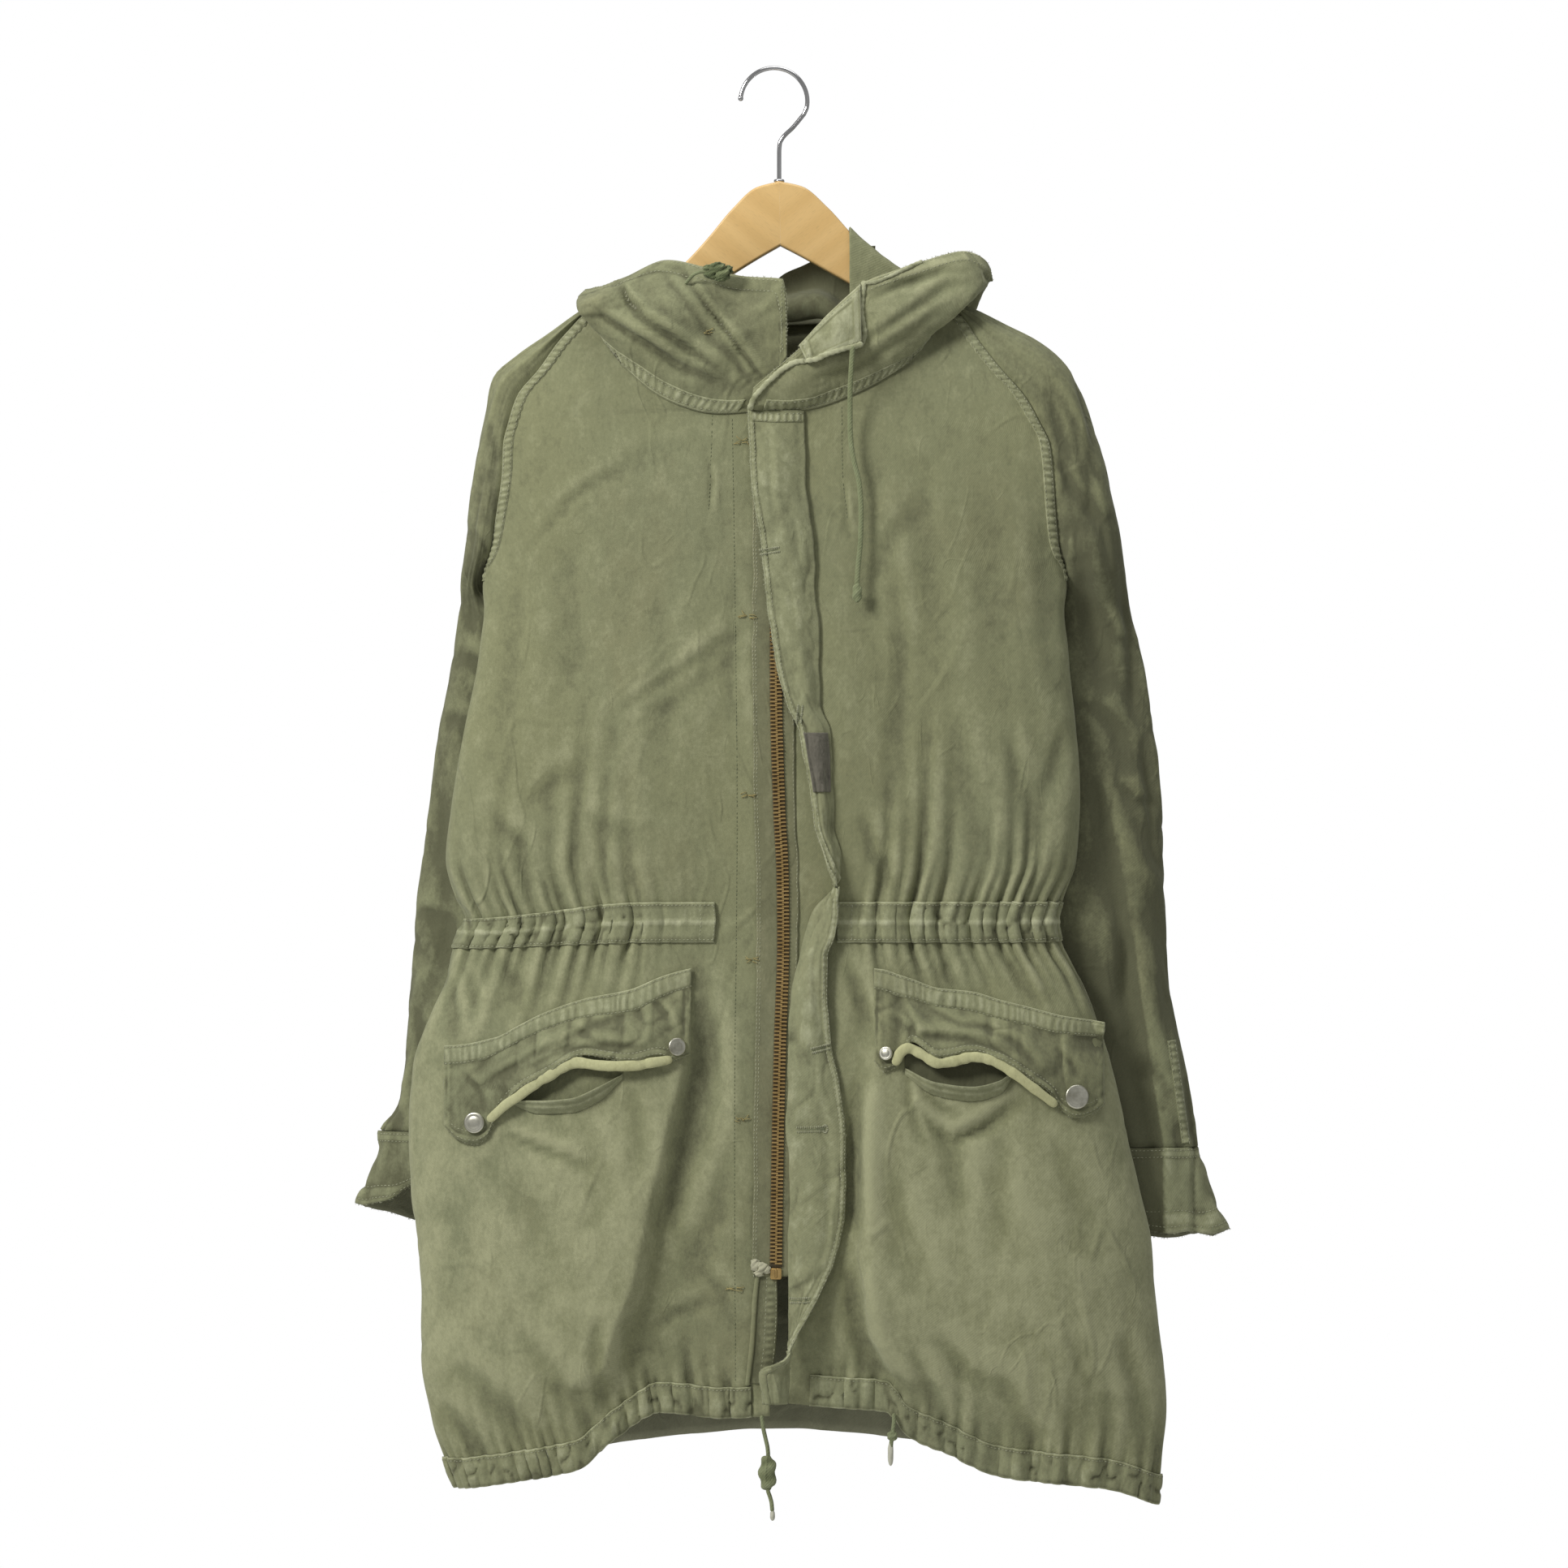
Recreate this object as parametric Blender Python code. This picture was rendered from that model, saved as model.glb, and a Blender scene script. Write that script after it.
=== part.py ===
# A hooded field jacket hanging on a wooden hanger, cut and sewn piece by piece.
# The origin is the inside top of the hook, +Z is up, the front faces -Y and +X is the wearer's left.
# Tables and sizes are in millimetres.

import math
from collections import namedtuple

import bpy
import numpy as np

mm = 0.001

# Driving sizes
cloth = 1.6                # wall of the shell cloth
trim = 1.2                 # wall of casings, bands and tape
seam = 0.4                 # gap between sewn pieces
raglan_gap = 1.0           # the same where the sleeve turns away from the body
back_set = cloth + seam    # how far the back lies behind the side seam
front_roundness = 3.0      # how square the body's front is in section
back_roundness = 8.0       # the same for the lower back, which turns sharply at the sides
side_layer = 1.5           # how far the back lies behind the side seam where a sleeve hangs behind it
armhole_z = -430.0         # bottom of the armholes
placket = 8.0              # half the gap that the zip fills
zip_top, zip_bottom = -312.0, -1036.0
tape_wall, chain_wall = 1.0, 2.4
tape_lift, chain_lift = 1.8, 2.6
chain_half = 4.9           # half the zip chain's width
tape_right, tape_left = -21.5, 14.5    # outer edges of the two tapes
fly_lift = 4.5             # the fly's sewn edge, in front of the placket
fly_wall = 2.2
patch_lift, patch_wall = 1.9, 1.1
patch_top, patch_low = -576.0, -627.0
waist_top, waist_bottom = -722.0, -757.0
casing_start = 0.17        # where the gathers start, as a share of the way round a front
gathers = 16               # half waves round each front
back_columns = 25          # points across the back, one for each gather's crest or trough
waist_gather = 4.2         # height of the waist gathers
hem_gather = 3.0           # height of the hem gathers
back_gather_share = 0.86   # the same on the back, as a share of the front's
hem_gather_reach = 28.0    # how far up from the hem casing its gathers run
soft_fold = 2.2            # height of the long soft folds in the fronts
soft_fold_width = 27.0     # their width over two pi
side_turn = 0.25           # how much of a fold's height turns sideways at the side seam
line_points = 120          # points worked out along a row before it is spread
hang_from = -1060.0        # below this the fronts hang unevenly
hem_flat = -1219.0         # nominal height of the hem casing's top
hem_low = -1246.0          # nominal height of the hem
hem_band = 27.0            # depth of the hem casing
casing_crown = 1.4         # how far the hem casing swells in its middle
hood_columns, hood_levels = 19, 11
hood_fold = 3.0            # height of the folds in the hood's halves
cuff_wall = 2.0
sleeve_points = 14         # round a sleeve, and round a cuff
hook_wire = 3.8            # diameter
hook_reach = 29.0          # radius of the hook's bow, to the wire's middle
hook_middle = (-4.5, -27.3)
hook_turn = (175, -12)     # degrees, from the bow's open end to where it bends down to the stem
hanger_thick = 13.0
hanger_bevel = 2.5
hanger_tilt = math.radians(1.2)
hook_stem = ((21.5, 0, -38.5), (12, 0, -50), (3.5, 0, -58.5), (0.6, 0, -64), (0, 0, -72), (0, 0, -96.6))

BodyRow = namedtuple("BodyRow", "z right left front back")
body_rows = (
    BodyRow(-1246, 282, 329, 33, 28),
    BodyRow(-1180, 300, 333, 38, 31),
    BodyRow(-1120, 306, 329, 42, 33),
    BodyRow(-1064, 305, 322, 45, 34),
    BodyRow(-1015, 309, 318, 46, 35),
    BodyRow(-973, 315, 309, 46, 35),
    BodyRow(-910, 318, 296, 45, 35),
    BodyRow(-861, 315, 286, 44, 34),
    BodyRow(-819, 301, 274, 41, 33),
    BodyRow(-790, 289, 262, 38, 32),
    BodyRow(-760, 280, 243, 35, 30),
    BodyRow(-738, 270, 238, 34, 29),
    BodyRow(-718, 279, 245, 35, 30),
    BodyRow(-686, 288, 258, 37, 32),
    BodyRow(-637, 283, 261, 38, 33),
    BodyRow(-574, 273, 258, 39, 34),
    BodyRow(-518, 262, 252, 39, 34),
    BodyRow(-430, 253, 244, 38, 33),
    BodyRow(-391, 258, 252, 38, 33),
    BodyRow(-336, 262, 268, 36, 32),
    BodyRow(-294, 255, 265, 32, 29),
    BodyRow(-266, 247, 256, 27, 25),
    BodyRow(-246, 228, 240, 22, 20),
    BodyRow(-225, 206, 206, 15, 15),
    BodyRow(-205, 184, 178, 9, 9),
)

# Where the raglan seam runs on the body, front and back alike
SeamRow = namedtuple("SeamRow", "z right left")
raglan_rows = (
    SeamRow(-430, 253, 244),
    SeamRow(-391, 246, 240),
    SeamRow(-349, 240, 237),
    SeamRow(-326, 239, 234),
    SeamRow(-309, 235, 226),
    SeamRow(-284, 227, 212),
    SeamRow(-261, 208, 192),
    SeamRow(-238, 192, 175),
    SeamRow(-216, 173, 160),
    SeamRow(-205, 165, 150),
)

# Rows of each front: the neckline or placket point where it starts, and the height where it ends
FrontRow = namedtuple("FrontRow", "right_x right_z left_x left_z end_z")
front_rows = (
    FrontRow(155, -221, 140, -214, -214),
    FrontRow(150, -236, 130, -233, -228),
    FrontRow(141, -251, 117, -251, -244),
    FrontRow(122, -266, 94, -266, -262),
    FrontRow(99, -281, 66, -279, -280),
    FrontRow(61, -294, 32, -292, -298),
    FrontRow(8, -299, 8, -297, -318),
    FrontRow(8, -325, 8, -325, -340),
    FrontRow(8, -356, 8, -356, -366),
    FrontRow(8, -388, 8, -388, -393),
    FrontRow(8, -416, 8, -416, -416),
)
front_levels = (-433, -500, -580, -650, -690, -722, -740, -757, -776, -800,
                -838, -890, -950, -1010, -1065, -1115, -1168, -1219, -1246)

# The ballooning sides below the pockets: where they step out from the centre strip, and how far
StepRow = namedtuple("StepRow", "z right left rise")
step_rows = (
    StepRow(-1246, 165, 100, 0),
    StepRow(-1200, 155, 92, 5),
    StepRow(-1150, 143, 84, 16),
    StepRow(-1078, 126, 74, 20),
    StepRow(-1022, 112, 69, 19),
    StepRow(-924, 91, 69, 14),
    StepRow(-854, 74, 78, 7),
    StepRow(-800, 66, 80, 0),
)
step_width = 20.0

# The lower edge of each front, from the placket to the side
HemRow = namedtuple("HemRow", "x z")
hem_right = (HemRow(0, -1165), HemRow(48, -1168), HemRow(101, -1163), HemRow(140, -1184),
             HemRow(176, -1213), HemRow(237, -1225), HemRow(282, -1231), HemRow(340, -1231))
hem_left = (HemRow(0, -1154), HemRow(42, -1158), HemRow(92, -1162), HemRow(112, -1184),
            HemRow(146, -1199), HemRow(188, -1218), HemRow(287, -1231), HemRow(330, -1246))
hem_back = (HemRow(-300, -1228), HemRow(-200, -1206), HemRow(-100, -1190), HemRow(0, -1183),
            HemRow(95, -1190), HemRow(200, -1208), HemRow(334, -1240))

# Rows of the back: height at the side and at the middle
BackRow = namedtuple("BackRow", "side middle")
back_rows = (
    BackRow(-214, -214), BackRow(-230, -236), BackRow(-252, -262), BackRow(-285, -293),
    BackRow(-325, -330), BackRow(-365, -368), BackRow(-400, -400), BackRow(-433, -433),
    BackRow(-460, -460), BackRow(-500, -500), BackRow(-570, -570), BackRow(-640, -640),
    BackRow(-690, -690), BackRow(-722, -722), BackRow(-740, -740), BackRow(-757, -757),
    BackRow(-780, -780), BackRow(-830, -830), BackRow(-910, -910), BackRow(-1028, -1028),
    BackRow(-1080, -1080), BackRow(-1150, -1150), BackRow(-1219, -1219), BackRow(-1246, -1246),
)

# Sleeves. Above the armhole a row runs from the front seam over the shoulder to the back seam;
# below it the row closes at the underarm. turn is the half angle that the row covers.
closed_turn = 170
SleeveRow = namedtuple("SleeveRow", "turn in_x in_z out_x out_z middle_y half_depth")
sleeve_right = (
    SleeveRow(90, 165, -214, 168, -207, 0, 10),
    SleeveRow(90, 176, -220, 180, -215, 0, 13),
    SleeveRow(90, 192, -238, 203, -231, 0, 19),
    SleeveRow(90, 208, -261, 228, -248, 0, 24),
    SleeveRow(90, 227, -284, 248, -267, 0, 27),
    SleeveRow(92, 235, -309, 255, -297, 0, 27),
    SleeveRow(95, 239, -326, 260, -321, 0, 27),
    SleeveRow(100, 240, -349, 265, -347, 0, 26),
    SleeveRow(115, 246, -391, 270, -391, 0, 24),
    SleeveRow(145, 250, -414, 273, -412, 1, 21),
    SleeveRow(178, 254.5, -432, 276, -432, 3, 18),
    SleeveRow(179, 257, -447, 278, -447, 13, 15),
    SleeveRow(179, 246, -464, 280, -464, 24, 16),
    SleeveRow(179, 212, -504, 286, -504, 28, 20),
    SleeveRow(179, 190, -560, 295, -560, 30, 23),
    SleeveRow(179, 180, -640, 306, -640, 31, 24),
    SleeveRow(179, 186, -775, 322, -775, 31, 23),
    SleeveRow(179, 206, -885, 331, -885, 29, 21),
    SleeveRow(179, 214, -922, 347, -922, 28, 20),
)
sleeve_left = (
    SleeveRow(90, 154, -209, 157, -203, 0, 10),
    SleeveRow(90, 162, -219, 172, -209, 0, 13),
    SleeveRow(90, 176, -240, 196, -221, 0, 19),
    SleeveRow(90, 196, -266, 224, -235, 0, 24),
    SleeveRow(90, 213, -286, 247, -253, 0, 27),
    SleeveRow(92, 224, -305, 262, -276, 0, 28),
    SleeveRow(95, 234, -326, 272, -305, 0, 28),
    SleeveRow(100, 237, -352, 282, -342, 0, 27),
    SleeveRow(115, 240, -391, 293, -389, 0, 26),
    SleeveRow(145, 243, -414, 298, -414, 1, 24),
    SleeveRow(178, 246, -434, 301, -434, 4, 21),
    SleeveRow(179, 249, -450, 304, -450, 14, 18),
    SleeveRow(179, 240, -468, 307, -468, 25, 18),
    SleeveRow(179, 215, -508, 315, -508, 29, 21),
    SleeveRow(179, 192, -570, 325, -570, 31, 24),
    SleeveRow(179, 188, -644, 333, -644, 32, 25),
    SleeveRow(179, 197, -780, 342, -780, 32, 24),
    SleeveRow(179, 224, -890, 356, -890, 30, 22),
    SleeveRow(179, 232, -936, 362, -936, 29, 21),
)

# Cuffs: lowest ring reaches further out and hangs lower at the outside
CuffRow = namedtuple("CuffRow", "in_x out_x in_z out_z middle_y half_depth")
cuff_right = (
    CuffRow(213, 348.5, -923, -923, 28, 20.5),
    CuffRow(212, 351, -940, -938, 28, 22),
    CuffRow(216, 359, -968, -961, 28, 23),
    CuffRow(222, 368, -1003, -987, 28, 22),
)
cuff_left = (
    CuffRow(231, 363.5, -937, -937, 29, 21.5),
    CuffRow(230, 369, -953, -952, 29, 23),
    CuffRow(238, 378, -985, -980, 29, 24),
    CuffRow(246, 391, -1018, -1012, 29, 23),
)

# Hood halves, from the throat round to the middle of the back. swell is how far the cloth stands
# out between the neck seam and the face edge, drop how deep the pouch hangs behind.
HoodRow = namedtuple("HoodRow", "neck_x neck_y neck_z face_x face_y face_z swell drop")
hood_right = (
    HoodRow(-24, -37, -296, 7, -43, -252, 3, 0),
    HoodRow(-42, -37, -295, 7, -41, -216, 5, 0),
    HoodRow(-61, -36, -292, 3, -38, -185, 8, 0),
    HoodRow(-80, -35, -287, -31, -34, -182, 12, 0),
    HoodRow(-99, -33, -279, -63, -29, -174, 16, 0),
    HoodRow(-122, -29, -264, -97, -23, -167, 19, 0),
    HoodRow(-141, -24, -249, -133, -16, -181, 19, 0),
    HoodRow(-152, -17, -232, -160, -6, -190, 17, 0),
    HoodRow(-160, 0, -204, -168, 12, -190, 12, 0),
    HoodRow(-151, 10, -205, -152, 36, -184, 20, 45),
    HoodRow(-110, 11, -208, -116, 52, -178, 27, 110),
    HoodRow(-60, 12, -211, -62, 60, -177, 30, 150),
    HoodRow(-0.4, 12, -212, -0.4, 63, -177, 31, 165),
)
hood_left = (
    HoodRow(-25, -47, -296, -22, -49, -279, 1, 0),
    HoodRow(-2, -46, -296, 20, -49, -243, 3, 0),
    HoodRow(20, -43, -293, 50, -48, -214, 5, 0),
    HoodRow(43, -37, -286, 72, -44, -189, 8, 0),
    HoodRow(66, -34, -277, 98, -38, -178, 11, 0),
    HoodRow(93, -31, -264, 123, -30, -169, 14, 0),
    HoodRow(117, -26, -249, 160, -19, -159, 15, 0),
    HoodRow(131, -19, -231, 181, -5, -168, 14, 0),
    HoodRow(144, 0, -198, 186, 12, -182, 10, 0),
    HoodRow(143, 10, -203, 172, 34, -172, 18, 40),
    HoodRow(110, 11, -206, 120, 52, -168, 26, 100),
    HoodRow(60, 12, -210, 60, 60, -172, 30, 145),
    HoodRow(0.4, 12, -212, 0.4, 63, -177, 31, 165),
)

# Fly flap: its sewn edge, its free edge and how far its middle stands out
FlyRow = namedtuple("FlyRow", "z hinge_x edge_x stand tip")
fly_rows = (
    FlyRow(-1154, 6, -13, 4, 2),
    FlyRow(-1128, 8, -16, 5, 2),
    FlyRow(-1112, 8, 5, 3, 14),
    FlyRow(-1090, 8, 18, 4, 12),
    FlyRow(-1052, 8, 39, 5, 5),
    FlyRow(-1026, 8, 50, 4, 2),
    FlyRow(-992, 8, 57, 4, 2),
    FlyRow(-925, 8, 58, 4, 2),
    FlyRow(-880, 8, 52, 5, 2),
    FlyRow(-832, 8, 43, 6, 3),
    FlyRow(-800, 11, 41, 7, 4),
    FlyRow(-770, 17, 41, 6, 6),
    FlyRow(-749, 22, 48, 5, 8),
    FlyRow(-728, 31, 51, 3, 12),
    FlyRow(-712, 45, 51, 2, 16),
    FlyRow(-698, 53, 46, 2, 14),
    FlyRow(-680, 53, 38, 3, 9),
    FlyRow(-655, 46, 30, 5, 6),
    FlyRow(-629, 47, 27, 6, 4),
    FlyRow(-600, 47, 22, 6, 3),
    FlyRow(-574, 45, 17, 6, 2),
    FlyRow(-550, 35, 6, 6, 1),
    FlyRow(-520, 33, -2, 6, 1),
    FlyRow(-470, 33, -10, 5, 1),
    FlyRow(-420, 31, -16, 5, 1),
    FlyRow(-360, 22, -24, 5, 1),
    FlyRow(-302, 22, -27, 4, 1),
)
fly_heights = ((-302, -545, 8), (-574, -740, 10), (-765, -1100, 10), (-1112, -1154, 4))

# Pockets: facing band, lower edge of the flap, and how far that edge stands out
PocketRow = namedtuple("PocketRow", "x band_top band_low flap_low stand")
pocket_right = (
    PocketRow(289, -846, -863, -915, 2),
    PocketRow(276, -845, -862, -927, 2),
    PocketRow(263, -843, -860, -930, 2),
    PocketRow(251, -840, -857, -924, 2),
    PocketRow(243, -838, -853, -905, 4),
    PocketRow(226, -829, -844, -885, 8),
    PocketRow(202, -817, -833, -871, 10),
    PocketRow(167, -805, -822, -853, 10),
    PocketRow(128, -797, -817, -858, 8),
    PocketRow(104, -787, -806, -854, 5),
    PocketRow(92, -783, -801, -857, 3),
    PocketRow(76, -779, -796, -853, 3),
)
pocket_left = (
    PocketRow(281, -826, -840, -897, 2),
    PocketRow(269, -824, -838, -905, 2),
    PocketRow(256, -822, -837, -908, 2),
    PocketRow(244, -820, -836, -902, 2),
    PocketRow(236, -818, -835, -889, 5),
    PocketRow(214, -812, -829, -872, 9),
    PocketRow(190, -806, -824, -857, 12),
    PocketRow(166, -799, -817, -850, 13),
    PocketRow(137, -796, -813, -855, 12),
    PocketRow(114, -788, -806, -842, 8),
    PocketRow(102, -784, -803, -862, 3),
    PocketRow(90, -780, -799, -867, 3),
    PocketRow(82, -779, -797, -858, 3),
)
LipRow = namedtuple("LipRow", "x top low stand")
lip_right = (LipRow(232, -892, -895, 1), LipRow(206, -892, -904, 9), LipRow(180, -890, -903, 11),
             LipRow(155, -880, -893, 9), LipRow(134, -869, -873, 1))
lip_left = (LipRow(202, -867, -871, 1), LipRow(190, -875, -887, 9), LipRow(166, -880, -893, 13),
            LipRow(134, -876, -888, 11), LipRow(108, -864, -870, 1))
piping_width, piping_wall, piping_drop = 5.5, 2.4, 1.2
flap_lift, lip_lift = 2.6, 1.8
snap_lift = 1.15
snap_profile = ((1, 0), (1, 1.2), (0.85, 2.8), (0.4, 3.6))
SnapPlace = namedtuple("SnapPlace", "side x z radius")
snap_places = {
    "snap_right_outer": SnapPlace(-1, 262, -911.5, 8.7),
    "snap_right_inner": SnapPlace(-1, 88, -846, 7.5),
    "snap_left_outer": SnapPlace(1, 256, -889.5, 10.0),
    "snap_left_inner": SnapPlace(1, 92, -851.5, 8.0),
}

# Hanger arm: upper and lower edge
ArmRow = namedtuple("ArmRow", "x top low")
arm_rows = (
    ArmRow(0, -97, -153), ArmRow(20, -102, -164), ArmRow(42, -121, -177), ArmRow(62, -144, -189),
    ArmRow(80, -163, -202), ArmRow(112, -191, -223), ArmRow(150, -217, -245),
    ArmRow(188, -235, -262), ArmRow(208, -248, -270), ArmRow(218, -258, -268),
)

# Free cords, by points chosen along each, from where it leaves the cloth
RoutePoint = namedtuple("RoutePoint", "x y z")
hood_cord_route = (
    RoutePoint(63, -56.1, -246), RoutePoint(62, -54, -262), RoutePoint(61, -49, -285),
    RoutePoint(61, -46, -310), RoutePoint(62, -46, -328), RoutePoint(65, -46, -345),
    RoutePoint(69, -46, -362), RoutePoint(70.5, -46, -385), RoutePoint(70, -46, -410),
    RoutePoint(68, -46, -432), RoutePoint(67, -46.5, -447),
)
hem_cord_right_route = (
    RoutePoint(-15, -32, -1166.6), RoutePoint(-13.5, -32, -1177), RoutePoint(-11.5, -32, -1186),
    RoutePoint(-10, -32, -1193), RoutePoint(-9.5, -32, -1199),
)
hem_tail_right_route = (
    RoutePoint(-9.6, -32, -1230), RoutePoint(-8, -32, -1235), RoutePoint(-6.5, -32, -1241),
    RoutePoint(-6, -32, -1246.5),
)
hem_cord_left_route = (
    RoutePoint(99, -40.6, -1164), RoutePoint(99, -41.8, -1168), RoutePoint(98.5, -43, -1173),
    RoutePoint(98, -43.5, -1176.5),
)
tie_cord_route = (
    RoutePoint(-80, -38.1, -188), RoutePoint(-77, -42.5, -185), RoutePoint(-72, -47, -181),
    RoutePoint(-66, -49, -179.5),
)
cord_size = 3.6
hood_cord_size = 4.4
tie_cord_size = 3.0
cord_step = 2.5            # diameters from point to point

# The fold over the hanger's left arm, from behind over the top to its front edge: how far it lies
# below the arm's upper edge, and how far that rises outwards
FoldRow = namedtuple("FoldRow", "y drop lean")
fold_rows = (
    FoldRow(12, 7, 8), FoldRow(9, -1, 8), FoldRow(4, -4.5, 8), FoldRow(-4, -4.5, 8),
    FoldRow(-9, 1, 8), FoldRow(-11, 20, 8), FoldRow(-12.5, 45, 5), FoldRow(-12, 66, 5),
)
fold_ends = (61, 118)

# The throat's turned-out corner: upper and lower edge of each column
TabColumn = namedtuple("TabColumn", "top_x top_y top_z low_x low_y low_z")
throat_tab = (
    TabColumn(17, -51.6, -243, 24, -55, -258),
    TabColumn(44, -51.2, -214, 47, -56, -251),
    TabColumn(70, -47.6, -190, 71, -52, -243),
)
tab_bulge, tab_wall = 2.5, 2.0

Finish = namedtuple("Finish", "name colour roughness metallic")
olive = Finish("olive cloth", (0.245, 0.262, 0.155), 0.92, 0.0)
olive_light = Finish("faded olive cloth", (0.275, 0.29, 0.18), 0.92, 0.0)
khaki = Finish("zip tape", (0.20, 0.19, 0.105), 0.9, 0.0)
brass = Finish("brass", (0.42, 0.25, 0.07), 0.4, 1.0)
steel = Finish("snap steel", (0.62, 0.61, 0.58), 0.3, 1.0)
chrome = Finish("hook chrome", (0.75, 0.75, 0.75), 0.12, 1.0)
beech = Finish("hanger wood", (0.66, 0.42, 0.17), 0.45, 0.0)
cord_green = Finish("cord", (0.23, 0.27, 0.15), 0.9, 0.0)
piping_green = Finish("piping", (0.56, 0.60, 0.33), 0.8, 0.0)
hook_pile = Finish("hook and loop", (0.10, 0.09, 0.07), 0.95, 0.0)
pale_tip = Finish("cord tip", (0.62, 0.62, 0.52), 0.5, 0.0)


# Reading a table, with a curve through its rows that never overshoots them
def column(rows, key, at):
    rows = sorted(rows)
    places = np.array([row[0] for row in rows], float)
    values = np.array([getattr(row, key) for row in rows], float)
    return smooth_curve(places, values, at)


def smooth_curve(places, values, at):
    step = np.diff(places)
    slope = np.diff(values) / step
    tangent = np.zeros(len(values))
    tangent[0], tangent[-1] = slope[0], slope[-1]
    same_way = slope[:-1] * slope[1:] > 0
    total = np.where(same_way, slope[:-1] + slope[1:], 1.0)
    tangent[1:-1] = np.where(same_way, 2 * slope[:-1] * slope[1:] / total, 0.0)
    at = np.clip(np.asarray(at, float), places[0], places[-1])
    span = np.clip(np.searchsorted(places, at, side="right") - 1, 0, len(step) - 1)
    t = (at - places[span]) / step[span]
    start, end = values[span], values[span + 1]
    pull_start, pull_end = tangent[span] * step[span], tangent[span + 1] * step[span]
    return (start * (2 * t**3 - 3 * t**2 + 1) + pull_start * (t**3 - 2 * t**2 + t)
            + end * (3 * t**2 - 2 * t**3) + pull_end * (t**3 - t**2))


def ease(low, high, value):
    t = np.clip((np.asarray(value, float) - low) / (high - low), 0.0, 1.0)
    return t * t * (3 - 2 * t)


def side_key(side):
    return "right" if side < 0 else "left"


# The cloth's wall: a grid of points on its outer face, and the same grid moved in by its thickness
def grid_normals(grid, outward):
    across = np.gradient(grid, axis=1)
    down = np.gradient(grid, axis=0)
    normal = np.cross(across, down)
    normal /= np.maximum(np.linalg.norm(normal, axis=2, keepdims=True), 1e-9)
    if outward == "away":
        reference = grid - grid.mean(axis=1, keepdims=True)
    else:
        reference = np.broadcast_to(np.array(outward, float), grid.shape)
    if (normal * reference).sum() < 0:
        normal = -normal
    return normal


def lifted(grid, distance, outward):
    return grid + grid_normals(grid, outward) * distance


def material(finish):
    made = bpy.data.materials.get(finish.name)
    if made:
        return made
    made = bpy.data.materials.new(finish.name)
    made.use_nodes = True
    shader = made.node_tree.nodes["Principled BSDF"]
    shader.inputs["Base Color"].default_value = (*finish.colour, 1.0)
    shader.inputs["Roughness"].default_value = finish.roughness
    shader.inputs["Metallic"].default_value = finish.metallic
    return made


def add_object(name, data, finish):
    made = bpy.data.objects.new(name, data)
    bpy.context.scene.collection.objects.link(made)
    data.materials.append(material(finish))
    return made


def add_mesh(name, points, faces, finish):
    points = np.asarray(points, float)
    corners = [(face[0], face[k], face[k + 1]) for face in faces for k in range(1, len(face) - 1)]
    a, b, c = (points[[corner[k] for corner in corners]] for k in range(3))
    if np.einsum("ij,ij->i", a, np.cross(b, c)).sum() < 0:
        faces = [face[::-1] for face in faces]
    mesh = bpy.data.meshes.new(name)
    mesh.from_pydata([tuple(point) for point in points * mm], [], faces)
    mesh.update()
    mesh.shade_smooth()
    mesh.set_sharp_from_angle(angle=math.radians(50))
    return add_object(name, mesh, finish)


def add_wall(name, grid, finish, outward, thick=cloth, ring=False):
    if ring:
        wrapped = np.concatenate([grid[:, -1:], grid, grid[:, :1]], axis=1)
        normal = grid_normals(wrapped, outward)[:, 1:-1]
    else:
        normal = grid_normals(grid, outward)
    return add_shell(name, grid, grid - normal * thick, finish, ring)


def add_shell(name, outer, within, finish, ring=False):
    rows, columns = outer.shape[:2]
    points = np.concatenate([outer.reshape(-1, 3), within.reshape(-1, 3)])
    inner = rows * columns
    spans = columns if ring else columns - 1
    faces = []
    for i in range(rows - 1):
        for j in range(spans):
            a, b = i * columns + j, i * columns + (j + 1) % columns
            c, d = b + columns, a + columns
            faces += [(a, b, c), (a, c, d)]
            faces += [(c + inner, b + inner, a + inner), (d + inner, c + inner, a + inner)]
    for j in range(spans):
        a, b = j, (j + 1) % columns
        faces.append((b, a, a + inner, b + inner))
        a, b = a + (rows - 1) * columns, b + (rows - 1) * columns
        faces.append((a, b, b + inner, a + inner))
    if not ring:
        for i in range(rows - 1):
            a, d = i * columns, (i + 1) * columns
            faces.append((a, d, d + inner, a + inner))
            a, d = a + columns - 1, d + columns - 1
            faces.append((d, a, a + inner, d + inner))
    return add_mesh(name, points, faces, finish)


def add_wire(name, points, size, finish):
    curve = bpy.data.curves.new(name, "CURVE")
    curve.dimensions = "3D"
    curve.bevel_depth = size / 2 * mm
    curve.bevel_resolution = 2
    curve.use_fill_caps = True
    spline = curve.splines.new("POLY")
    spline.points.add(len(points) - 1)
    for slot, point in zip(spline.points, points):
        slot.co = (point[0] * mm, point[1] * mm, point[2] * mm, 1.0)
    return add_object(name, curve, finish)


def add_cord(name, route, size, finish):
    return add_wire(name, route_points(route, size * cord_step), size, finish)


def route_points(route, spacing):
    chosen = np.array(route, float)
    along = np.concatenate([[0], np.cumsum(np.linalg.norm(np.diff(chosen, axis=0), axis=1))])
    count = max(4, int(along[-1] / spacing) + 1)
    at = np.linspace(0, along[-1], count)
    return np.stack([smooth_curve(along, chosen[:, axis], at) for axis in range(3)], axis=1)


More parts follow.
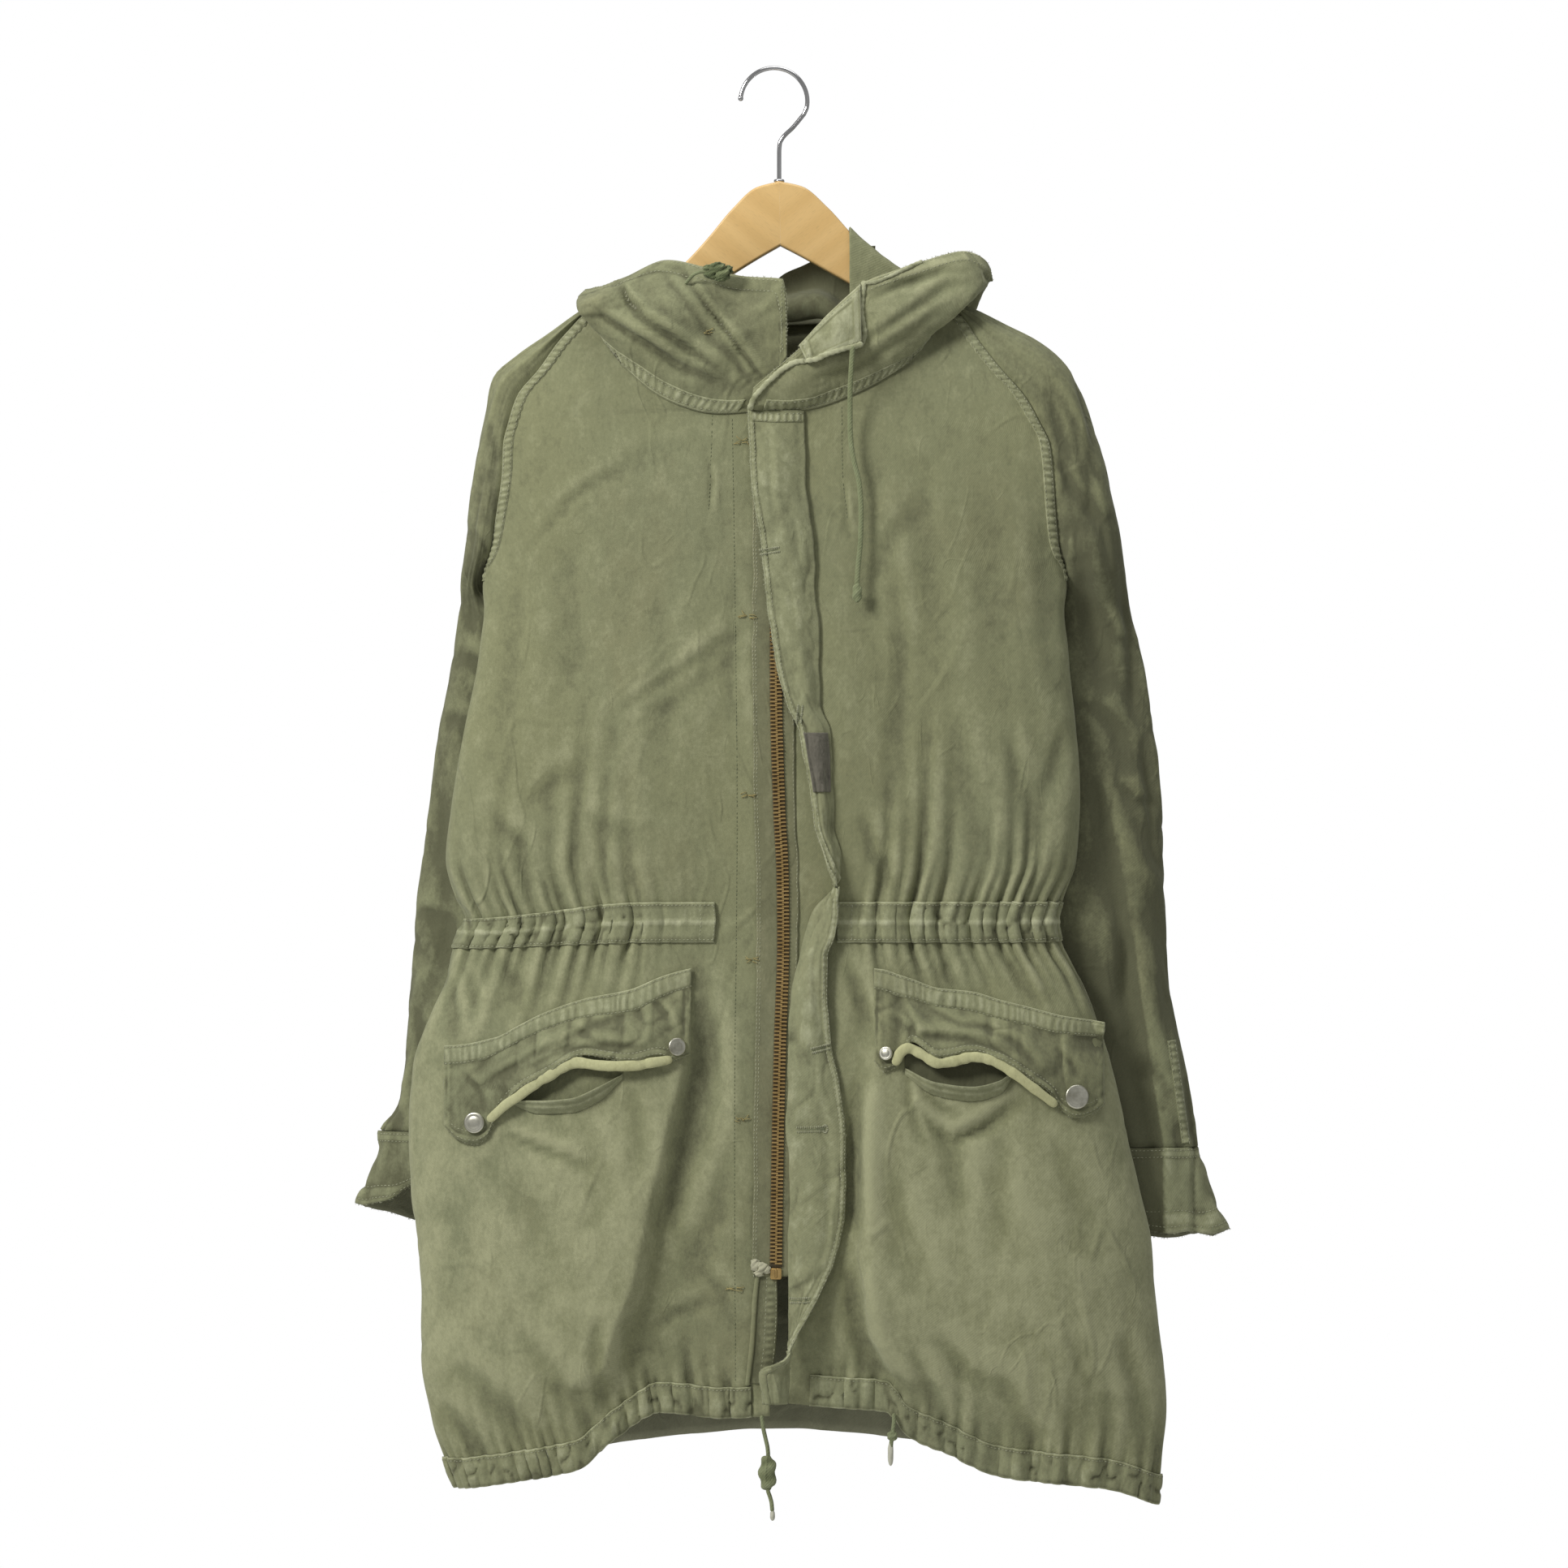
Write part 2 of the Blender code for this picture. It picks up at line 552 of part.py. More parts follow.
def add_lump(name, centre, size, finish, across=10, down=7, dents=0.0):
    points = [np.array(centre, float) + np.array((0, 0, size[2] / 2))]
    for i in range(1, down):
        polar = math.pi * i / down
        for j in range(across):
            turn = 2 * math.pi * j / across
            reach = math.sin(polar) * (1 + dents * math.cos(3 * turn + 5 * polar))
            points.append(np.array(centre) + 0.5 * np.array((
                size[0] * reach * math.cos(turn), size[1] * reach * math.sin(turn),
                size[2] * math.cos(polar))))
    points.append(np.array(centre, float) - np.array((0, 0, size[2] / 2)))
    last = len(points) - 1
    faces = []
    for j in range(across):
        k = (j + 1) % across
        faces.append((0, 1 + k, 1 + j))
        faces.append((last, last - across + j, last - across + k))
        for i in range(down - 2):
            a, b = 1 + i * across + j, 1 + i * across + k
            faces.append((a, b, b + across, a + across))
    return add_mesh(name, points, faces, finish)


def add_turned(name, centre, axis, profile, finish, sides=14):
    """A round piece: profile is (radius, distance along the axis), from back to front."""
    axis = np.array(axis, float) / np.linalg.norm(axis)
    across = np.cross(axis, (0, 0, 1.0))
    across /= np.linalg.norm(across)
    up = np.cross(across, axis)
    points = []
    for radius, ahead in profile:
        for j in range(sides):
            turn = 2 * math.pi * j / sides
            points.append(np.array(centre) + axis * ahead
                          + radius * (across * math.cos(turn) + up * math.sin(turn)))
    faces = [tuple(range(sides))[::-1], tuple(range((len(profile) - 1) * sides, len(profile) * sides))]
    for i in range(len(profile) - 1):
        for j in range(sides):
            a, b = i * sides + j, i * sides + (j + 1) % sides
            faces.append((a, b, b + sides, a + sides))
    return add_mesh(name, points, faces, finish)


# The body's section: a rounded front and a flatter back, at every height
def half_width(side, z):
    return column(body_rows, side_key(side), z)


def body_section(side, z, angle, face):
    """Distance from the middle and depth, at an angle from the middle (0) to the side seam (90)."""
    width = half_width(side, z)
    lower = ease(-440.0, -475.0, z)
    power = front_roundness if face < 0 else front_roundness + lower * (back_roundness - front_roundness)
    x = width * np.sin(angle) ** (2 / power)
    depth = column(body_rows, "front" if face < 0 else "back", z)
    if face > 0:
        inner = sleeve_inner(side, z)
        inward = ease(inner - 6.0, inner - 85.0, x)
        clear = ease(-1030.0, -1100.0, z)
        layered = side_layer + (depth - side_layer) * np.maximum(inward, 0.9 * clear)
        depth = depth + lower * (layered - depth)
    y = depth * np.cos(angle) ** (2 / power)
    return x, (y + back_set if face > 0 else -y)


def sleeve_inner(side, z):
    """How far in the sleeve behind the back's side reaches."""
    rows = [row for row in (sleeve_right if side < 0 else sleeve_left) if row.turn > closed_turn][::-1]
    return smooth_curve(np.array([row.in_z for row in rows], float),
                        np.array([row.in_x for row in rows], float), z)


def section_angle(side, z, x, face):
    lower = ease(-440.0, -475.0, z)
    power = front_roundness if face < 0 else front_roundness + lower * (back_roundness - front_roundness)
    share = np.clip(np.asarray(x, float) / half_width(side, z), 0.0, 1.0)
    return np.arcsin(share ** (power / 2))


def end_angle(side, z, face):
    """Where the panel ends: at the raglan seam above the armhole, else at the side seam."""
    if z <= armhole_z:
        return math.pi / 2
    return float(section_angle(side, z, column(raglan_rows, side_key(side), z), face))


def hang(z, x, hem):
    """A nominal height brought to its place above the uneven hem."""
    low = column(hem, "z", x)
    share = np.clip((hang_from - z) / (hang_from - hem_flat), 0.0, 1.0)
    band = np.clip((hem_flat - z) / (hem_flat - hem_low), 0.0, 1.0)
    hung = hang_from + (low + hem_band - hang_from) * share - hem_band * band
    return np.where(z > hang_from, z, hung)


def front_relief(side, share, x, z):
    """How far the folds stand out from the plain section."""
    all_wave = np.cos(math.pi * gathers * (share - casing_start) / (1 - casing_start))
    wave = np.where(share > casing_start, all_wave, 0.0)
    uneven = 0.75 + 0.25 * np.sin(9.0 * share + 2.0 * side)
    reach = 60.0 + 50.0 * np.sin(14.0 * share + side) ** 2
    middle = (waist_top + waist_bottom) / 2
    above = np.exp(-np.maximum(z - middle - 12.0, 0.0) / reach)
    below = np.exp(-np.maximum(middle - 12.0 - z, 0.0) / (0.45 * reach))
    relief = waist_gather * wave * uneven * above * below
    hem_wave = np.where(share > 0.05, all_wave, 0.0)
    relief += hem_gather * hem_wave * uneven * np.exp(-np.maximum(z - hem_flat, 0.0) / hem_gather_reach)
    step_at = column(step_rows, side_key(side), z)
    rise = column(step_rows, "rise", z)
    relief += rise * ease(step_at - step_width / 2, step_at + step_width / 2, x)
    fold = np.sin(x / soft_fold_width + 1.3 * side + z / 420.0)
    relief += soft_fold * fold * ease(-420, -560, z) * ease(18, 60, x)
    return relief


def spread(points, shares):
    """Points at the given shares of the way along a line of points."""
    along = np.concatenate([[0], np.cumsum(np.linalg.norm(np.diff(points, axis=0), axis=1))])
    at = np.asarray(shares) * along[-1]
    return np.stack([np.interp(at, along, points[:, axis]) for axis in range(3)], axis=1)


front_shares = np.concatenate([[0.0, 0.06, 0.12], np.linspace(casing_start, 1.0, gathers + 1)])


def facing_front(side, x, z):
    """1 where the panel faces the front, less where it turns to the side seam."""
    return np.clip(1.0 - (x / half_width(side, z)) ** 6, 0.15, 1.0)


def front_row(side, in_x, in_z, end_z, shares, hem):
    start = float(section_angle(side, in_z, in_x, -1))
    angle = np.linspace(start, end_angle(side, end_z, -1), line_points)
    z = np.linspace(in_z, end_z, line_points)
    x, y = body_section(side, z, angle, -1)
    points = spread(np.stack([x, y, z], axis=1), shares)
    x, y, z = points.T
    turn = facing_front(side, x, z)
    relief = front_relief(side, shares, x, z)
    sideways = relief * side_turn * (x / half_width(side, z)) ** 4
    return np.stack([side * (x + sideways), y - relief * turn, hang(z, x, hem)], axis=1)


def front_grid(side):
    hem = hem_right if side < 0 else hem_left
    key = side_key(side)
    rows = []
    for row in front_rows:
        in_x, in_z = getattr(row, key + "_x"), getattr(row, key + "_z")
        rows.append(front_row(side, in_x, in_z, row.end_z, front_shares, hem))
    for level in front_levels:
        rows.append(front_row(side, placket, level, level, front_shares, hem))
    return np.array(rows)


def front_surface(side, x, z, lift):
    """The point of a front in front of x and z, moved out."""
    z = np.asarray(z, float)
    x = np.minimum(np.asarray(x, float), 0.94 * half_width(side, z))
    y = body_section(side, z, section_angle(side, z, x, -1), -1)[1]
    whole = half_width(side, z)
    share = np.clip((x - placket) / (whole - placket) * 0.93, 0.0, 1.0)
    relief = front_relief(side, share, x, z)
    return np.stack([side * x, y - relief * facing_front(side, x, z) - lift, z], axis=-1)


def add_layer(name, grid, low, high, finish, outward, rows=slice(None), columns=slice(None), middle=0.0):
    """A strip that lies on a panel: made of the panel's own points, moved out."""
    inner = lifted(grid, low, outward)[rows, columns]
    outer = lifted(grid, high, outward)[rows, columns]
    if middle:
        crown = (outer[:-1] + outer[1:]) / 2
        crown = crown + (outer - inner)[:-1] / (high - low) * middle
        floor = (inner[:-1] + inner[1:]) / 2
        outer = np.concatenate([outer[:1], crown, outer[1:]])
        inner = np.concatenate([inner[:1], floor, inner[1:]])
    add_shell(name, outer, inner, finish)


def make_fronts():
    for side in (-1, 1):
        key = side_key(side)
        grid = front_grid(side)
        add_wall("front_" + key, grid, olive, (0, -1, 0))
        first = len(front_rows) + front_levels.index(waist_top)
        last = len(front_rows) + front_levels.index(waist_bottom)
        add_layer("waist_casing_" + key, grid, seam, seam + trim, olive_light, (0, -1, 0),
                  slice(first, last + 1), slice(3, None))
        add_layer("hem_casing_" + key, grid, seam, seam + trim, olive_light, (0, -1, 0),
                  slice(-2, None), slice(1, None), casing_crown)


def back_grid():
    rows = []
    shares = np.linspace(0, 1, back_columns)
    for row in back_rows:
        halves = []
        for side in (-1, 1):
            angle = np.linspace(0.0, end_angle(side, row.side, 1), line_points)
            across = np.linspace(0.0, 1.0, line_points)
            z = row.middle + (row.side - row.middle) * across**2
            x, y = body_section(side, z, angle, 1)
            halves.append(np.stack([side * x, y, z], axis=1))
        line = np.concatenate([halves[0][::-1], halves[1][1:]])
        points = spread(line, shares)
        x, y, z = points.T
        wave = np.cos(math.pi * (back_columns - 1) * shares)
        wave *= ease(0.04, 0.1, shares) * ease(0.96, 0.9, shares) * back_gather_share
        middle = (waist_top + waist_bottom) / 2
        relief = waist_gather * wave * np.exp(-np.maximum(abs(z - middle) - 15.0, 0.0) / 55.0)
        relief += hem_gather * wave * np.exp(-np.maximum(z - hem_flat, 0.0) / hem_gather_reach)
        hung = hang(z, x, hem_back)
        rows.append(np.stack([x, y + relief * ease(5.0, 14.0, y), hung], axis=1))
    return np.array(rows)


def make_back():
    grid = back_grid()
    add_wall("back", grid, olive, (0, 1, 0))
    levels = [row.side for row in back_rows]
    first, last = levels.index(waist_top), levels.index(waist_bottom)
    add_layer("waist_casing_back", grid, seam, seam + trim, olive_light, (0, 1, 0),
              slice(first, last + 1), slice(1, -1))
    add_layer("hem_casing_back", grid, seam, seam + trim, olive_light, (0, 1, 0),
              slice(-2, None), slice(1, -1))


def sleeve_grid(side, rows):
    shares = np.linspace(-1.0, 1.0, sleeve_points)
    grid = []
    for row in rows:
        half = math.radians(row.turn)
        reach = (row.out_x - row.in_x) / (1 - math.cos(half))
        turn = half * shares
        x = row.out_x - reach * (1 - np.cos(turn))
        z = row.in_z + (row.out_z - row.in_z) * (x - row.in_x) / (row.out_x - row.in_x)
        y = row.middle_y + row.half_depth * np.sin(turn)
        if row.turn < closed_turn:
            for end, face in ((0, -1), (-1, 1)):
                height = float(z[end])
                angle = end_angle(side, height, face)
                edge_x, edge_y = body_section(side, np.array([height]), np.array([angle]), face)
                held = np.clip(1 - abs(shares - shares[end]) / 0.8, 0, 1) ** 2
                x = x + held * (edge_x[0] + raglan_gap - x[end])
                y = y + held * (edge_y[0] - y[end])
        grid.append(np.stack([side * x, y, z], axis=1))
    return np.array(grid)


def make_sleeves():
    for side, rows in ((-1, sleeve_right), (1, sleeve_left)):
        add_wall("sleeve_" + side_key(side), sleeve_grid(side, rows), olive, "away")


def make_cuffs():
    for side, rows in ((-1, cuff_right), (1, cuff_left)):
        grid = []
        for row in rows:
            turn = np.linspace(0, 2 * math.pi, sleeve_points, endpoint=False)
            centre, reach = (row.in_x + row.out_x) / 2, (row.out_x - row.in_x) / 2
            x = centre + reach * np.cos(turn)
            z = row.in_z + (row.out_z - row.in_z) * (x - row.in_x) / (row.out_x - row.in_x)
            grid.append(np.stack([side * x, row.middle_y + row.half_depth * np.sin(turn), z], axis=1))
        add_wall("cuff_" + side_key(side), np.array(grid), olive_light, "away", cuff_wall, ring=True)


def hood_grid(side, rows):
    """From the throat (first column) to the middle of the back, and from the neck up to the face edge."""
    places = np.arange(len(rows), dtype=float)
    at = np.linspace(0, len(rows) - 1, hood_columns)
    value = {key: smooth_curve(places, np.array([getattr(row, key) for row in rows], float), at)
             for key in HoodRow._fields}
    round_back = ease(6.5, 9.0, at)
    grid = []
    for share in np.linspace(0, 1, hood_levels):
        out = value["swell"] * math.sin(math.pi * share)
        x = value["neck_x"] + (value["face_x"] - value["neck_x"]) * share
        y = value["neck_y"] + (value["face_y"] - value["neck_y"]) * share
        z = value["neck_z"] + (value["face_z"] - value["neck_z"]) * share
        sideways = np.sin(math.pi * np.clip((at - 4.5) / 5.0, 0, 1))
        forward = np.cos(math.pi * round_back)
        x = x + side * out * sideways
        y = y - out * forward
        z = z - value["drop"] * math.sin(math.pi * share) ** 2
        folds = np.sin(at * 2.6 + 5.0 * share) * ease(1.5, 3.0, at) * ease(8.5, 7.0, at)
        y = y - hood_fold * folds * math.sin(math.pi * share)
        grid.append(np.stack([x, y, z], axis=1))
    return np.array(grid)


def make_hood():
    for side, rows in ((-1, hood_right), (1, hood_left)):
        add_wall("hood_" + side_key(side), hood_grid(side, rows), olive, "away")


def front_depth(z):
    return column(body_rows, "front", z)


def fly_line(z, share, lift):
    """A level line across the flap, at shares of the way from its sewn edge to its free edge."""
    hinge, edge, stand, tip = (column(fly_rows, key, z) for key in ("hinge_x", "edge_x", "stand", "tip"))
    out = stand * np.sin(math.pi * share) + tip * share**1.5
    return np.stack([hinge + (edge - hinge) * share, -front_depth(z) - lift - out,
                     np.full(len(share), z)], axis=1)


def make_fly():
    heights = np.concatenate([np.linspace(*stretch) for stretch in fly_heights])
    flap = [fly_line(z, np.linspace(0, 1, 5), fly_lift) for z in heights]
    add_wall("fly_flap", np.array(flap), olive_light, (0, -1, 0), fly_wall)
    patch = [fly_line(z, np.linspace(0.12, 0.88, 4), fly_lift + patch_lift)
             for z in np.linspace(patch_top, patch_low, 5)]
    add_wall("fly_patch", np.array(patch), hook_pile, (0, -1, 0), patch_wall)


def strip(left_x, right_x, top, low, steps, lift):
    """A straight band in front of the placket."""
    return np.array([[(x, -float(front_depth(z)) - lift, z) for x in (left_x, right_x)]
                     for z in np.linspace(top, low, steps)])


def add_block(name, centre, size, finish):
    corners = [np.array(centre) + np.array(size) / 2 * (a, b, c)
               for a in (-1, 1) for b in (-1, 1) for c in (-1, 1)]
    faces = [(0, 1, 3, 2), (4, 6, 7, 5), (0, 4, 5, 1), (2, 3, 7, 6), (0, 2, 6, 4), (1, 5, 7, 3)]
    return add_mesh(name, corners, faces, finish)


def make_zip():
    tape_low = zip_bottom - 8
    tape_in = chain_half + seam
    edges = {"zip_tape_right": (tape_right, -tape_in), "zip_tape_left": (tape_in, tape_left)}
    for name, (left_x, right_x) in edges.items():
        tape = strip(left_x, right_x, zip_top, tape_low, 18, tape_lift)
        add_wall(name, tape, khaki, (0, -1, 0), tape_wall)
    chain = strip(-chain_half, chain_half, zip_top - 12, zip_bottom, 18, chain_lift)
    add_wall("zip_chain", chain, brass, (0, -1, 0), chain_wall)
    middle = chain_lift - chain_wall / 2
    for name, z, size in (("zip_bottom_box", zip_bottom - 5.5, (9.6, 3.6, 10)),
                          ("zip_slider", zip_top - 5.2, (9.8, 3.2, 12))):
        add_block(name, (0, -float(front_depth(z)) - middle, z), size, brass)


def make_pocket(side, rows, lips):
    key = side_key(side)
    x = np.linspace(rows[0].x, rows[-1].x, 18)
    band = []
    for share in (0.0, 0.5, 1.0):
        z = column(rows, "band_top", x) * (1 - share) + column(rows, "band_low", x) * share
        band.append(front_surface(side, x, z, flap_lift + 0.8 * math.sin(math.pi * share)))
    add_wall("pocket_band_" + key, np.array(band), olive_light, (0, -1, 0), trim)
    flap = []
    for share in (0.0, 0.35, 0.7, 1.0):
        top = column(rows, "band_low", x) - 0.8
        z = top * (1 - share) + column(rows, "flap_low", x) * share
        sag = column(rows, "stand", x) * share**0.8
        flap.append(front_surface(side, x, z, flap_lift + sag))
    add_wall("pocket_flap_" + key, np.array(flap), olive, (0, -1, 0), cloth)
    inner, outer = rows[-4].x + 1.0, rows[4].x - 1.0
    x = x[(x > inner) & (x < outer)]
    piping = []
    for share in (0.0, 0.5, 1.0):
        z = column(rows, "flap_low", x) - piping_drop - share * piping_width
        out = column(rows, "stand", x) + math.sin(math.pi * share)
        piping.append(front_surface(side, x, z, flap_lift + 0.2 + out))
    add_wall("pocket_piping_" + key, np.array(piping), piping_green, (0, -1, 0), piping_wall)
    x = np.linspace(lips[0].x, lips[-1].x, 10)
    lip = []
    for share in (0.0, 0.5, 1.0):
        z = column(lips, "top", x) * (1 - share) + column(lips, "low", x) * share
        out = column(lips, "stand", x) * (1 - share)
        lip.append(front_surface(side, x, z, lip_lift + out))
    add_wall("pocket_lip_" + key, np.array(lip), olive_light, (0, -1, 0), trim)


def make_pockets():
    make_pocket(-1, pocket_right, lip_right)
    make_pocket(1, pocket_left, lip_left)
    for name, place in snap_places.items():
        rows = pocket_right if place.side < 0 else pocket_left
        out = flap_lift + float(column(rows, "stand", place.x))
        centre = front_surface(place.side, place.x, place.z, out)
        beside = front_surface(place.side, place.x - 8.0, place.z, out) - front_surface(
            place.side, place.x + 8.0, place.z, out)
        axis = np.cross(beside, (0, 0, 1.0)) * place.side
        axis *= -np.sign(axis[1])
        centre = centre + axis / np.linalg.norm(axis) * snap_lift
        profile = [(share * place.radius, ahead) for share, ahead in snap_profile]
        add_turned(name, centre, axis, profile, steel)


def tilted(points):
    """Turned about the hanger's middle by its tilt."""
    x, y, z = np.asarray(points, float).T
    turn, pivot = hanger_tilt, arm_rows[0].top
    return np.stack([x * math.cos(turn) - (z - pivot) * math.sin(turn), y,
                     pivot + x * math.sin(turn) + (z - pivot) * math.cos(turn)], axis=1)


def make_hanger():
    bevel, half = hanger_bevel, hanger_thick / 2
    for side in (-1, 1):
        points = []
        for row in arm_rows:
            x = side * max(row.x, 0.2)
            for y, z in ((half - bevel, row.top), (half, row.top - bevel), (half, row.low + bevel),
                         (half - bevel, row.low), (bevel - half, row.low), (-half, row.low + bevel),
                         (-half, row.top - bevel), (bevel - half, row.top)):
                points.append((x, y, z))
        faces = [tuple(range(8))[::-1], tuple(range(len(points) - 8, len(points)))]
        for i in range(len(arm_rows) - 1):
            for j in range(8):
                a, b = i * 8 + j, i * 8 + (j + 1) % 8
                faces.append((a, b, b + 8, a + 8))
        add_mesh("hanger_arm_" + side_key(side), tilted(points), faces, beech)
    turns = np.radians(np.linspace(*hook_turn, 16))
    bow = [(hook_middle[0] + hook_reach * math.cos(turn), 0, hook_middle[1] + hook_reach * math.sin(turn))
           for turn in turns]
    add_wire("hook", bow + list(hook_stem), hook_wire, chrome)


def arm_top(x):
    return column(arm_rows, "top", x) + x * math.sin(hanger_tilt)


def make_hood_fold():
    """The fold of the hood that lies over the hanger's arm."""
    grid = []
    x = np.linspace(*fold_ends, 7)
    for row in fold_rows:
        lean = np.linspace(0, row.lean, 7)
        grid.append(np.stack([x, np.full(7, float(row.y)), arm_top(x) + lean - row.drop], axis=1))
    add_wall("hood_fold_left", np.array(grid), olive, (0, 0, 1), cloth)


def make_throat_tab():
    share = np.linspace(0, 1, 4)
    grid = []
    for row in throat_tab:
        top, low = np.array(row[:3], float), np.array(row[3:], float)
        line = top + (low - top) * share[:, None]
        line[:, 1] -= tab_bulge * np.sin(math.pi * share)
        grid.append(line)
    add_wall("throat_tab_left", np.array(grid), olive_light, (0, -1, 0), tab_wall)


def make_cords():
    add_cord("hood_cord", hood_cord_route, hood_cord_size, cord_green)
    add_lump("hood_cord_knot", (67.2, -46.6, -455.6), (8.5, 6.5, 16.5), cord_green)
    add_cord("hem_cord_right", hem_cord_right_route, cord_size, cord_green)
    add_lump("hem_cord_right_knot", (-10, -32, -1214.7), (15, 9, 30), cord_green)
    add_cord("hem_tail_right", hem_tail_right_route, cord_size, cord_green)
    add_lump("hem_cord_right_tip", (-5.7, -32, -1251.5), (4.4, 4.4, 9), pale_tip, 8, 5)
    add_cord("hem_cord_left", hem_cord_left_route, cord_size, cord_green)
    add_lump("hem_cord_left_knot", (97.5, -43.5, -1181.5), (9, 7, 9), cord_green)
    add_lump("hem_cord_left_tip", (96, -43.5, -1196.8), (5, 4.4, 21), pale_tip, 8, 5)
    add_cord("tie_cord", tie_cord_route, tie_cord_size, cord_green)
    add_lump("hood_tie", (-53, -49, -179), (25, 13, 17), cord_green, 12, 8, 0.08)


def main():
    for old in list(bpy.data.objects):
        bpy.data.objects.remove(old, do_unlink=True)
    make_fronts()
    make_back()
    make_sleeves()
    make_cuffs()
    make_hood()
    make_hood_fold()
    make_throat_tab()
    make_fly()
    make_zip()
    make_pockets()
    make_hanger()
    make_cords()


main()
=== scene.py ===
# A hooded field jacket hung on a wooden hanger: cloth, sewing, zip, snaps, cords and wood.
# Tables are in millimetres; meshes are in metres. Side -1 is the wearer's right, side 1 the left.

import math
from collections import namedtuple

import bmesh
import bpy
import numpy as np
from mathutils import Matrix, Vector
from mathutils.bvhtree import BVHTree


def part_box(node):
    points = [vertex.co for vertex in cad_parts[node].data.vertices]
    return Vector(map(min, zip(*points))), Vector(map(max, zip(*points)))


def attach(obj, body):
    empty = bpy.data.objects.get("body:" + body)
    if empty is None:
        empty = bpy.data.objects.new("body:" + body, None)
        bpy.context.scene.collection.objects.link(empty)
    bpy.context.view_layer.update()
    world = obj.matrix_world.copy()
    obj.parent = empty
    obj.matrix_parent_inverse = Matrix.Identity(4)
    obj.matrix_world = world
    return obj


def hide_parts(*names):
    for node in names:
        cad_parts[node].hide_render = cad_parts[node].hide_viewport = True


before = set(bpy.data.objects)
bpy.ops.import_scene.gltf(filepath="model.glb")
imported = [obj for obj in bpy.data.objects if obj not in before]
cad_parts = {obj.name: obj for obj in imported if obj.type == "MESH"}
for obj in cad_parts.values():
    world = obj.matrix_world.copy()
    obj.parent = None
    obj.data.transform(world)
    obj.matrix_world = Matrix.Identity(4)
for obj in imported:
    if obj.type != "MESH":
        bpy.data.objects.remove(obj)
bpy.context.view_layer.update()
scene = bpy.context.scene
mm = 0.001
toFront = (0, -1, 0)

# One pixel of the photograph is 0.70 mm, and the hook's inside top is at 960, 80
photoScale = {"mmPerPixel": 0.70, "middleX": 960, "topY": 80}

cloth = {
    "wall": 1.5, "raglanGap": 1.0, "placket": 8.0, "armholeZ": -430.0,
    "frontRound": 3.0, "backRound": 8.0, "sideLayer": 1.5, "backSet": 2.0,
    "waistTop": -722.0, "waistLow": -757.0, "casingStart": 0.17, "halfWaves": 16,
    "waistGather": 4.2, "hemGather": 3.0, "hemReach": 28.0, "softFold": 2.2, "foldWidth": 27.0,
    "hangFrom": -1060.0, "hemFlat": -1219.0, "hemLow": -1246.0, "hemBand": 27.0,
}

BodyRow = namedtuple("BodyRow", "z right left front back")
bodyRows = [BodyRow(*row) for row in (
    (-1246, 282, 329, 33, 28), (-1180, 300, 333, 38, 31), (-1120, 306, 329, 42, 33),
    (-1064, 305, 322, 45, 34), (-1015, 309, 318, 46, 35), (-973, 315, 309, 46, 35),
    (-910, 318, 296, 45, 35), (-861, 315, 286, 44, 34), (-819, 301, 274, 41, 33),
    (-790, 289, 262, 38, 32), (-760, 280, 243, 35, 30), (-738, 270, 238, 34, 29),
    (-718, 279, 245, 35, 30), (-686, 288, 258, 37, 32), (-637, 283, 261, 38, 33),
    (-574, 273, 258, 39, 34), (-518, 262, 252, 39, 34), (-430, 253, 244, 38, 33),
    (-391, 258, 252, 38, 33), (-336, 262, 268, 36, 32), (-294, 255, 265, 32, 29),
    (-266, 247, 256, 27, 25), (-246, 228, 240, 22, 20), (-225, 206, 206, 15, 15),
    (-205, 184, 178, 9, 9),
)]

SeamRow = namedtuple("SeamRow", "z right left")
raglanRows = [SeamRow(*row) for row in (
    (-430, 253, 244), (-391, 246, 240), (-349, 240, 237), (-326, 239, 234), (-309, 235, 226),
    (-284, 227, 212), (-261, 208, 192), (-238, 192, 175), (-216, 173, 160), (-205, 165, 150),
)]

FrontRow = namedtuple("FrontRow", "rightX rightZ leftX leftZ endZ")
frontRows = [FrontRow(*row) for row in (
    (155, -221, 140, -214, -214), (150, -236, 130, -233, -228), (141, -251, 117, -251, -244),
    (122, -266, 94, -266, -262), (99, -281, 66, -279, -280), (61, -294, 32, -292, -298),
    (8, -299, 8, -297, -318), (8, -325, 8, -325, -340), (8, -356, 8, -356, -366),
    (8, -388, 8, -388, -393), (8, -416, 8, -416, -416),
)]
frontLevels = (-433, -500, -580, -650, -690, -722, -740, -757, -776, -800,
               -838, -890, -950, -1010, -1065, -1115, -1168, -1219, -1246)

# Where the ballooning sides step out from the middle, and how far
StepRow = namedtuple("StepRow", "z right left rise")
stepRows = [StepRow(*row) for row in (
    (-1246, 165, 100, 0), (-1200, 155, 92, 5), (-1150, 143, 84, 16), (-1078, 126, 74, 20),
    (-1022, 112, 69, 19), (-924, 91, 69, 14), (-854, 74, 78, 7), (-800, 66, 80, 0),
)]
stepWidth = 20.0

HemRow = namedtuple("HemRow", "x z")
hemRight = [HemRow(*row) for row in ((0, -1165), (48, -1168), (101, -1163), (140, -1184),
                                     (176, -1213), (237, -1225), (282, -1231), (340, -1231))]
hemLeft = [HemRow(*row) for row in ((0, -1154), (42, -1158), (92, -1162), (112, -1184),
                                    (146, -1199), (188, -1218), (287, -1231), (330, -1246))]
hemBack = [HemRow(*row) for row in ((-300, -1228), (-200, -1206), (-100, -1190), (0, -1183),
                                    (95, -1190), (200, -1208), (334, -1240))]

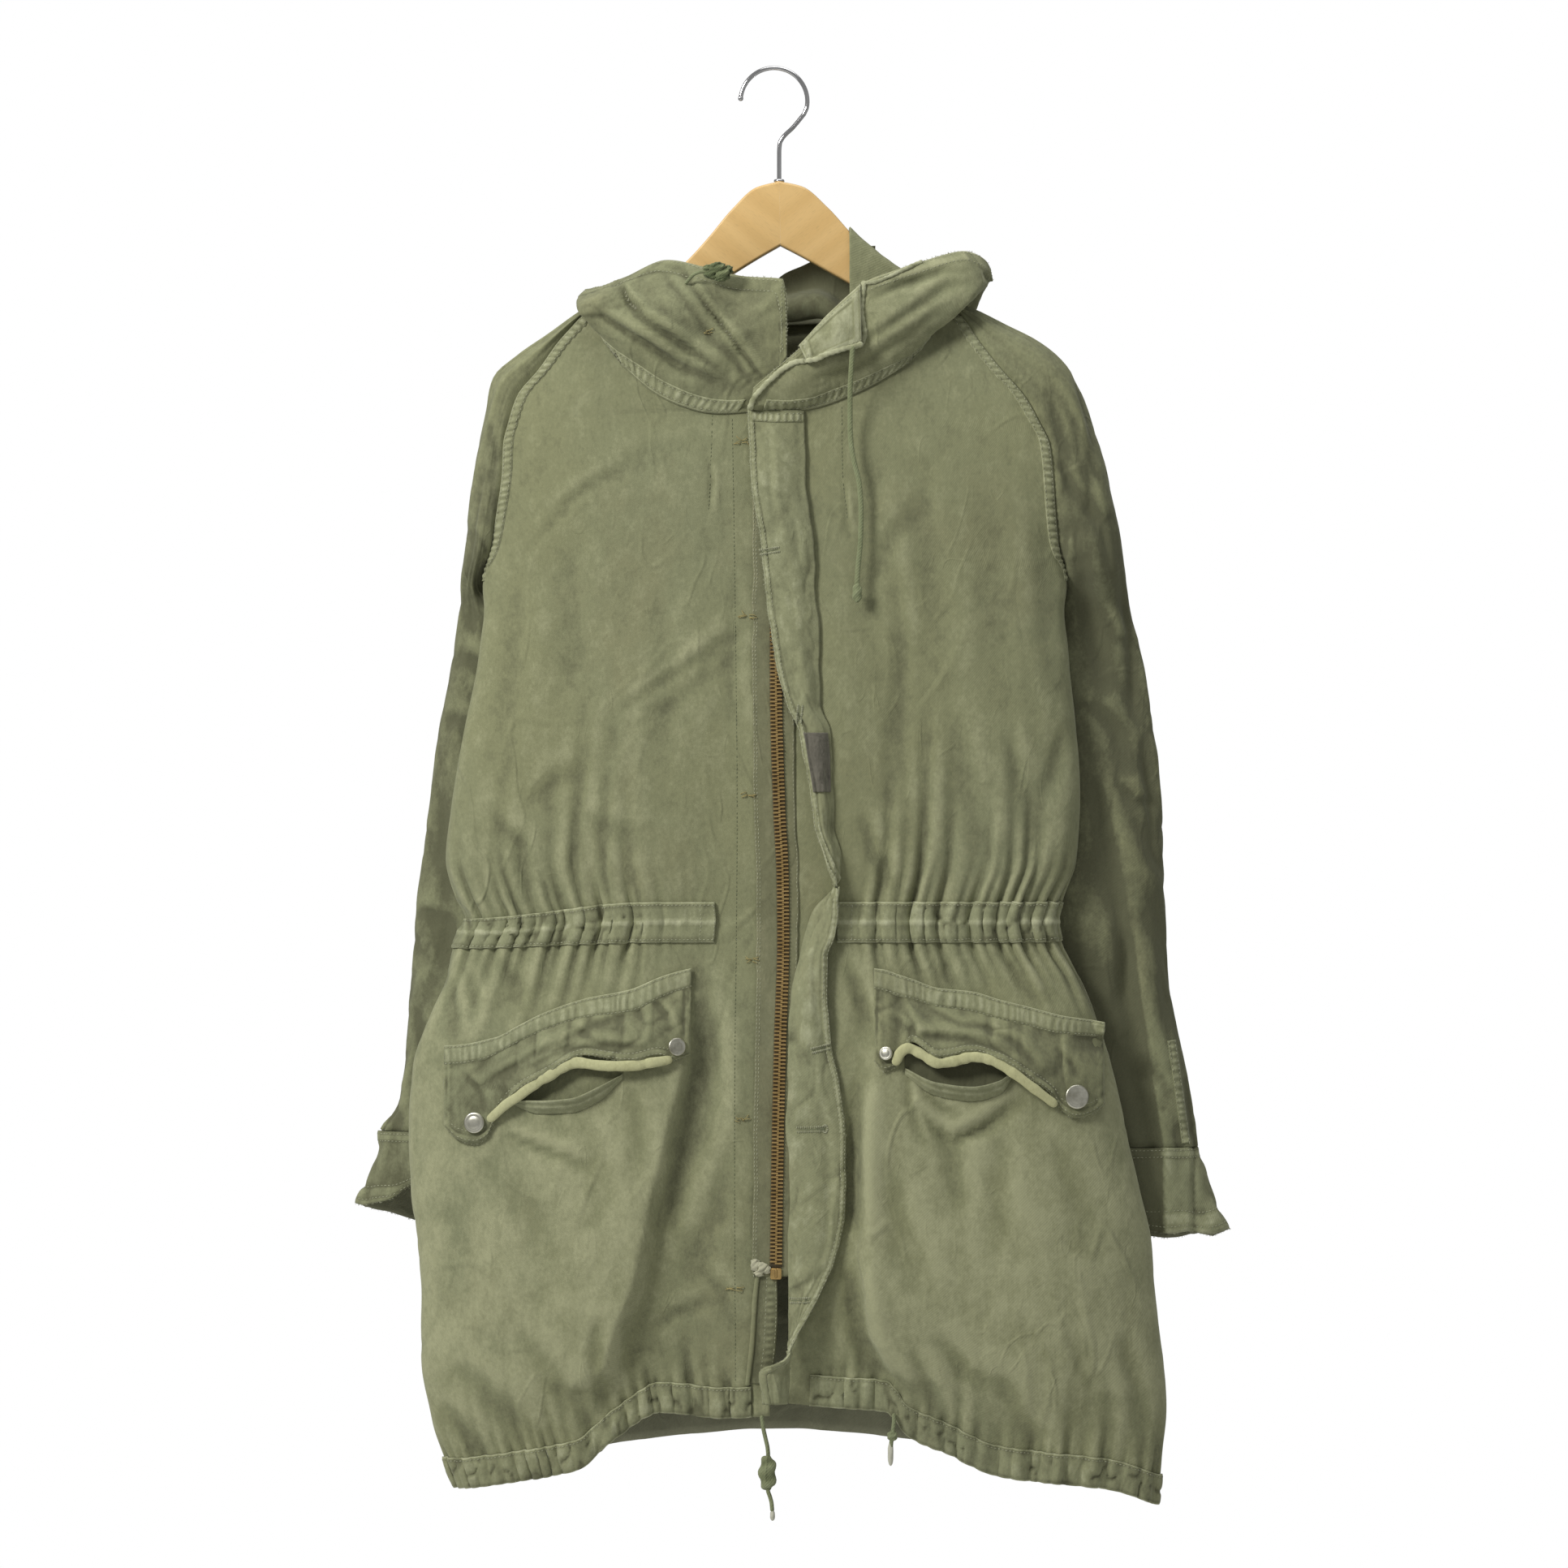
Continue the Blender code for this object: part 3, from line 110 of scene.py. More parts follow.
BackRow = namedtuple("BackRow", "side middle")
backRows = [BackRow(*row) for row in (
    (-214, -214), (-230, -236), (-252, -262), (-285, -293), (-325, -330), (-365, -368),
    (-400, -400), (-433, -433), (-460, -460), (-500, -500), (-570, -570), (-640, -640),
    (-690, -690), (-722, -722), (-740, -740), (-757, -757), (-780, -780), (-830, -830),
    (-910, -910), (-1028, -1028), (-1080, -1080), (-1150, -1150), (-1219, -1219), (-1246, -1246),
)]

SleeveRow = namedtuple("SleeveRow", "turn inX inZ outX outZ middleY halfDepth")
sleeveRight = [SleeveRow(*row) for row in (
    (90, 165, -214, 168, -207, 0, 10), (90, 176, -220, 180, -215, 0, 13),
    (90, 192, -238, 203, -231, 0, 19), (90, 208, -261, 228, -248, 0, 24),
    (90, 227, -284, 248, -267, 0, 27), (92, 235, -309, 255, -297, 0, 27),
    (95, 239, -326, 260, -321, 0, 27), (100, 240, -349, 265, -347, 0, 26),
    (115, 246, -391, 270, -391, 0, 24), (145, 250, -414, 273, -412, 1, 21),
    (178, 254.5, -432, 276, -432, 3, 18), (179, 257, -447, 278, -447, 13, 15),
    (179, 246, -464, 280, -464, 24, 16), (179, 212, -504, 286, -504, 28, 20),
    (179, 190, -560, 295, -560, 30, 23), (179, 180, -640, 306, -640, 31, 24),
    (179, 186, -775, 322, -775, 31, 23), (179, 206, -885, 331, -885, 29, 21),
    (179, 214, -922, 347, -922, 28, 20),
)]
sleeveLeft = [SleeveRow(*row) for row in (
    (90, 154, -209, 157, -203, 0, 10), (90, 162, -219, 172, -209, 0, 13),
    (90, 176, -240, 196, -221, 0, 19), (90, 196, -266, 224, -235, 0, 24),
    (90, 213, -286, 247, -253, 0, 27), (92, 224, -305, 262, -276, 0, 28),
    (95, 234, -326, 272, -305, 0, 28), (100, 237, -352, 282, -342, 0, 27),
    (115, 240, -391, 293, -389, 0, 26), (145, 243, -414, 298, -414, 1, 24),
    (178, 246, -434, 301, -434, 4, 21), (179, 249, -450, 304, -450, 14, 18),
    (179, 240, -468, 307, -468, 25, 18), (179, 215, -508, 315, -508, 29, 21),
    (179, 192, -570, 325, -570, 31, 24), (179, 188, -644, 333, -644, 32, 25),
    (179, 197, -780, 342, -780, 32, 24), (179, 224, -890, 356, -890, 30, 22),
    (179, 232, -936, 362, -936, 29, 21),
)]

CuffRow = namedtuple("CuffRow", "inX outX inZ outZ middleY halfDepth")
cuffRight = [CuffRow(*row) for row in (
    (213, 348.5, -923, -923, 28, 20.5), (212, 351, -940, -938, 28, 22),
    (216, 359, -968, -961, 28, 23), (222, 368, -1003, -987, 28, 22),
)]
cuffLeft = [CuffRow(*row) for row in (
    (231, 363.5, -937, -937, 29, 21.5), (230, 369, -953, -952, 29, 23),
    (238, 378, -985, -980, 29, 24), (246, 391, -1018, -1012, 29, 23),
)]

HoodRow = namedtuple("HoodRow", "neckX neckY neckZ faceX faceY faceZ swell drop")
hoodRight = [HoodRow(*row) for row in (
    (-24, -37, -296, 7, -43, -252, 3, 0), (-42, -37, -295, 7, -41, -216, 5, 0),
    (-61, -36, -292, 3, -38, -185, 8, 0), (-80, -35, -287, -31, -34, -182, 12, 0),
    (-99, -33, -279, -63, -29, -174, 16, 0), (-122, -29, -264, -97, -23, -167, 19, 0),
    (-141, -24, -249, -133, -16, -181, 19, 0), (-152, -17, -232, -160, -6, -190, 17, 0),
    (-160, 0, -204, -168, 12, -190, 12, 0), (-151, 10, -205, -152, 36, -184, 20, 45),
    (-110, 11, -208, -116, 52, -178, 27, 110), (-60, 12, -211, -62, 60, -177, 30, 150),
    (-0.4, 12, -212, -0.4, 63, -177, 31, 165),
)]
hoodLeft = [HoodRow(*row) for row in (
    (-25, -47, -296, -22, -49, -279, 1, 0), (-2, -46, -296, 20, -49, -243, 3, 0),
    (20, -43, -293, 50, -48, -214, 5, 0), (43, -37, -286, 72, -44, -189, 8, 0),
    (66, -34, -277, 98, -38, -178, 11, 0), (93, -31, -264, 123, -30, -169, 14, 0),
    (117, -26, -249, 160, -19, -159, 15, 0), (131, -19, -231, 181, -5, -168, 14, 0),
    (144, 0, -198, 186, 12, -182, 10, 0), (143, 10, -203, 172, 34, -172, 18, 40),
    (110, 11, -206, 120, 52, -168, 26, 100), (60, 12, -210, 60, 60, -172, 30, 145),
    (0.4, 12, -212, 0.4, 63, -177, 31, 165),
)]


# A table read with a curve through its rows that never overshoots them
def smoothCurve(places, values, at):
    places = np.asarray(places, float)
    values = np.asarray(values, float)
    step = np.diff(places)
    slope = np.diff(values) / step
    tangent = np.zeros(len(values))
    tangent[0], tangent[-1] = slope[0], slope[-1]
    sameWay = slope[:-1] * slope[1:] > 0
    total = np.where(sameWay, slope[:-1] + slope[1:], 1.0)
    tangent[1:-1] = np.where(sameWay, 2 * slope[:-1] * slope[1:] / total, 0.0)
    at = np.clip(np.asarray(at, float), places[0], places[-1])
    span = np.clip(np.searchsorted(places, at, side="right") - 1, 0, len(step) - 1)
    t = (at - places[span]) / step[span]
    pullStart, pullEnd = tangent[span] * step[span], tangent[span + 1] * step[span]
    return (values[span] * (2 * t**3 - 3 * t**2 + 1) + pullStart * (t**3 - 2 * t**2 + t)
            + values[span + 1] * (3 * t**2 - 2 * t**3) + pullEnd * (t**3 - t**2))


# All columns of a table at the given places among its rows
def columnsAt(table, at):
    index = np.arange(len(table), dtype=float)
    return {key: smoothCurve(index, [getattr(row, key) for row in table], at) for key in table[0]._fields}


def column(rows, key, at):
    rows = sorted(rows)
    return smoothCurve([row[0] for row in rows], [getattr(row, key) for row in rows], at)


def summed(steps):
    return np.concatenate([[0], np.cumsum(steps)])


def ease(low, high, value):
    t = np.clip((np.asarray(value, float) - low) / (high - low), 0.0, 1.0)
    return t * t * (3 - 2 * t)


def bump(value, middle, width):
    return np.exp(-((value - middle) / width) ** 2)


# Smooth noise from -1 to 1, one lump to a unit
def softNoise(u, v, seed):
    table = np.random.default_rng(seed).uniform(-1, 1, (64, 64))
    i, j = np.floor(u).astype(int), np.floor(v).astype(int)
    s, t = u - i, v - j
    s = s * s * s * (s * (6 * s - 15) + 10)
    t = t * t * t * (t * (6 * t - 15) + 10)
    low = table[i % 64, j % 64] * (1 - s) + table[(i + 1) % 64, j % 64] * s
    high = table[i % 64, (j + 1) % 64] * (1 - s) + table[(i + 1) % 64, (j + 1) % 64] * s
    return low * (1 - t) + high * t


def fromPhoto(pixels):
    pixels = np.asarray(pixels, float)
    scale = photoScale["mmPerPixel"]
    return np.stack([(pixels[:, 0] - photoScale["middleX"]) * scale,
                     (photoScale["topY"] - pixels[:, 1]) * scale], axis=1)


# Soft creases along lines given on the photograph: a trough, a ridge beside it, ends that fade.
# Each row: the trough's width and depth, the ridge's share of it, and the points of its line
def creaseField(x, z, creases):
    field = np.zeros(x.shape)
    for width, depth, ridge, *line in creases:
        points = fromPhoto(line)
        lengths = np.linalg.norm(np.diff(points, axis=0), axis=1)
        along = summed(lengths)
        reach = 5 * width
        near = ((x > points[:, 0].min() - reach) & (x < points[:, 0].max() + reach)
                & (z > points[:, 1].min() - reach) & (z < points[:, 1].max() + reach))
        px, pz = x[near], z[near]
        best = np.full(px.shape, 1e9)
        signed, place = np.zeros(px.shape), np.zeros(px.shape)
        for k in range(len(points) - 1):
            way = (points[k + 1] - points[k]) / lengths[k]
            run = np.clip((px - points[k, 0]) * way[0] + (pz - points[k, 1]) * way[1], 0, lengths[k])
            dx, dz = px - points[k, 0] - run * way[0], pz - points[k, 1] - run * way[1]
            off = np.hypot(dx, dz)
            closer = off < best
            best = np.where(closer, off, best)
            signed = np.where(closer, np.sign(way[0] * dz - way[1] * dx) * off, signed)
            place = np.where(closer, along[k] + run, place)
        share = place / along[-1]
        fade = np.sin(np.pi * np.clip(share, 0, 1)) ** 0.6
        wide = width * (0.75 + 0.5 * share)
        shape = -np.exp(-(signed / wide) ** 2) + ridge * bump(signed, 1.9 * wide, 1.3 * wide)
        field[near] += depth * fade * shape
    return field


def sideKey(side):
    return "right" if side < 0 else "left"


# The body's section at every height
def halfWidth(side, z):
    return column(bodyRows, sideKey(side), z)


def sleeveInner(side, z):
    rows = [row for row in (sleeveRight if side < 0 else sleeveLeft) if row.turn > 170][::-1]
    return smoothCurve([row.inZ for row in rows], [row.inX for row in rows], z)


def sectionPower(z, face):
    lower = ease(-440.0, -475.0, z)
    if face < 0:
        return cloth["frontRound"] + 0 * lower
    return cloth["frontRound"] + lower * (cloth["backRound"] - cloth["frontRound"])


def bodySection(side, z, angle, face):
    power = sectionPower(z, face)
    x = halfWidth(side, z) * np.sin(angle) ** (2 / power)
    depth = column(bodyRows, "front" if face < 0 else "back", z)
    if face > 0:
        lower = ease(-440.0, -475.0, z)
        inner = sleeveInner(side, z)
        inward = ease(inner - 6.0, inner - 85.0, x)
        clear = ease(-1030.0, -1100.0, z)
        layered = cloth["sideLayer"] + (depth - cloth["sideLayer"]) * np.maximum(inward, 0.9 * clear)
        depth = depth + lower * (layered - depth)
    y = depth * np.cos(angle) ** (2 / power)
    return x, (y + cloth["backSet"] if face > 0 else -y)


def sectionAngle(side, z, x, face):
    share = np.clip(np.asarray(x, float) / halfWidth(side, z), 0.0, 1.0)
    return np.arcsin(share ** (sectionPower(z, face) / 2))


def endAngle(side, z, face):
    if z <= cloth["armholeZ"]:
        return math.pi / 2
    return float(sectionAngle(side, z, column(raglanRows, sideKey(side), z), face))


def hang(z, x, hem):
    low = column(hem, "z", x)
    start, flat = cloth["hangFrom"], cloth["hemFlat"]
    share = np.clip((start - z) / (start - flat), 0.0, 1.0)
    band = np.clip((flat - z) / (flat - cloth["hemLow"]), 0.0, 1.0)
    hung = start + (low + cloth["hemBand"] - start) * share - cloth["hemBand"] * band
    return np.where(z > start, z, hung)


def runAlong(points):
    return summed(np.linalg.norm(np.diff(points, axis=0), axis=1))


def spread(points, shares):
    along = runAlong(points)
    at = np.asarray(shares) * along[-1]
    return np.stack([np.interp(at, along, points[:, axis]) for axis in range(3)], axis=1)


# The fronts: folds, pleats, puckered seams
fronts = {
    "columns": 112, "rows": 192, "linePoints": 80, "wrinkle": 1.0,
    "bandWidth": 10.0, "bandRise": 0.9, "puckerPitch": 8.0, "puckerRise": 0.55,
    "neckBand": 14.0, "gathers": 17, "gatherDepth": 4.2, "hemGathers": 26, "hemDepth": 3.4,
    "armholeCover": 4.5, "creaseDepth": 1.1, "crumpleSizes": ((72, 170, 0.7, 8), (38, 84, 0.8, 5),
                                                                (19, 40, 0.8, 2)),
}

# Creases of the two fronts, as points on the photograph
frontCreases = {
    -1: [
        (5, 1.0, 0.6, (640, 690), (720, 600), (800, 555), (880, 548)),
        (4, 0.7, 0.6, (650, 640), (760, 585), (850, 560)),
        (5, 1.8, 0.7, (762, 878), (820, 838), (880, 800), (925, 765)),
        (7, 1.2, 0.5, (770, 900), (840, 860), (915, 790)),
        (16, 2.0, 0.4, (700, 660), (705, 780), (700, 900)),
        (14, 1.6, 0.4, (815, 720), (822, 860), (812, 1010)),
        (16, 2.4, 0.5, (640, 720), (625, 860), (618, 980)),
        (8, 1.6, 0.5, (655, 990), (690, 960), (730, 950)),
        (7, 2.2, 0.6, (600, 1000), (640, 1040), (655, 1100)),
        (8, 1.4, 0.5, (720, 1000), (745, 1020), (800, 1035)),
        (2.4, 1.4, 1.0, (870, 560), (877, 590), (873, 632)),
        (7, 1.2, 0.4, (905, 700), (900, 830), (912, 960)),
        (12, 4.5, 0.6, (860, 1180), (868, 1290), (850, 1400), (818, 1520)),
        (9, 2.2, 0.5, (880, 1250), (884, 1340), (862, 1450)),
        (10, 2.2, 0.4, (900, 1400), (880, 1500), (845, 1590)),
        (4, 3.2, 0.8, (622, 1394), (665, 1412), (705, 1426), (722, 1440)),
        (20, 2.4, 0.4, (600, 1420), (660, 1500), (700, 1600)),
        (18, 2.6, 0.4, (560, 1440), (570, 1540), (560, 1640)),
        (14, 1.8, 0.4, (720, 1380), (735, 1450), (728, 1520)),
        (8, 2.0, 0.5, (780, 1340), (792, 1400), (782, 1470)),
        (10, 2.6, 0.5, (640, 1640), (690, 1700), (720, 1760)),
        (8, 3.0, 0.6, (740, 1620), (735, 1690), (745, 1750)),
        (10, 2.6, 0.5, (560, 1680), (600, 1710), (650, 1780)),
        (7, 2.2, 0.5, (660, 1700), (705, 1720), (745, 1712)),
        (8, 2.6, 0.5, (545, 1730), (575, 1770), (600, 1810)),
        (6, 1.6, 0.5, (800, 1640), (830, 1620), (880, 1600)),
        (6, 1.8, 0.6, (860, 1560), (890, 1590), (905, 1640)),
        (6, 3.0, 0.6, (548, 1200), (560, 1250), (560, 1290)),
        (5, 2.4, 0.6, (575, 1190), (585, 1240), (578, 1280)),
        (6, 2.2, 0.5, (610, 1180), (640, 1220), (640, 1250)),
    ],
    1: [
        (12, 2.0, 0.4, (1078, 560), (1072, 700), (1080, 860)),
        (10, 2.4, 0.5, (1095, 650), (1112, 820), (1098, 1000)),
        (18, 2.4, 0.4, (1135, 560), (1150, 760), (1140, 960)),
        (8, 1.4, 0.4, (1075, 720), (1100, 660), (1150, 610)),
        (20, 2.4, 0.4, (1215, 600), (1230, 760), (1250, 900)),
        (12, 2.8, 0.5, (1285, 640), (1292, 780), (1310, 880)),
        (12, 2.6, 0.5, (1180, 880), (1190, 980), (1210, 1070)),
        (9, 2.6, 0.5, (1240, 900), (1262, 980), (1270, 1070)),
        (9, 3.0, 0.6, (1310, 900), (1290, 980), (1280, 1050)),
        (2.4, 1.2, 1.0, (1040, 590), (1043, 640), (1050, 668)),
        (7, 2.6, 0.6, (1060, 1000), (1080, 1060), (1110, 1110)),
        (7, 3.4, 0.6, (1040, 1180), (1060, 1230), (1072, 1290)),
        (9, 4.5, 0.6, (1058, 1330), (1050, 1420), (1048, 1520)),
        (9, 3.6, 0.6, (1045, 1560), (1058, 1650), (1085, 1720)),
        (5, 4.8, 0.7, (1127, 1359), (1148, 1388), (1172, 1404), (1210, 1388), (1265, 1351)),
        (3.5, 2.4, 0.8, (1134, 1340), (1155, 1360), (1185, 1375)),
        (4, 2.2, 0.8, (1116, 1320), (1120, 1360), (1135, 1400), (1150, 1420)),
        (10, 2.6, 0.5, (1140, 1370), (1175, 1420), (1180, 1500)),
        (12, 1.8, 0.4, (1235, 1400), (1225, 1470), (1240, 1540)),
        (14, 2.2, 0.4, (1300, 1400), (1330, 1480), (1340, 1560)),
        (14, 2.4, 0.4, (1090, 1420), (1105, 1520), (1130, 1600)),
        (9, 2.4, 0.5, (1150, 1640), (1190, 1690), (1260, 1720)),
        (8, 2.8, 0.6, (1120, 1660), (1150, 1720), (1160, 1770)),
        (9, 2.4, 0.5, (1230, 1690), (1260, 1760), (1265, 1800)),
        (14, 2.2, 0.4, (1330, 1640), (1345, 1720), (1340, 1790)),
        (7, 2.6, 0.6, (1060, 1640), (1090, 1690), (1140, 1730)),
        (9, 2.6, 0.5, (1375, 1640), (1400, 1720), (1412, 1800)),
        (6, 2.4, 0.5, (1320, 1180), (1345, 1230), (1352, 1280)),
        (5, 2.2, 0.5, (1240, 1180), (1262, 1215), (1285, 1240)),
        (5, 2.2, 0.5, (1170, 1175), (1165, 1200), (1180, 1220)),
    ],
}

middleWaist = (cloth["waistTop"] + cloth["waistLow"]) / 2


# The casing lies flat near the zip and gathers from here outwards
def gatherStart(side, share):
    return 0.12 + 0.88 * (ease(0.3, 0.5, share) if side < 0 else ease(0.2, 0.36, share))


# The large relief, as in the solids, with the pleats drawn sharper in their troughs
def mainRelief(side, share, x, z):
    start = cloth["casingStart"]
    phase = math.pi * cloth["halfWaves"] * (share - start) / (1 - start)
    pleat = 2 * (0.5 + 0.5 * np.cos(phase)) ** 0.6 - 1
    wave = np.where(share > start, pleat, 0.0)
    uneven = (0.75 + 0.25 * np.sin(9.0 * share + 2.0 * side)) * gatherStart(side, share)
    reach = 60.0 + 50.0 * np.sin(14.0 * share + side) ** 2
    above = np.exp(-np.maximum(z - middleWaist - 12.0, 0.0) / (0.6 * reach))
    below = np.exp(-np.maximum(middleWaist - 12.0 - z, 0.0) / (0.45 * reach))
    relief = cloth["waistGather"] * wave * uneven * above * below
    hemWave = np.where(share > 0.05, np.cos(phase), 0.0)
    relief += cloth["hemGather"] * hemWave * uneven * np.exp(-np.maximum(z - cloth["hemFlat"], 0.0)
                                                           / cloth["hemReach"])
    stepAt = column(stepRows, sideKey(side), z)
    rise = column(stepRows, "rise", z)
    relief += rise * ease(stepAt - stepWidth / 2, stepAt + stepWidth / 2, x)
    fold = np.sin(x / cloth["foldWidth"] + 1.3 * side + z / 420.0)
    relief += cloth["softFold"] * fold * ease(-420, -560, z) * ease(18, 60, x)
    return relief


# Pinched pleats that run from the casing up and down, each with its own reach and lean
def gatherField(share, z, seed, count, depth, start):
    rng = np.random.default_rng(seed)
    field = np.zeros(share.shape)
    away = z - middleWaist
    for k in range(count):
        place = start + (1 - start) * (k + 0.5 + rng.uniform(-0.3, 0.3)) / count
        up, down = 28 + 110 * rng.uniform(0, 1) ** 2, rng.uniform(20, 70)
        reach = np.where(away > 0, up, down)
        off = np.maximum(abs(away) - 14.0, 0.0)
        lean = rng.uniform(-0.00022, 0.00022)
        width = 0.0085 + 0.00012 * off
        fall = np.exp(-((off / reach) ** 1.3))
        middle = place + lean * away
        size = depth * rng.uniform(0.3, 1.35)
        field -= size * fall * bump(share, middle, width)
        field += 0.45 * size * fall * bump(share, middle + 2.2 * width, 1.6 * width)
    return field


def hemGatherField(share, z, seed):
    rng = np.random.default_rng(seed)
    field = np.zeros(share.shape)
    up = np.maximum(z - cloth["hemFlat"], 0.0)
    for k in range(fronts["hemGathers"]):
        place = 0.05 + 0.95 * (k + 0.5 + rng.uniform(-0.35, 0.35)) / fronts["hemGathers"]
        reach = rng.uniform(10, 60)
        size = fronts["hemDepth"] * rng.uniform(0.4, 1.3)
        width = 0.0075 + 0.00014 * up
        field -= size * np.exp(-(up / reach) ** 1.2) * bump(share, place, width)
    return field


# Small sharp troughs between flatter facets, as in cloth that was crumpled and hung up again
def crumpleField(x, z, seed, sizes, lean=0.15):
    x, z = np.broadcast_arrays(x, z)
    field = np.zeros(x.shape)
    for k, (wide, tall, depth, sharp) in enumerate(sizes):
        warp = 0.7 * softNoise(x / wide + 3.1, z / tall + 1.7, seed + 20 + k)
        lump = softNoise((x + lean * z) / wide + warp, z / tall - warp, seed + 30 + k)
        here = ease(-0.4, 0.4, softNoise(x / (1.7 * wide) + 9.0, z / (1.2 * tall), seed + 40 + k))
        field -= depth * here * ((1 - np.abs(lump)) ** sharp - 0.15)
    return field


def wrinkleField(x, z, seed, size=1.0):
    broad = 0.8 * softNoise(x / 85.0, z / 210.0, seed)
    middle = 0.5 * softNoise(x / 38.0 + z / 150.0, z / 70.0, seed + 1)
    fine = 0.28 * softNoise(x / 15.0, z / 24.0 + x / 60.0, seed + 2)
    lower = 0.4 + 0.5 * ease(-700, -900, z)
    return size * (broad + middle + fine + lower * crumpleField(x, z, seed, fronts["crumpleSizes"]))


# Paler crests, as worn cloth has, and painted shade in the hollows
def wearAndHollowShade(detail, reach=6, size=1.4):
    return 0.42 * np.clip((detail - blurred(detail, reach)) / size, -1.2, 1.3)


# A felled seam's band, puffed between its two rows of stitches
def feltedBand(distance, along, width):
    inside = ease(0.0, 1.5, distance) * ease(width, width - 1.5, distance)
    pucker = softNoise(along / fronts["puckerPitch"], 3.5, 17)
    puff = np.sin(np.pi * np.clip(distance / width, 0, 1))
    return inside * (0.3 * fronts["bandRise"] + 0.3 * fronts["puckerRise"] * pucker * puff)


def denseIndex(heights, count):
    index = np.arange(len(heights), dtype=float)
    heights = np.asarray(heights, float)
    return np.interp(np.linspace(heights[0], heights[-1], count), heights[::-1], index[::-1])


def lineLengths(grid):
    step = np.linalg.norm(np.diff(grid, axis=1), axis=2)
    return np.concatenate([np.zeros((len(grid), 1)), np.cumsum(step, axis=1)], axis=1)


def columnLengths(grid):
    return lineLengths(np.swapaxes(grid, 0, 1)).T


def gridNormals(grid, outward, ring=False):
    if ring:
        grid = np.concatenate([grid[:, -1:], grid, grid[:, :1]], axis=1)
    normal = np.cross(np.gradient(grid, axis=1), np.gradient(grid, axis=0))
    normal /= np.maximum(np.linalg.norm(normal, axis=2, keepdims=True), 1e-9)
    if isinstance(outward, str):
        reference = grid - grid.mean(axis=1, keepdims=True)
    else:
        reference = np.broadcast_to(np.array(outward, float), grid.shape)
    if (normal * reference).sum() < 0:
        normal = -normal
    return normal[:, 1:-1] if ring else normal


def frontGrid(side):
    key, hem = sideKey(side), (hemRight if side < 0 else hemLeft)
    inX = [getattr(row, key + "X") for row in frontRows] + [cloth["placket"]] * len(frontLevels)
    inZ = [getattr(row, key + "Z") for row in frontRows] + list(frontLevels)
    endZ = [row.endZ for row in frontRows] + list(frontLevels)
    index = np.arange(len(inZ), dtype=float)
    at = denseIndex([(a + b) / 2 for a, b in zip(inZ, endZ)], fronts["rows"])
    dense = [smoothCurve(index, values, at) for values in (inX, inZ, endZ)]
    shares = np.linspace(0, 1, fronts["columns"])
    rows = []
    for startX, startZ, stopZ in zip(*dense):
        angle = np.linspace(float(sectionAngle(side, startZ, startX, -1)),
                            endAngle(side, stopZ, -1), fronts["linePoints"])
        z = np.linspace(startZ, stopZ, fronts["linePoints"])
        x, y = bodySection(side, z, angle, -1)
        rows.append(spread(np.stack([x, y, z], axis=1), shares))
    plain = np.array(rows)
    x, y, z = plain[..., 0], plain[..., 1], plain[..., 2]
    share = np.broadcast_to(shares, x.shape)
    width = halfWidth(side, z)
    facing = np.clip(1.0 - (x / width) ** 6, 0.15, 1.0)
    relief = mainRelief(side, share, x, z)
    overArmhole = fronts["armholeCover"] * bump(z, -446.0, 17.0) * ease(0.86, 1.0, share)
    grid = np.stack([side * (x + overArmhole + 0.25 * relief * (x / width) ** 4), y - relief * facing,
                     hang(z, x, hem)], axis=2)
    seed = 40 + side
    detail = wrinkleField(x, z, seed, fronts["wrinkle"]) * ease(0.0, 0.03, share)
    detail += fronts["creaseDepth"] * creaseField(side * x, grid[..., 2], frontCreases[side])
    detail += gatherStart(side, share) * gatherField(share, z, seed + 3, fronts["gathers"],
                                                     fronts["gatherDepth"], cloth["casingStart"])
    detail += hemGatherField(share, z, seed + 5)
    lengths = lineLengths(grid)
    fromSeam = lengths[:, -1:] - lengths
    raglan = feltedBand(fromSeam, z, fronts["bandWidth"])
    raglan = raglan * ease(cloth["armholeZ"] - 10, cloth["armholeZ"], z)
    fromNeck = columnLengths(grid)
    onNeck = at[:, None] + 0 * share < 30
    neck = feltedBand(fromNeck, x, fronts["neckBand"]) * onNeck * ease(20.0, 26.0, x)
    sewn = np.maximum(raglan, neck)
    normal = gridNormals(grid, toFront)
    finished = grid + normal * (detail + sewn)[..., None]
    below = ease(cloth["armholeZ"] + 4, cloth["armholeZ"] - 8, z)
    finished[..., 1] += (0.1 - finished[:, -1:, 1]) * ease(24.0, 0.0, fromSeam) * below
    # paler where the cloth stands out, as worn cloth is, and painted shade where it dips; the seam bands and
    # hem are paler from being worn
    crestWearAndShade = 0.12 * relief / 4.0 + wearAndHollowShade(detail) + 0.1 * detail / 2.5
    fade = crestWearAndShade + 0.4 * (sewn > 0.1) + 0.25 * ease(-1215, -1225, z)
    return {"grid": finished, "fade": fade, "rowZ": z[:, 0], "share": shares}


def blurred(values, reach):
    out = values.copy()
    for axis in (0, 1):
        pad = [(0, 0), (0, 0)]
        pad[axis] = (reach, reach)
        wide = np.pad(out, pad, mode="edge")
        total = np.cumsum(wide, axis=axis)
        zero = np.zeros_like(np.take(total, [0], axis=axis))
        total = np.concatenate([zero, total], axis=axis)
        n = 2 * reach + 1
        size = out.shape[axis]
        low = np.take(total, np.arange(size), axis=axis)
        high = np.take(total, np.arange(n, size + n), axis=axis)
        out = (high - low) / n
    return out


# Materials. An input given as a socket is linked, and any other value is set
def fill(tree, node, inputs):
    for key, value in inputs.items():
        if isinstance(value, bpy.types.NodeSocket):
            tree.links.new(value, node.inputs[key])
        else:
            node.inputs[key].default_value = value


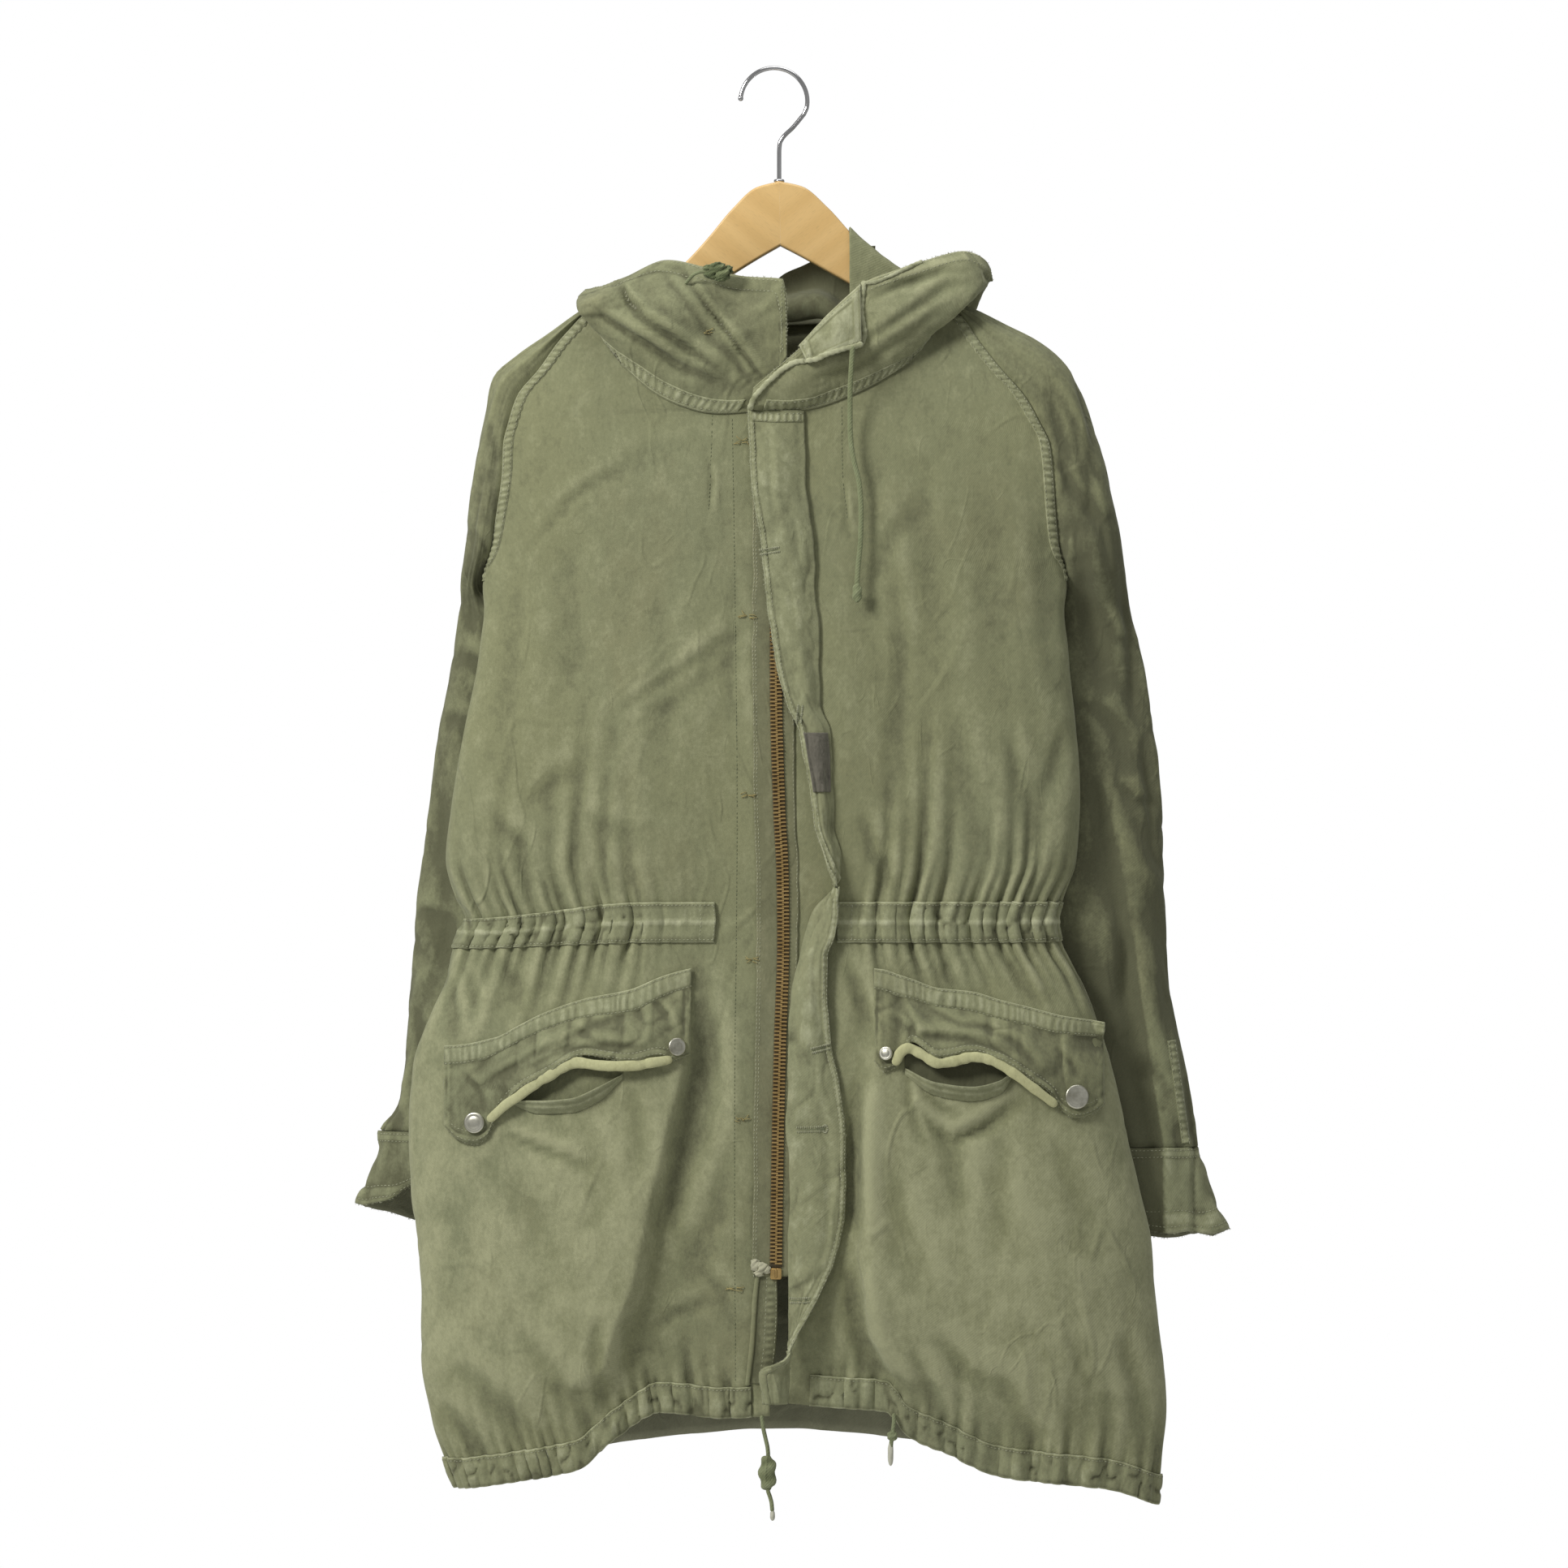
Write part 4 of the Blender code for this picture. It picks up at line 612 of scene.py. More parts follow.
def put(tree, kind, inputs=None, **settings):
    node = tree.nodes.new(kind)
    node.location = (200 * len(tree.nodes), 0)
    for key, value in settings.items():
        setattr(node, key, value)
    fill(tree, node, inputs or {})
    return node


def newGroup(name, inputs, outputs, kind="ShaderNodeTree"):
    group = bpy.data.node_groups.new(name, kind)
    for title, sort, value in inputs:
        socket = group.interface.new_socket(title, in_out="INPUT", socket_type="NodeSocket" + sort)
        if value is not None:
            socket.default_value = value
    for title, sort in outputs:
        group.interface.new_socket(title, in_out="OUTPUT", socket_type="NodeSocket" + sort)
    return group, put(group, "NodeGroupInput").outputs


def calculate(tree, operation, *values):
    return put(tree, "ShaderNodeMath", dict(enumerate(values)), operation=operation).outputs[0]


def noise(tree, place, scale, detail, roughness=0.5, distortion=0.0):
    return put(tree, "ShaderNodeTexNoise", {"Vector": place, "Scale": scale, "Detail": detail,
                                            "Roughness": roughness, "Distortion": distortion}).outputs["Fac"]


def waveBands(tree, place, way, scale, distortion, detail, detailScale):
    return put(tree, "ShaderNodeTexWave", {"Vector": place, "Scale": scale, "Distortion": distortion,
                                           "Detail": detail, "Detail Scale": detailScale},
               wave_type="BANDS", bands_direction=way).outputs["Fac"]


def remap(tree, value, low, high, toLow=0.0, toHigh=1.0, **settings):
    return put(tree, "ShaderNodeMapRange", {"Value": value, "From Min": low, "From Max": high,
                                            "To Min": toLow, "To Max": toHigh}, **settings).outputs["Result"]


def mix(tree, share, first, second, mode="MIX"):
    return put(tree, "ShaderNodeMix", {0: share, 6: first, 7: second}, data_type="RGBA",
               blend_type=mode).outputs[2]


def stretch(tree, place, scale):
    return put(tree, "ShaderNodeMapping", {"Vector": place, "Scale": scale}).outputs[0]


def objectPlace(tree):
    return put(tree, "ShaderNodeTexCoord").outputs["Object"]


def cutMap(tree):
    return put(tree, "ShaderNodeUVMap", uv_map="cut").outputs[0]


def painted(tree, name):
    return put(tree, "ShaderNodeAttribute", attribute_name=name).outputs["Fac"]


def raised(tree, height, strength, distance, under=None):
    inputs = {"Strength": strength, "Distance": distance, "Height": height}
    if under is not None:
        inputs["Normal"] = under
    return put(tree, "ShaderNodeBump", inputs).outputs["Normal"]


# Twill weave: fine diagonal ribs broken by single threads, as a height
def makeWeaveGroup():
    group, enter = newGroup("twillWeave", [("Vector", "Vector", None), ("Ribs per metre", "Float", 900.0)],
                            [("Height", "Float")])
    place = put(group, "ShaderNodeVectorMath", {0: enter[0], "Scale": enter[1]},
                operation="SCALE").outputs[0]
    ribs = waveBands(group, place, "DIAGONAL", 0.314, 1.2, 1.0, 2.0)
    slubs = noise(group, place, 0.55, 2.0, 0.6)
    put(group, "NodeGroupOutput", {0: calculate(group, "MULTIPLY_ADD", slubs, 0.8, ribs)})
    return group


# Washed and faded colour with painted shade: broad patches, yellow stains, paler worn crests, painted shade
# in hollows and shadows, threads
coats = ("Cloth", "Faded", "Deep", "Stain", "Grey", "Inside")


def makeWashAndShadeGroup():
    inputs = [*((title, "Color", None) for title in coats), ("Weave", "Float", 0.5)]
    group, enter = newGroup("washedColourAndShade", inputs, [("Color", "Color"), ("Rough", "Float")])
    place = stretch(group, objectPlace(group), (1.0, 1.0, 0.7))
    patches = noise(group, place, 5.5, 4.0, 0.55)
    stains = noise(group, place, 11.0, 5.0, 0.6)
    mottle = noise(group, place, 90.0, 4.0, 0.7)
    threads = noise(group, place, 360.0, 3.0, 0.8)
    stained = calculate(group, "MULTIPLY", remap(group, stains, 0.52, 0.78), 0.42)
    mottled = calculate(group, "MULTIPLY_ADD", remap(group, mottle, 0.3, 0.7), 0.3, -0.15)
    wearShadeAndMottle = calculate(group, "ADD", painted(group, "fade"), mottled)
    colour = mix(group, remap(group, patches, 0.38, 0.92), enter["Cloth"], enter["Grey"])
    colour = mix(group, stained, colour, enter["Stain"])
    colour = mix(group, remap(group, wearShadeAndMottle, 0.52, 0.92), colour, enter["Faded"])
    # painted shade: low fade values, nudged a little by random mottle, pull the colour towards the shade
    # colour
    colour = mix(group, remap(group, wearShadeAndMottle, 0.46, 0.02), colour, enter["Deep"])
    colour = mix(group, painted(group, "inside"), colour, enter["Inside"])
    heather = remap(group, threads, 0.25, 0.75, 0.82, 1.18)
    put(group, "NodeGroupOutput", {"Color": mix(group, enter["Weave"], colour, heather, "MULTIPLY"),
                                   "Rough": calculate(group, "MULTIPLY_ADD", mottle, -0.12, 0.95)})
    return group


# Fine crisp creases: the level lines of noises at three sizes, showing here and there
def makeCreaseGroup():
    group, enter = newGroup("fineCreases", [("Vector", "Vector", None)], [("Height", "Float")])
    total = None
    for scale, sharp, share in ((9.0, 0.03, 1.0), (20.0, 0.045, 0.55), (44.0, 0.07, 0.25)):
        lump = noise(group, stretch(group, enter[0], (1.0, 1.0, 0.55)), scale, 1.5, 0.5, 0.7)
        off = calculate(group, "ABSOLUTE", calculate(group, "SUBTRACT", lump, 0.5))
        line = remap(group, off, 0.0, sharp, share, 0.0, interpolation_type="SMOOTHSTEP")
        here = remap(group, noise(group, enter[0], scale * 0.6, 1.0), 0.45, 0.62)
        height = calculate(group, "MULTIPLY", line, here)
        total = height if total is None else calculate(group, "ADD", total, height)
    put(group, "NodeGroupOutput", {0: total})
    return group


def newMaterial(name):
    material = bpy.data.materials.new(name)
    material.use_nodes = True
    return material, material.node_tree


def setShader(tree, inputs):
    fill(tree, tree.nodes["Principled BSDF"], inputs)


# One row for each kind of cloth, with its colours in the order of the coats
clothColours = {
    "body": ((0.240, 0.246, 0.132), (0.350, 0.355, 0.208), (0.120, 0.122, 0.068), (0.262, 0.240, 0.122),
             (0.216, 0.234, 0.140), (0.26, 0.262, 0.172)),
    "trim": ((0.262, 0.270, 0.150), (0.45, 0.46, 0.295), (0.125, 0.127, 0.070), (0.28, 0.26, 0.14),
             (0.238, 0.256, 0.156), (0.26, 0.262, 0.172)),
    "tape": ((0.185, 0.186, 0.102), (0.26, 0.255, 0.15), (0.095, 0.092, 0.05), (0.22, 0.20, 0.095),
             (0.18, 0.186, 0.115), (0.09, 0.088, 0.055)),
    "cord": ((0.215, 0.24, 0.125), (0.31, 0.345, 0.2), (0.095, 0.11, 0.05), (0.24, 0.24, 0.12),
             (0.21, 0.24, 0.14), (0.1, 0.11, 0.07)),
    "tie": ((0.115, 0.14, 0.062), (0.2, 0.23, 0.115), (0.045, 0.06, 0.025), (0.15, 0.16, 0.07),
            (0.12, 0.15, 0.08), (0.07, 0.08, 0.05)),
    "piping": ((0.52, 0.515, 0.275), (0.64, 0.63, 0.37), (0.30, 0.295, 0.13), (0.45, 0.42, 0.2),
               (0.48, 0.49, 0.29), (0.4, 0.4, 0.22)),
    "pile": ((0.112, 0.103, 0.08), (0.19, 0.175, 0.14), (0.05, 0.045, 0.034), (0.14, 0.12, 0.08),
             (0.12, 0.115, 0.098), (0.08, 0.07, 0.055)),
}


def clothMaterial(name, kind, weaveHeight=0.00012, ribs=900.0, rumple=0.0011, sheen=0.2, creases=0.0012):
    material, tree = newMaterial(name)
    colours = {title: (*colour, 1) for title, colour in zip(coats, clothColours[kind])}
    # the washed colour with its painted shade, from the group
    fade = put(tree, "ShaderNodeGroup", colours, node_tree=washAndShadeGroup).outputs
    threads = {"Vector": cutMap(tree), "Ribs per metre": ribs}
    weave = put(tree, "ShaderNodeGroup", threads, node_tree=weaveGroup).outputs[0]
    place = objectPlace(tree)
    lines = put(tree, "ShaderNodeGroup", {"Vector": place}, node_tree=creaseGroup).outputs[0]
    broad = raised(tree, noise(tree, place, 75.0, 4.0, 0.55), 0.55, rumple)
    creased = raised(tree, lines, 0.7, creases, broad)
    setShader(tree, {"Normal": raised(tree, weave, 0.6, weaveHeight, creased), "Base Color": fade["Color"],
                 "Roughness": fade["Rough"], "Sheen Weight": sheen, "Sheen Roughness": 0.55,
                 "Sheen Tint": (0.9, 0.93, 0.72, 1), "Specular IOR Level": 0.25})
    return material


# Metal with fine scratches, and random patches that are darker and duller
def metalMaterial(name, colour, dark, roughness, scratch=0.00003, patchScale=60.0):
    material, tree = newMaterial(name)
    place = objectPlace(tree)
    dull = noise(tree, place, patchScale, 6.0, 0.65)
    lines = noise(tree, stretch(tree, place, (1.0, 1.0, 0.12)), 900.0, 2.0)
    setShader(tree, {"Base Color": mix(tree, remap(tree, dull, 0.3, 0.62), (*dark, 1), (*colour, 1)),
                 "Roughness": remap(tree, dull, 0.0, 1.0, roughness * 1.7, roughness * 0.6),
                 "Normal": raised(tree, lines, 0.4, scratch), "Metallic": 1.0})
    return material


# Pale beech: long growth bands across the cut map, pores, a thin lacquer
def woodMaterial():
    material, tree = newMaterial("lacqueredBeech")
    place = cutMap(tree)
    growth = waveBands(tree, stretch(tree, place, (0.35, 1.6, 1.0)), "Y", 9.0, 7.0, 3.0, 1.1)
    streaks = noise(tree, stretch(tree, place, (0.07, 1.0, 1.0)), 160.0, 5.0, 0.6)
    pores = noise(tree, stretch(tree, place, (0.10, 1.0, 1.0)), 1500.0, 1.0)
    colour = mix(tree, growth, (0.76, 0.51, 0.208, 1), (0.71, 0.465, 0.18, 1))
    colour = mix(tree, 0.5, colour, remap(tree, streaks, 0.0, 1.0, 0.82, 1.12), "MULTIPLY")
    colour = mix(tree, 0.35, colour, remap(tree, pores, 0.3, 0.42, 0.7), "MULTIPLY")
    setShader(tree, {"Base Color": colour, "Normal": raised(tree, streaks, 0.3, 0.0001), "Roughness": 0.38,
                 "Coat Weight": 0.25, "Coat Roughness": 0.2})
    return material


def threadMaterial(name, colour):
    material, tree = newMaterial(name)
    dark, pale = ((*[share * part for part in colour], 1) for share in (0.65, 1.25))
    setShader(tree, {"Base Color": mix(tree, noise(tree, objectPlace(tree), 180.0, 3.0), dark, pale),
                 "Roughness": 0.85, "Sheen Weight": 0.2})
    return material


weaveGroup = makeWeaveGroup()
washAndShadeGroup = makeWashAndShadeGroup()
creaseGroup = makeCreaseGroup()
finishes = {
    "body": clothMaterial("washedTwill", "body"),
    "trim": clothMaterial("fadedTwill", "trim"),
    "tape": clothMaterial("zipTape", "tape", 0.0001, 1300.0, 0.0002),
    "cord": clothMaterial("braidedCord", "cord", 0.0003, 700.0, 0.0002, 0.15),
    "tie": clothMaterial("frayedTie", "tie", 0.0003, 900.0, 0.0004, 0.15),
    "piping": clothMaterial("pipingCotton", "piping", 0.0001, 1200.0, 0.0003),
    "pile": clothMaterial("hookPile", "pile", 0.0004, 1400.0, 0.0006, 0.4),
    "brass": metalMaterial("agedBrass", (0.95, 0.66, 0.27), (0.46, 0.30, 0.11), 0.3),
    "steel": metalMaterial("snapSteel", (0.70, 0.69, 0.58), (0.34, 0.33, 0.25), 0.32),
    "chrome": metalMaterial("hookChrome", (0.72, 0.72, 0.72), (0.5, 0.5, 0.5), 0.1, 0.00001, 20.0),
    "wood": woodMaterial(),
    "thread": threadMaterial("oliveThread", (0.17, 0.185, 0.1)),
    "paleThread": threadMaterial("paleThread", (0.36, 0.37, 0.24)),
    "yellowThread": threadMaterial("yellowThread", (0.34, 0.28, 0.1)),
    "scrap": threadMaterial("fadedScrap", (0.46, 0.45, 0.31)),
    # the very dark strip under the zip teeth: painted shade between them
    "bed": threadMaterial("chainBedShade", (0.07, 0.052, 0.022)),
    "darkThread": threadMaterial("darkThread", (0.035, 0.038, 0.022)),
    "tip": threadMaterial("waxedTip", (0.55, 0.55, 0.44)),
}
print("materials ready")


# Meshes
made = {}


def pieceName(nodeName):
    words = nodeName.split("_")
    if len(words) == 1:
        return nodeName + "Piece"
    return words[0] + "".join(word.capitalize() for word in words[1:])


def finishObject(name, mesh, finish, replaced=()):
    mesh.name = pieceName(name)
    made[name] = bpy.data.objects.new(pieceName(name), mesh)
    scene.collection.objects.link(made[name])
    if not mesh.materials:
        mesh.materials.append(finishes[finish])
    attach(made[name], "root")
    if replaced:
        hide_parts(*replaced)
    return made[name]


def meshFrom(name, points, quads, uv=None, fade=None, inside=None, tris=()):
    mesh = bpy.data.meshes.new(name)
    mesh.from_pydata((np.asarray(points) * mm).tolist(), [], [*np.asarray(quads).tolist(), *tris])
    if uv is not None:
        layer = mesh.uv_layers.new(name="cut")
        corners = np.empty(len(mesh.loops), np.int32)
        mesh.loops.foreach_get("vertex_index", corners)
        layer.data.foreach_set("uv", (np.asarray(uv)[corners] * mm).ravel())
    # the fade attribute: above its middle the colour goes paler, as worn cloth does; below it the colour
    # goes towards painted shade
    for key, values in (("fade", fade), ("inside", inside)):
        if values is None:
            continue
        attribute = mesh.attributes.new(key, "FLOAT", "POINT")
        attribute.data.foreach_set("value", np.asarray(values, np.float32))
    mesh.update()
    mesh.shade_smooth()
    return mesh


# A closed thin shell: the outer grid, the same grid moved in by the wall, and a rim
def shellMesh(name, outer, thick, outward, fade=0.0, ring=False, inside=1.0, under=None):
    rows, columns = outer.shape[:2]
    if under is None:
        under = outer - gridNormals(outer, outward, ring) * thick
    acrossStep = np.linalg.norm(np.diff(outer, axis=1), axis=2).mean(axis=0)
    downStep = np.linalg.norm(np.diff(outer, axis=0), axis=2).mean(axis=1)
    u, v = summed(acrossStep), summed(downStep)
    uv = np.stack(np.broadcast_arrays(u[None, :], v[:, None]), axis=2).reshape(-1, 2)
    points = np.concatenate([outer.reshape(-1, 3), under.reshape(-1, 3)])
    half = rows * columns
    grid = np.arange(half).reshape(rows, columns)
    if ring:
        grid = np.concatenate([grid, grid[:, :1]], axis=1)
    a, b = grid[:-1, :-1], grid[:-1, 1:]
    c, d = grid[1:, 1:], grid[1:, :-1]
    front = np.stack([a, b, c, d], axis=2).reshape(-1, 4)
    back = front[:, ::-1] + half
    top = np.stack([grid[0, 1:], grid[0, :-1], grid[0, :-1] + half, grid[0, 1:] + half], axis=1)
    low = np.stack([grid[-1, :-1], grid[-1, 1:], grid[-1, 1:] + half, grid[-1, :-1] + half], axis=1)
    parts = [front, back, top, low]
    if not ring:
        parts.append(np.stack([grid[:-1, 0], grid[1:, 0], grid[1:, 0] + half, grid[:-1, 0] + half], axis=1))
        parts.append(np.stack([grid[1:, -1], grid[:-1, -1], grid[:-1, -1] + half, grid[1:, -1] + half],
                              axis=1))
    quads = np.concatenate(parts)
    p = points[quads]
    volume = np.einsum("ij,ij->i", p[:, 0], np.cross(p[:, 1], p[:, 2])).sum()
    volume += np.einsum("ij,ij->i", p[:, 0], np.cross(p[:, 2], p[:, 3])).sum()
    if volume < 0:
        quads = quads[:, ::-1]
    fade = 0.5 + 0.5 * np.broadcast_to(np.asarray(fade, float), (rows, columns)).ravel()
    fades = np.concatenate([fade, np.full(half, 0.5)])
    insides = np.concatenate([np.zeros(half), np.full(half, inside)])
    return meshFrom(name, points, quads, np.concatenate([uv, uv]), fades, insides)


def addShell(name, outer, thick, outward, finish, slotName, replaced=(), **more):
    return finishObject(name, shellMesh(name, outer, thick, outward, **more), finish, replaced)


# A surface to lay pieces on: rays from the front find the cloth at any x and z
def surfaceOf(*grids):
    points, quads, start = [], [], 0
    for grid in grids:
        rows, columns = grid.shape[:2]
        index = np.arange(rows * columns).reshape(rows, columns) + start
        quads += np.stack([index[:-1, :-1], index[:-1, 1:], index[1:, 1:], index[1:, :-1]],
                          axis=2).reshape(-1, 4).tolist()
        points += grid.reshape(-1, 3).tolist()
        start += rows * columns
    return BVHTree.FromPolygons(points, quads)


def layOn(tree, x, z):
    x, z = np.broadcast_arrays(np.asarray(x, float), np.asarray(z, float))
    depth = np.empty(x.shape)
    for place in np.ndindex(x.shape):
        hit = tree.ray_cast(Vector((x[place], -400.0, z[place])), Vector((0, 1, 0)))[0]
        depth[place] = (hit or tree.find_nearest(Vector((x[place], -45.0, z[place])))[0]).y
    return depth


# The panels
def addPanel(name, outer, thick, outward, slotName="cloth", finish="body", **more):
    return addShell(name, outer, thick, outward, finish, slotName, (name,), **more)


frontPanels = {}
for side in (-1, 1):
    frontPanels[side] = frontGrid(side)
    addPanel("front_" + sideKey(side), frontPanels[side]["grid"], cloth["wall"], toFront,
             fade=frontPanels[side]["fade"])
frontTree = surfaceOf(frontPanels[-1]["grid"], frontPanels[1]["grid"])
print("fronts ready")


back = {"columns": 114, "rows": 124, "gathers": 30, "depth": 3.4, "wrinkle": 1.0}
backCreases = [
    (14, 2.6, 0.4, (760, 560), (820, 640), (960, 690), (1100, 640), (1160, 560)),
    (16, 2.2, 0.4, (720, 640), (820, 760), (960, 800), (1080, 770), (1200, 650)),
    (18, 2.4, 0.4, (850, 500), (880, 700), (860, 950)),
    (18, 2.4, 0.4, (1060, 500), (1050, 720), (1080, 980)),
    (16, 3.0, 0.5, (700, 1250), (690, 1400), (720, 1600)),
    (14, 3.2, 0.5, (800, 1200), (830, 1400), (810, 1640)),
    (18, 2.8, 0.4, (960, 1210), (950, 1400), (975, 1600)),
    (14, 3.0, 0.5, (1090, 1210), (1120, 1400), (1090, 1620)),
    (16, 3.0, 0.5, (1230, 1230), (1220, 1450), (1250, 1650)),
    (14, 2.2, 0.4, (640, 700), (660, 850), (640, 1050)),
    (14, 2.2, 0.4, (1270, 700), (1260, 850), (1290, 1050)),
]


def backGrid():
    sides, middles = [row.side for row in backRows], [row.middle for row in backRows]
    index = np.arange(len(sides), dtype=float)
    at = denseIndex(sides, back["rows"])
    shares = np.linspace(0, 1, back["columns"])
    across = np.linspace(0, 1, 80)
    rows = []
    for low, middle in zip(smoothCurve(index, sides, at), smoothCurve(index, middles, at)):
        halves = []
        for side in (-1, 1):
            angle = np.linspace(0.0, endAngle(side, low, 1), len(across))
            z = middle + (low - middle) * across**2
            x, y = bodySection(side, z, angle, 1)
            halves.append(np.stack([side * x, y, z], axis=1))
        rows.append(spread(np.concatenate([halves[0][::-1], halves[1][1:]]), shares))
    plain = np.array(rows)
    x, y, z = plain[..., 0], plain[..., 1], plain[..., 2]
    share = np.broadcast_to(shares, x.shape)
    wave = np.cos(math.pi * 24 * share) * ease(0.04, 0.1, share) * ease(0.96, 0.9, share) * 0.86
    relief = cloth["waistGather"] * wave * np.exp(-np.maximum(abs(z - middleWaist) - 15, 0) / 55)
    relief += cloth["hemGather"] * wave * np.exp(-np.maximum(z - cloth["hemFlat"], 0) / cloth["hemReach"])
    grid = np.stack([x, y + relief * ease(5.0, 14.0, y), hang(z, x, hemBack)], axis=2)
    detail = wrinkleField(x, z, 70, back["wrinkle"]) + 1.6 * creaseField(x, grid[..., 2], backCreases)
    detail += gatherField(share, z, 73, back["gathers"], back["depth"], 0.02)
    detail += 0.6 * hemGatherField(share, z, 75)
    calm = ease(0.0, 0.04, share) * ease(1.0, 0.96, share)
    lengths = lineLengths(grid)
    upper = ease(cloth["armholeZ"] - 10, cloth["armholeZ"], z)
    sewn = (feltedBand(lengths, z, fronts["bandWidth"])
            + feltedBand(lengths[:, -1:] - lengths, z, fronts["bandWidth"])) * upper
    finished = grid + gridNormals(grid, (0, 1, 0)) * (detail * calm * ease(4.0, 12.0, y) + sewn)[..., None]
    below = ease(cloth["armholeZ"] + 4, cloth["armholeZ"] - 8, z)
    for end, away in ((0, lengths), (-1, lengths[:, -1:] - lengths)):
        shift = 0.2 - finished[:, end, 1][:, None]
        finished[..., 1] += shift * ease(10.0, 0.0, away) * below
    # paler where the cloth stands out, as worn cloth is, and painted shade where it dips; the seam bands are
    # paler from being worn
    fade = 0.12 * relief / 4.0 + wearAndHollowShade(detail) + 0.1 * detail / 2.5 + 0.4 * (sewn > 0.1)
    return {"grid": finished, "fade": fade, "rowZ": z[:, 0], "share": shares}


backPanel = backGrid()
addPanel("back", backPanel["grid"], cloth["wall"], (0, 1, 0), fade=backPanel["fade"])
print("back ready")


# Sleeves: wrinkles at the elbow, a soft break where the raglan turns into the hanging sleeve
sleeves = {"columns": 92, "rows": 142, "wrinkle": 1.25, "tuckIn": 2.6, "tuckUnder": 2.6,
           "tuckReach": 0.075, "creaseDepth": 1.5, "shade": {-1: -0.7, 1: -1.0}, "flare": {-1: 0.0, 1: 4.0},
           "crumpleSizes": ((40, 110, 1.5, 7), (22, 55, 1.1, 4), (12, 30, 0.6, 3))}
sleeveCreases = {
    -1: [
        (5, 1.4, 0.4, (600, 520), (612, 560), (600, 600)),
        (9, 2.6, 0.5, (560, 800), (600, 830), (610, 880)),
        (8, 2.4, 0.5, (545, 880), (575, 900), (590, 960)),
        (9, 2.4, 0.5, (575, 640), (588, 700), (580, 780)),
        (12, 2.8, 0.5, (530, 960), (548, 1080), (540, 1200)),
        (7, 2.2, 0.5, (510, 1120), (545, 1140), (552, 1180)),
        (8, 2.2, 0.5, (505, 1240), (520, 1300), (512, 1370)),
        (5, 2.2, 0.6, (500, 1290), (480, 1340), (488, 1390)),
        (4, 1.8, 0.6, (470, 1350), (480, 1375), (478, 1398)),
    ],
    1: [
        (9, 2.0, 0.4, (1290, 470), (1310, 540), (1322, 620)),
        (6, 1.6, 0.5, (1320, 500), (1338, 580), (1345, 660)),
        (8, 2.2, 0.5, (1335, 600), (1360, 640), (1372, 700)),
        (9, 2.6, 0.5, (1330, 680), (1350, 780), (1372, 860)),
        (8, 2.4, 0.5, (1345, 860), (1380, 900), (1395, 960)),
        (8, 3.0, 0.6, (1352, 960), (1370, 1050), (1380, 1130)),
        (10, 4.0, 0.6, (1395, 1150), (1402, 1280), (1412, 1400)),
        (12, 2.4, 0.5, (1430, 1080), (1448, 1200), (1450, 1290)),
        (6, 2.0, 0.5, (1420, 1300), (1440, 1350), (1436, 1400)),
        (5, 1.8, 0.5, (1465, 1330), (1470, 1370), (1472, 1410)),
        (5, 2.4, 0.6, (1325, 430), (1345, 520), (1352, 600)),
        (4, 1.8, 0.6, (1300, 560), (1335, 620), (1362, 645)),
        (5, 2.6, 0.6, (1385, 700), (1400, 800), (1405, 900)),
        (6, 2.8, 0.6, (1412, 900), (1425, 1000), (1432, 1080)),
        (7, 3.4, 0.6, (1380, 1100), (1392, 1180), (1388, 1260)),
        (4, 1.8, 0.7, (1360, 740), (1376, 780), (1398, 800)),
        (4, 1.8, 0.7, (1375, 960), (1400, 985), (1425, 990)),
    ],
}


# The left sleeve's inner part is folded under, and lies in the shade of the outer part
underLine = ((1398, 1150), (1412, 1260), (1425, 1340), (1436, 1420), (1437, 1535))


def foldedUnder(x, z):
    flat = fromPhoto(underLine)
    edge = np.interp(-z, -flat[:, 1], flat[:, 0])
    return ease(2.5, -2.0, x - edge)


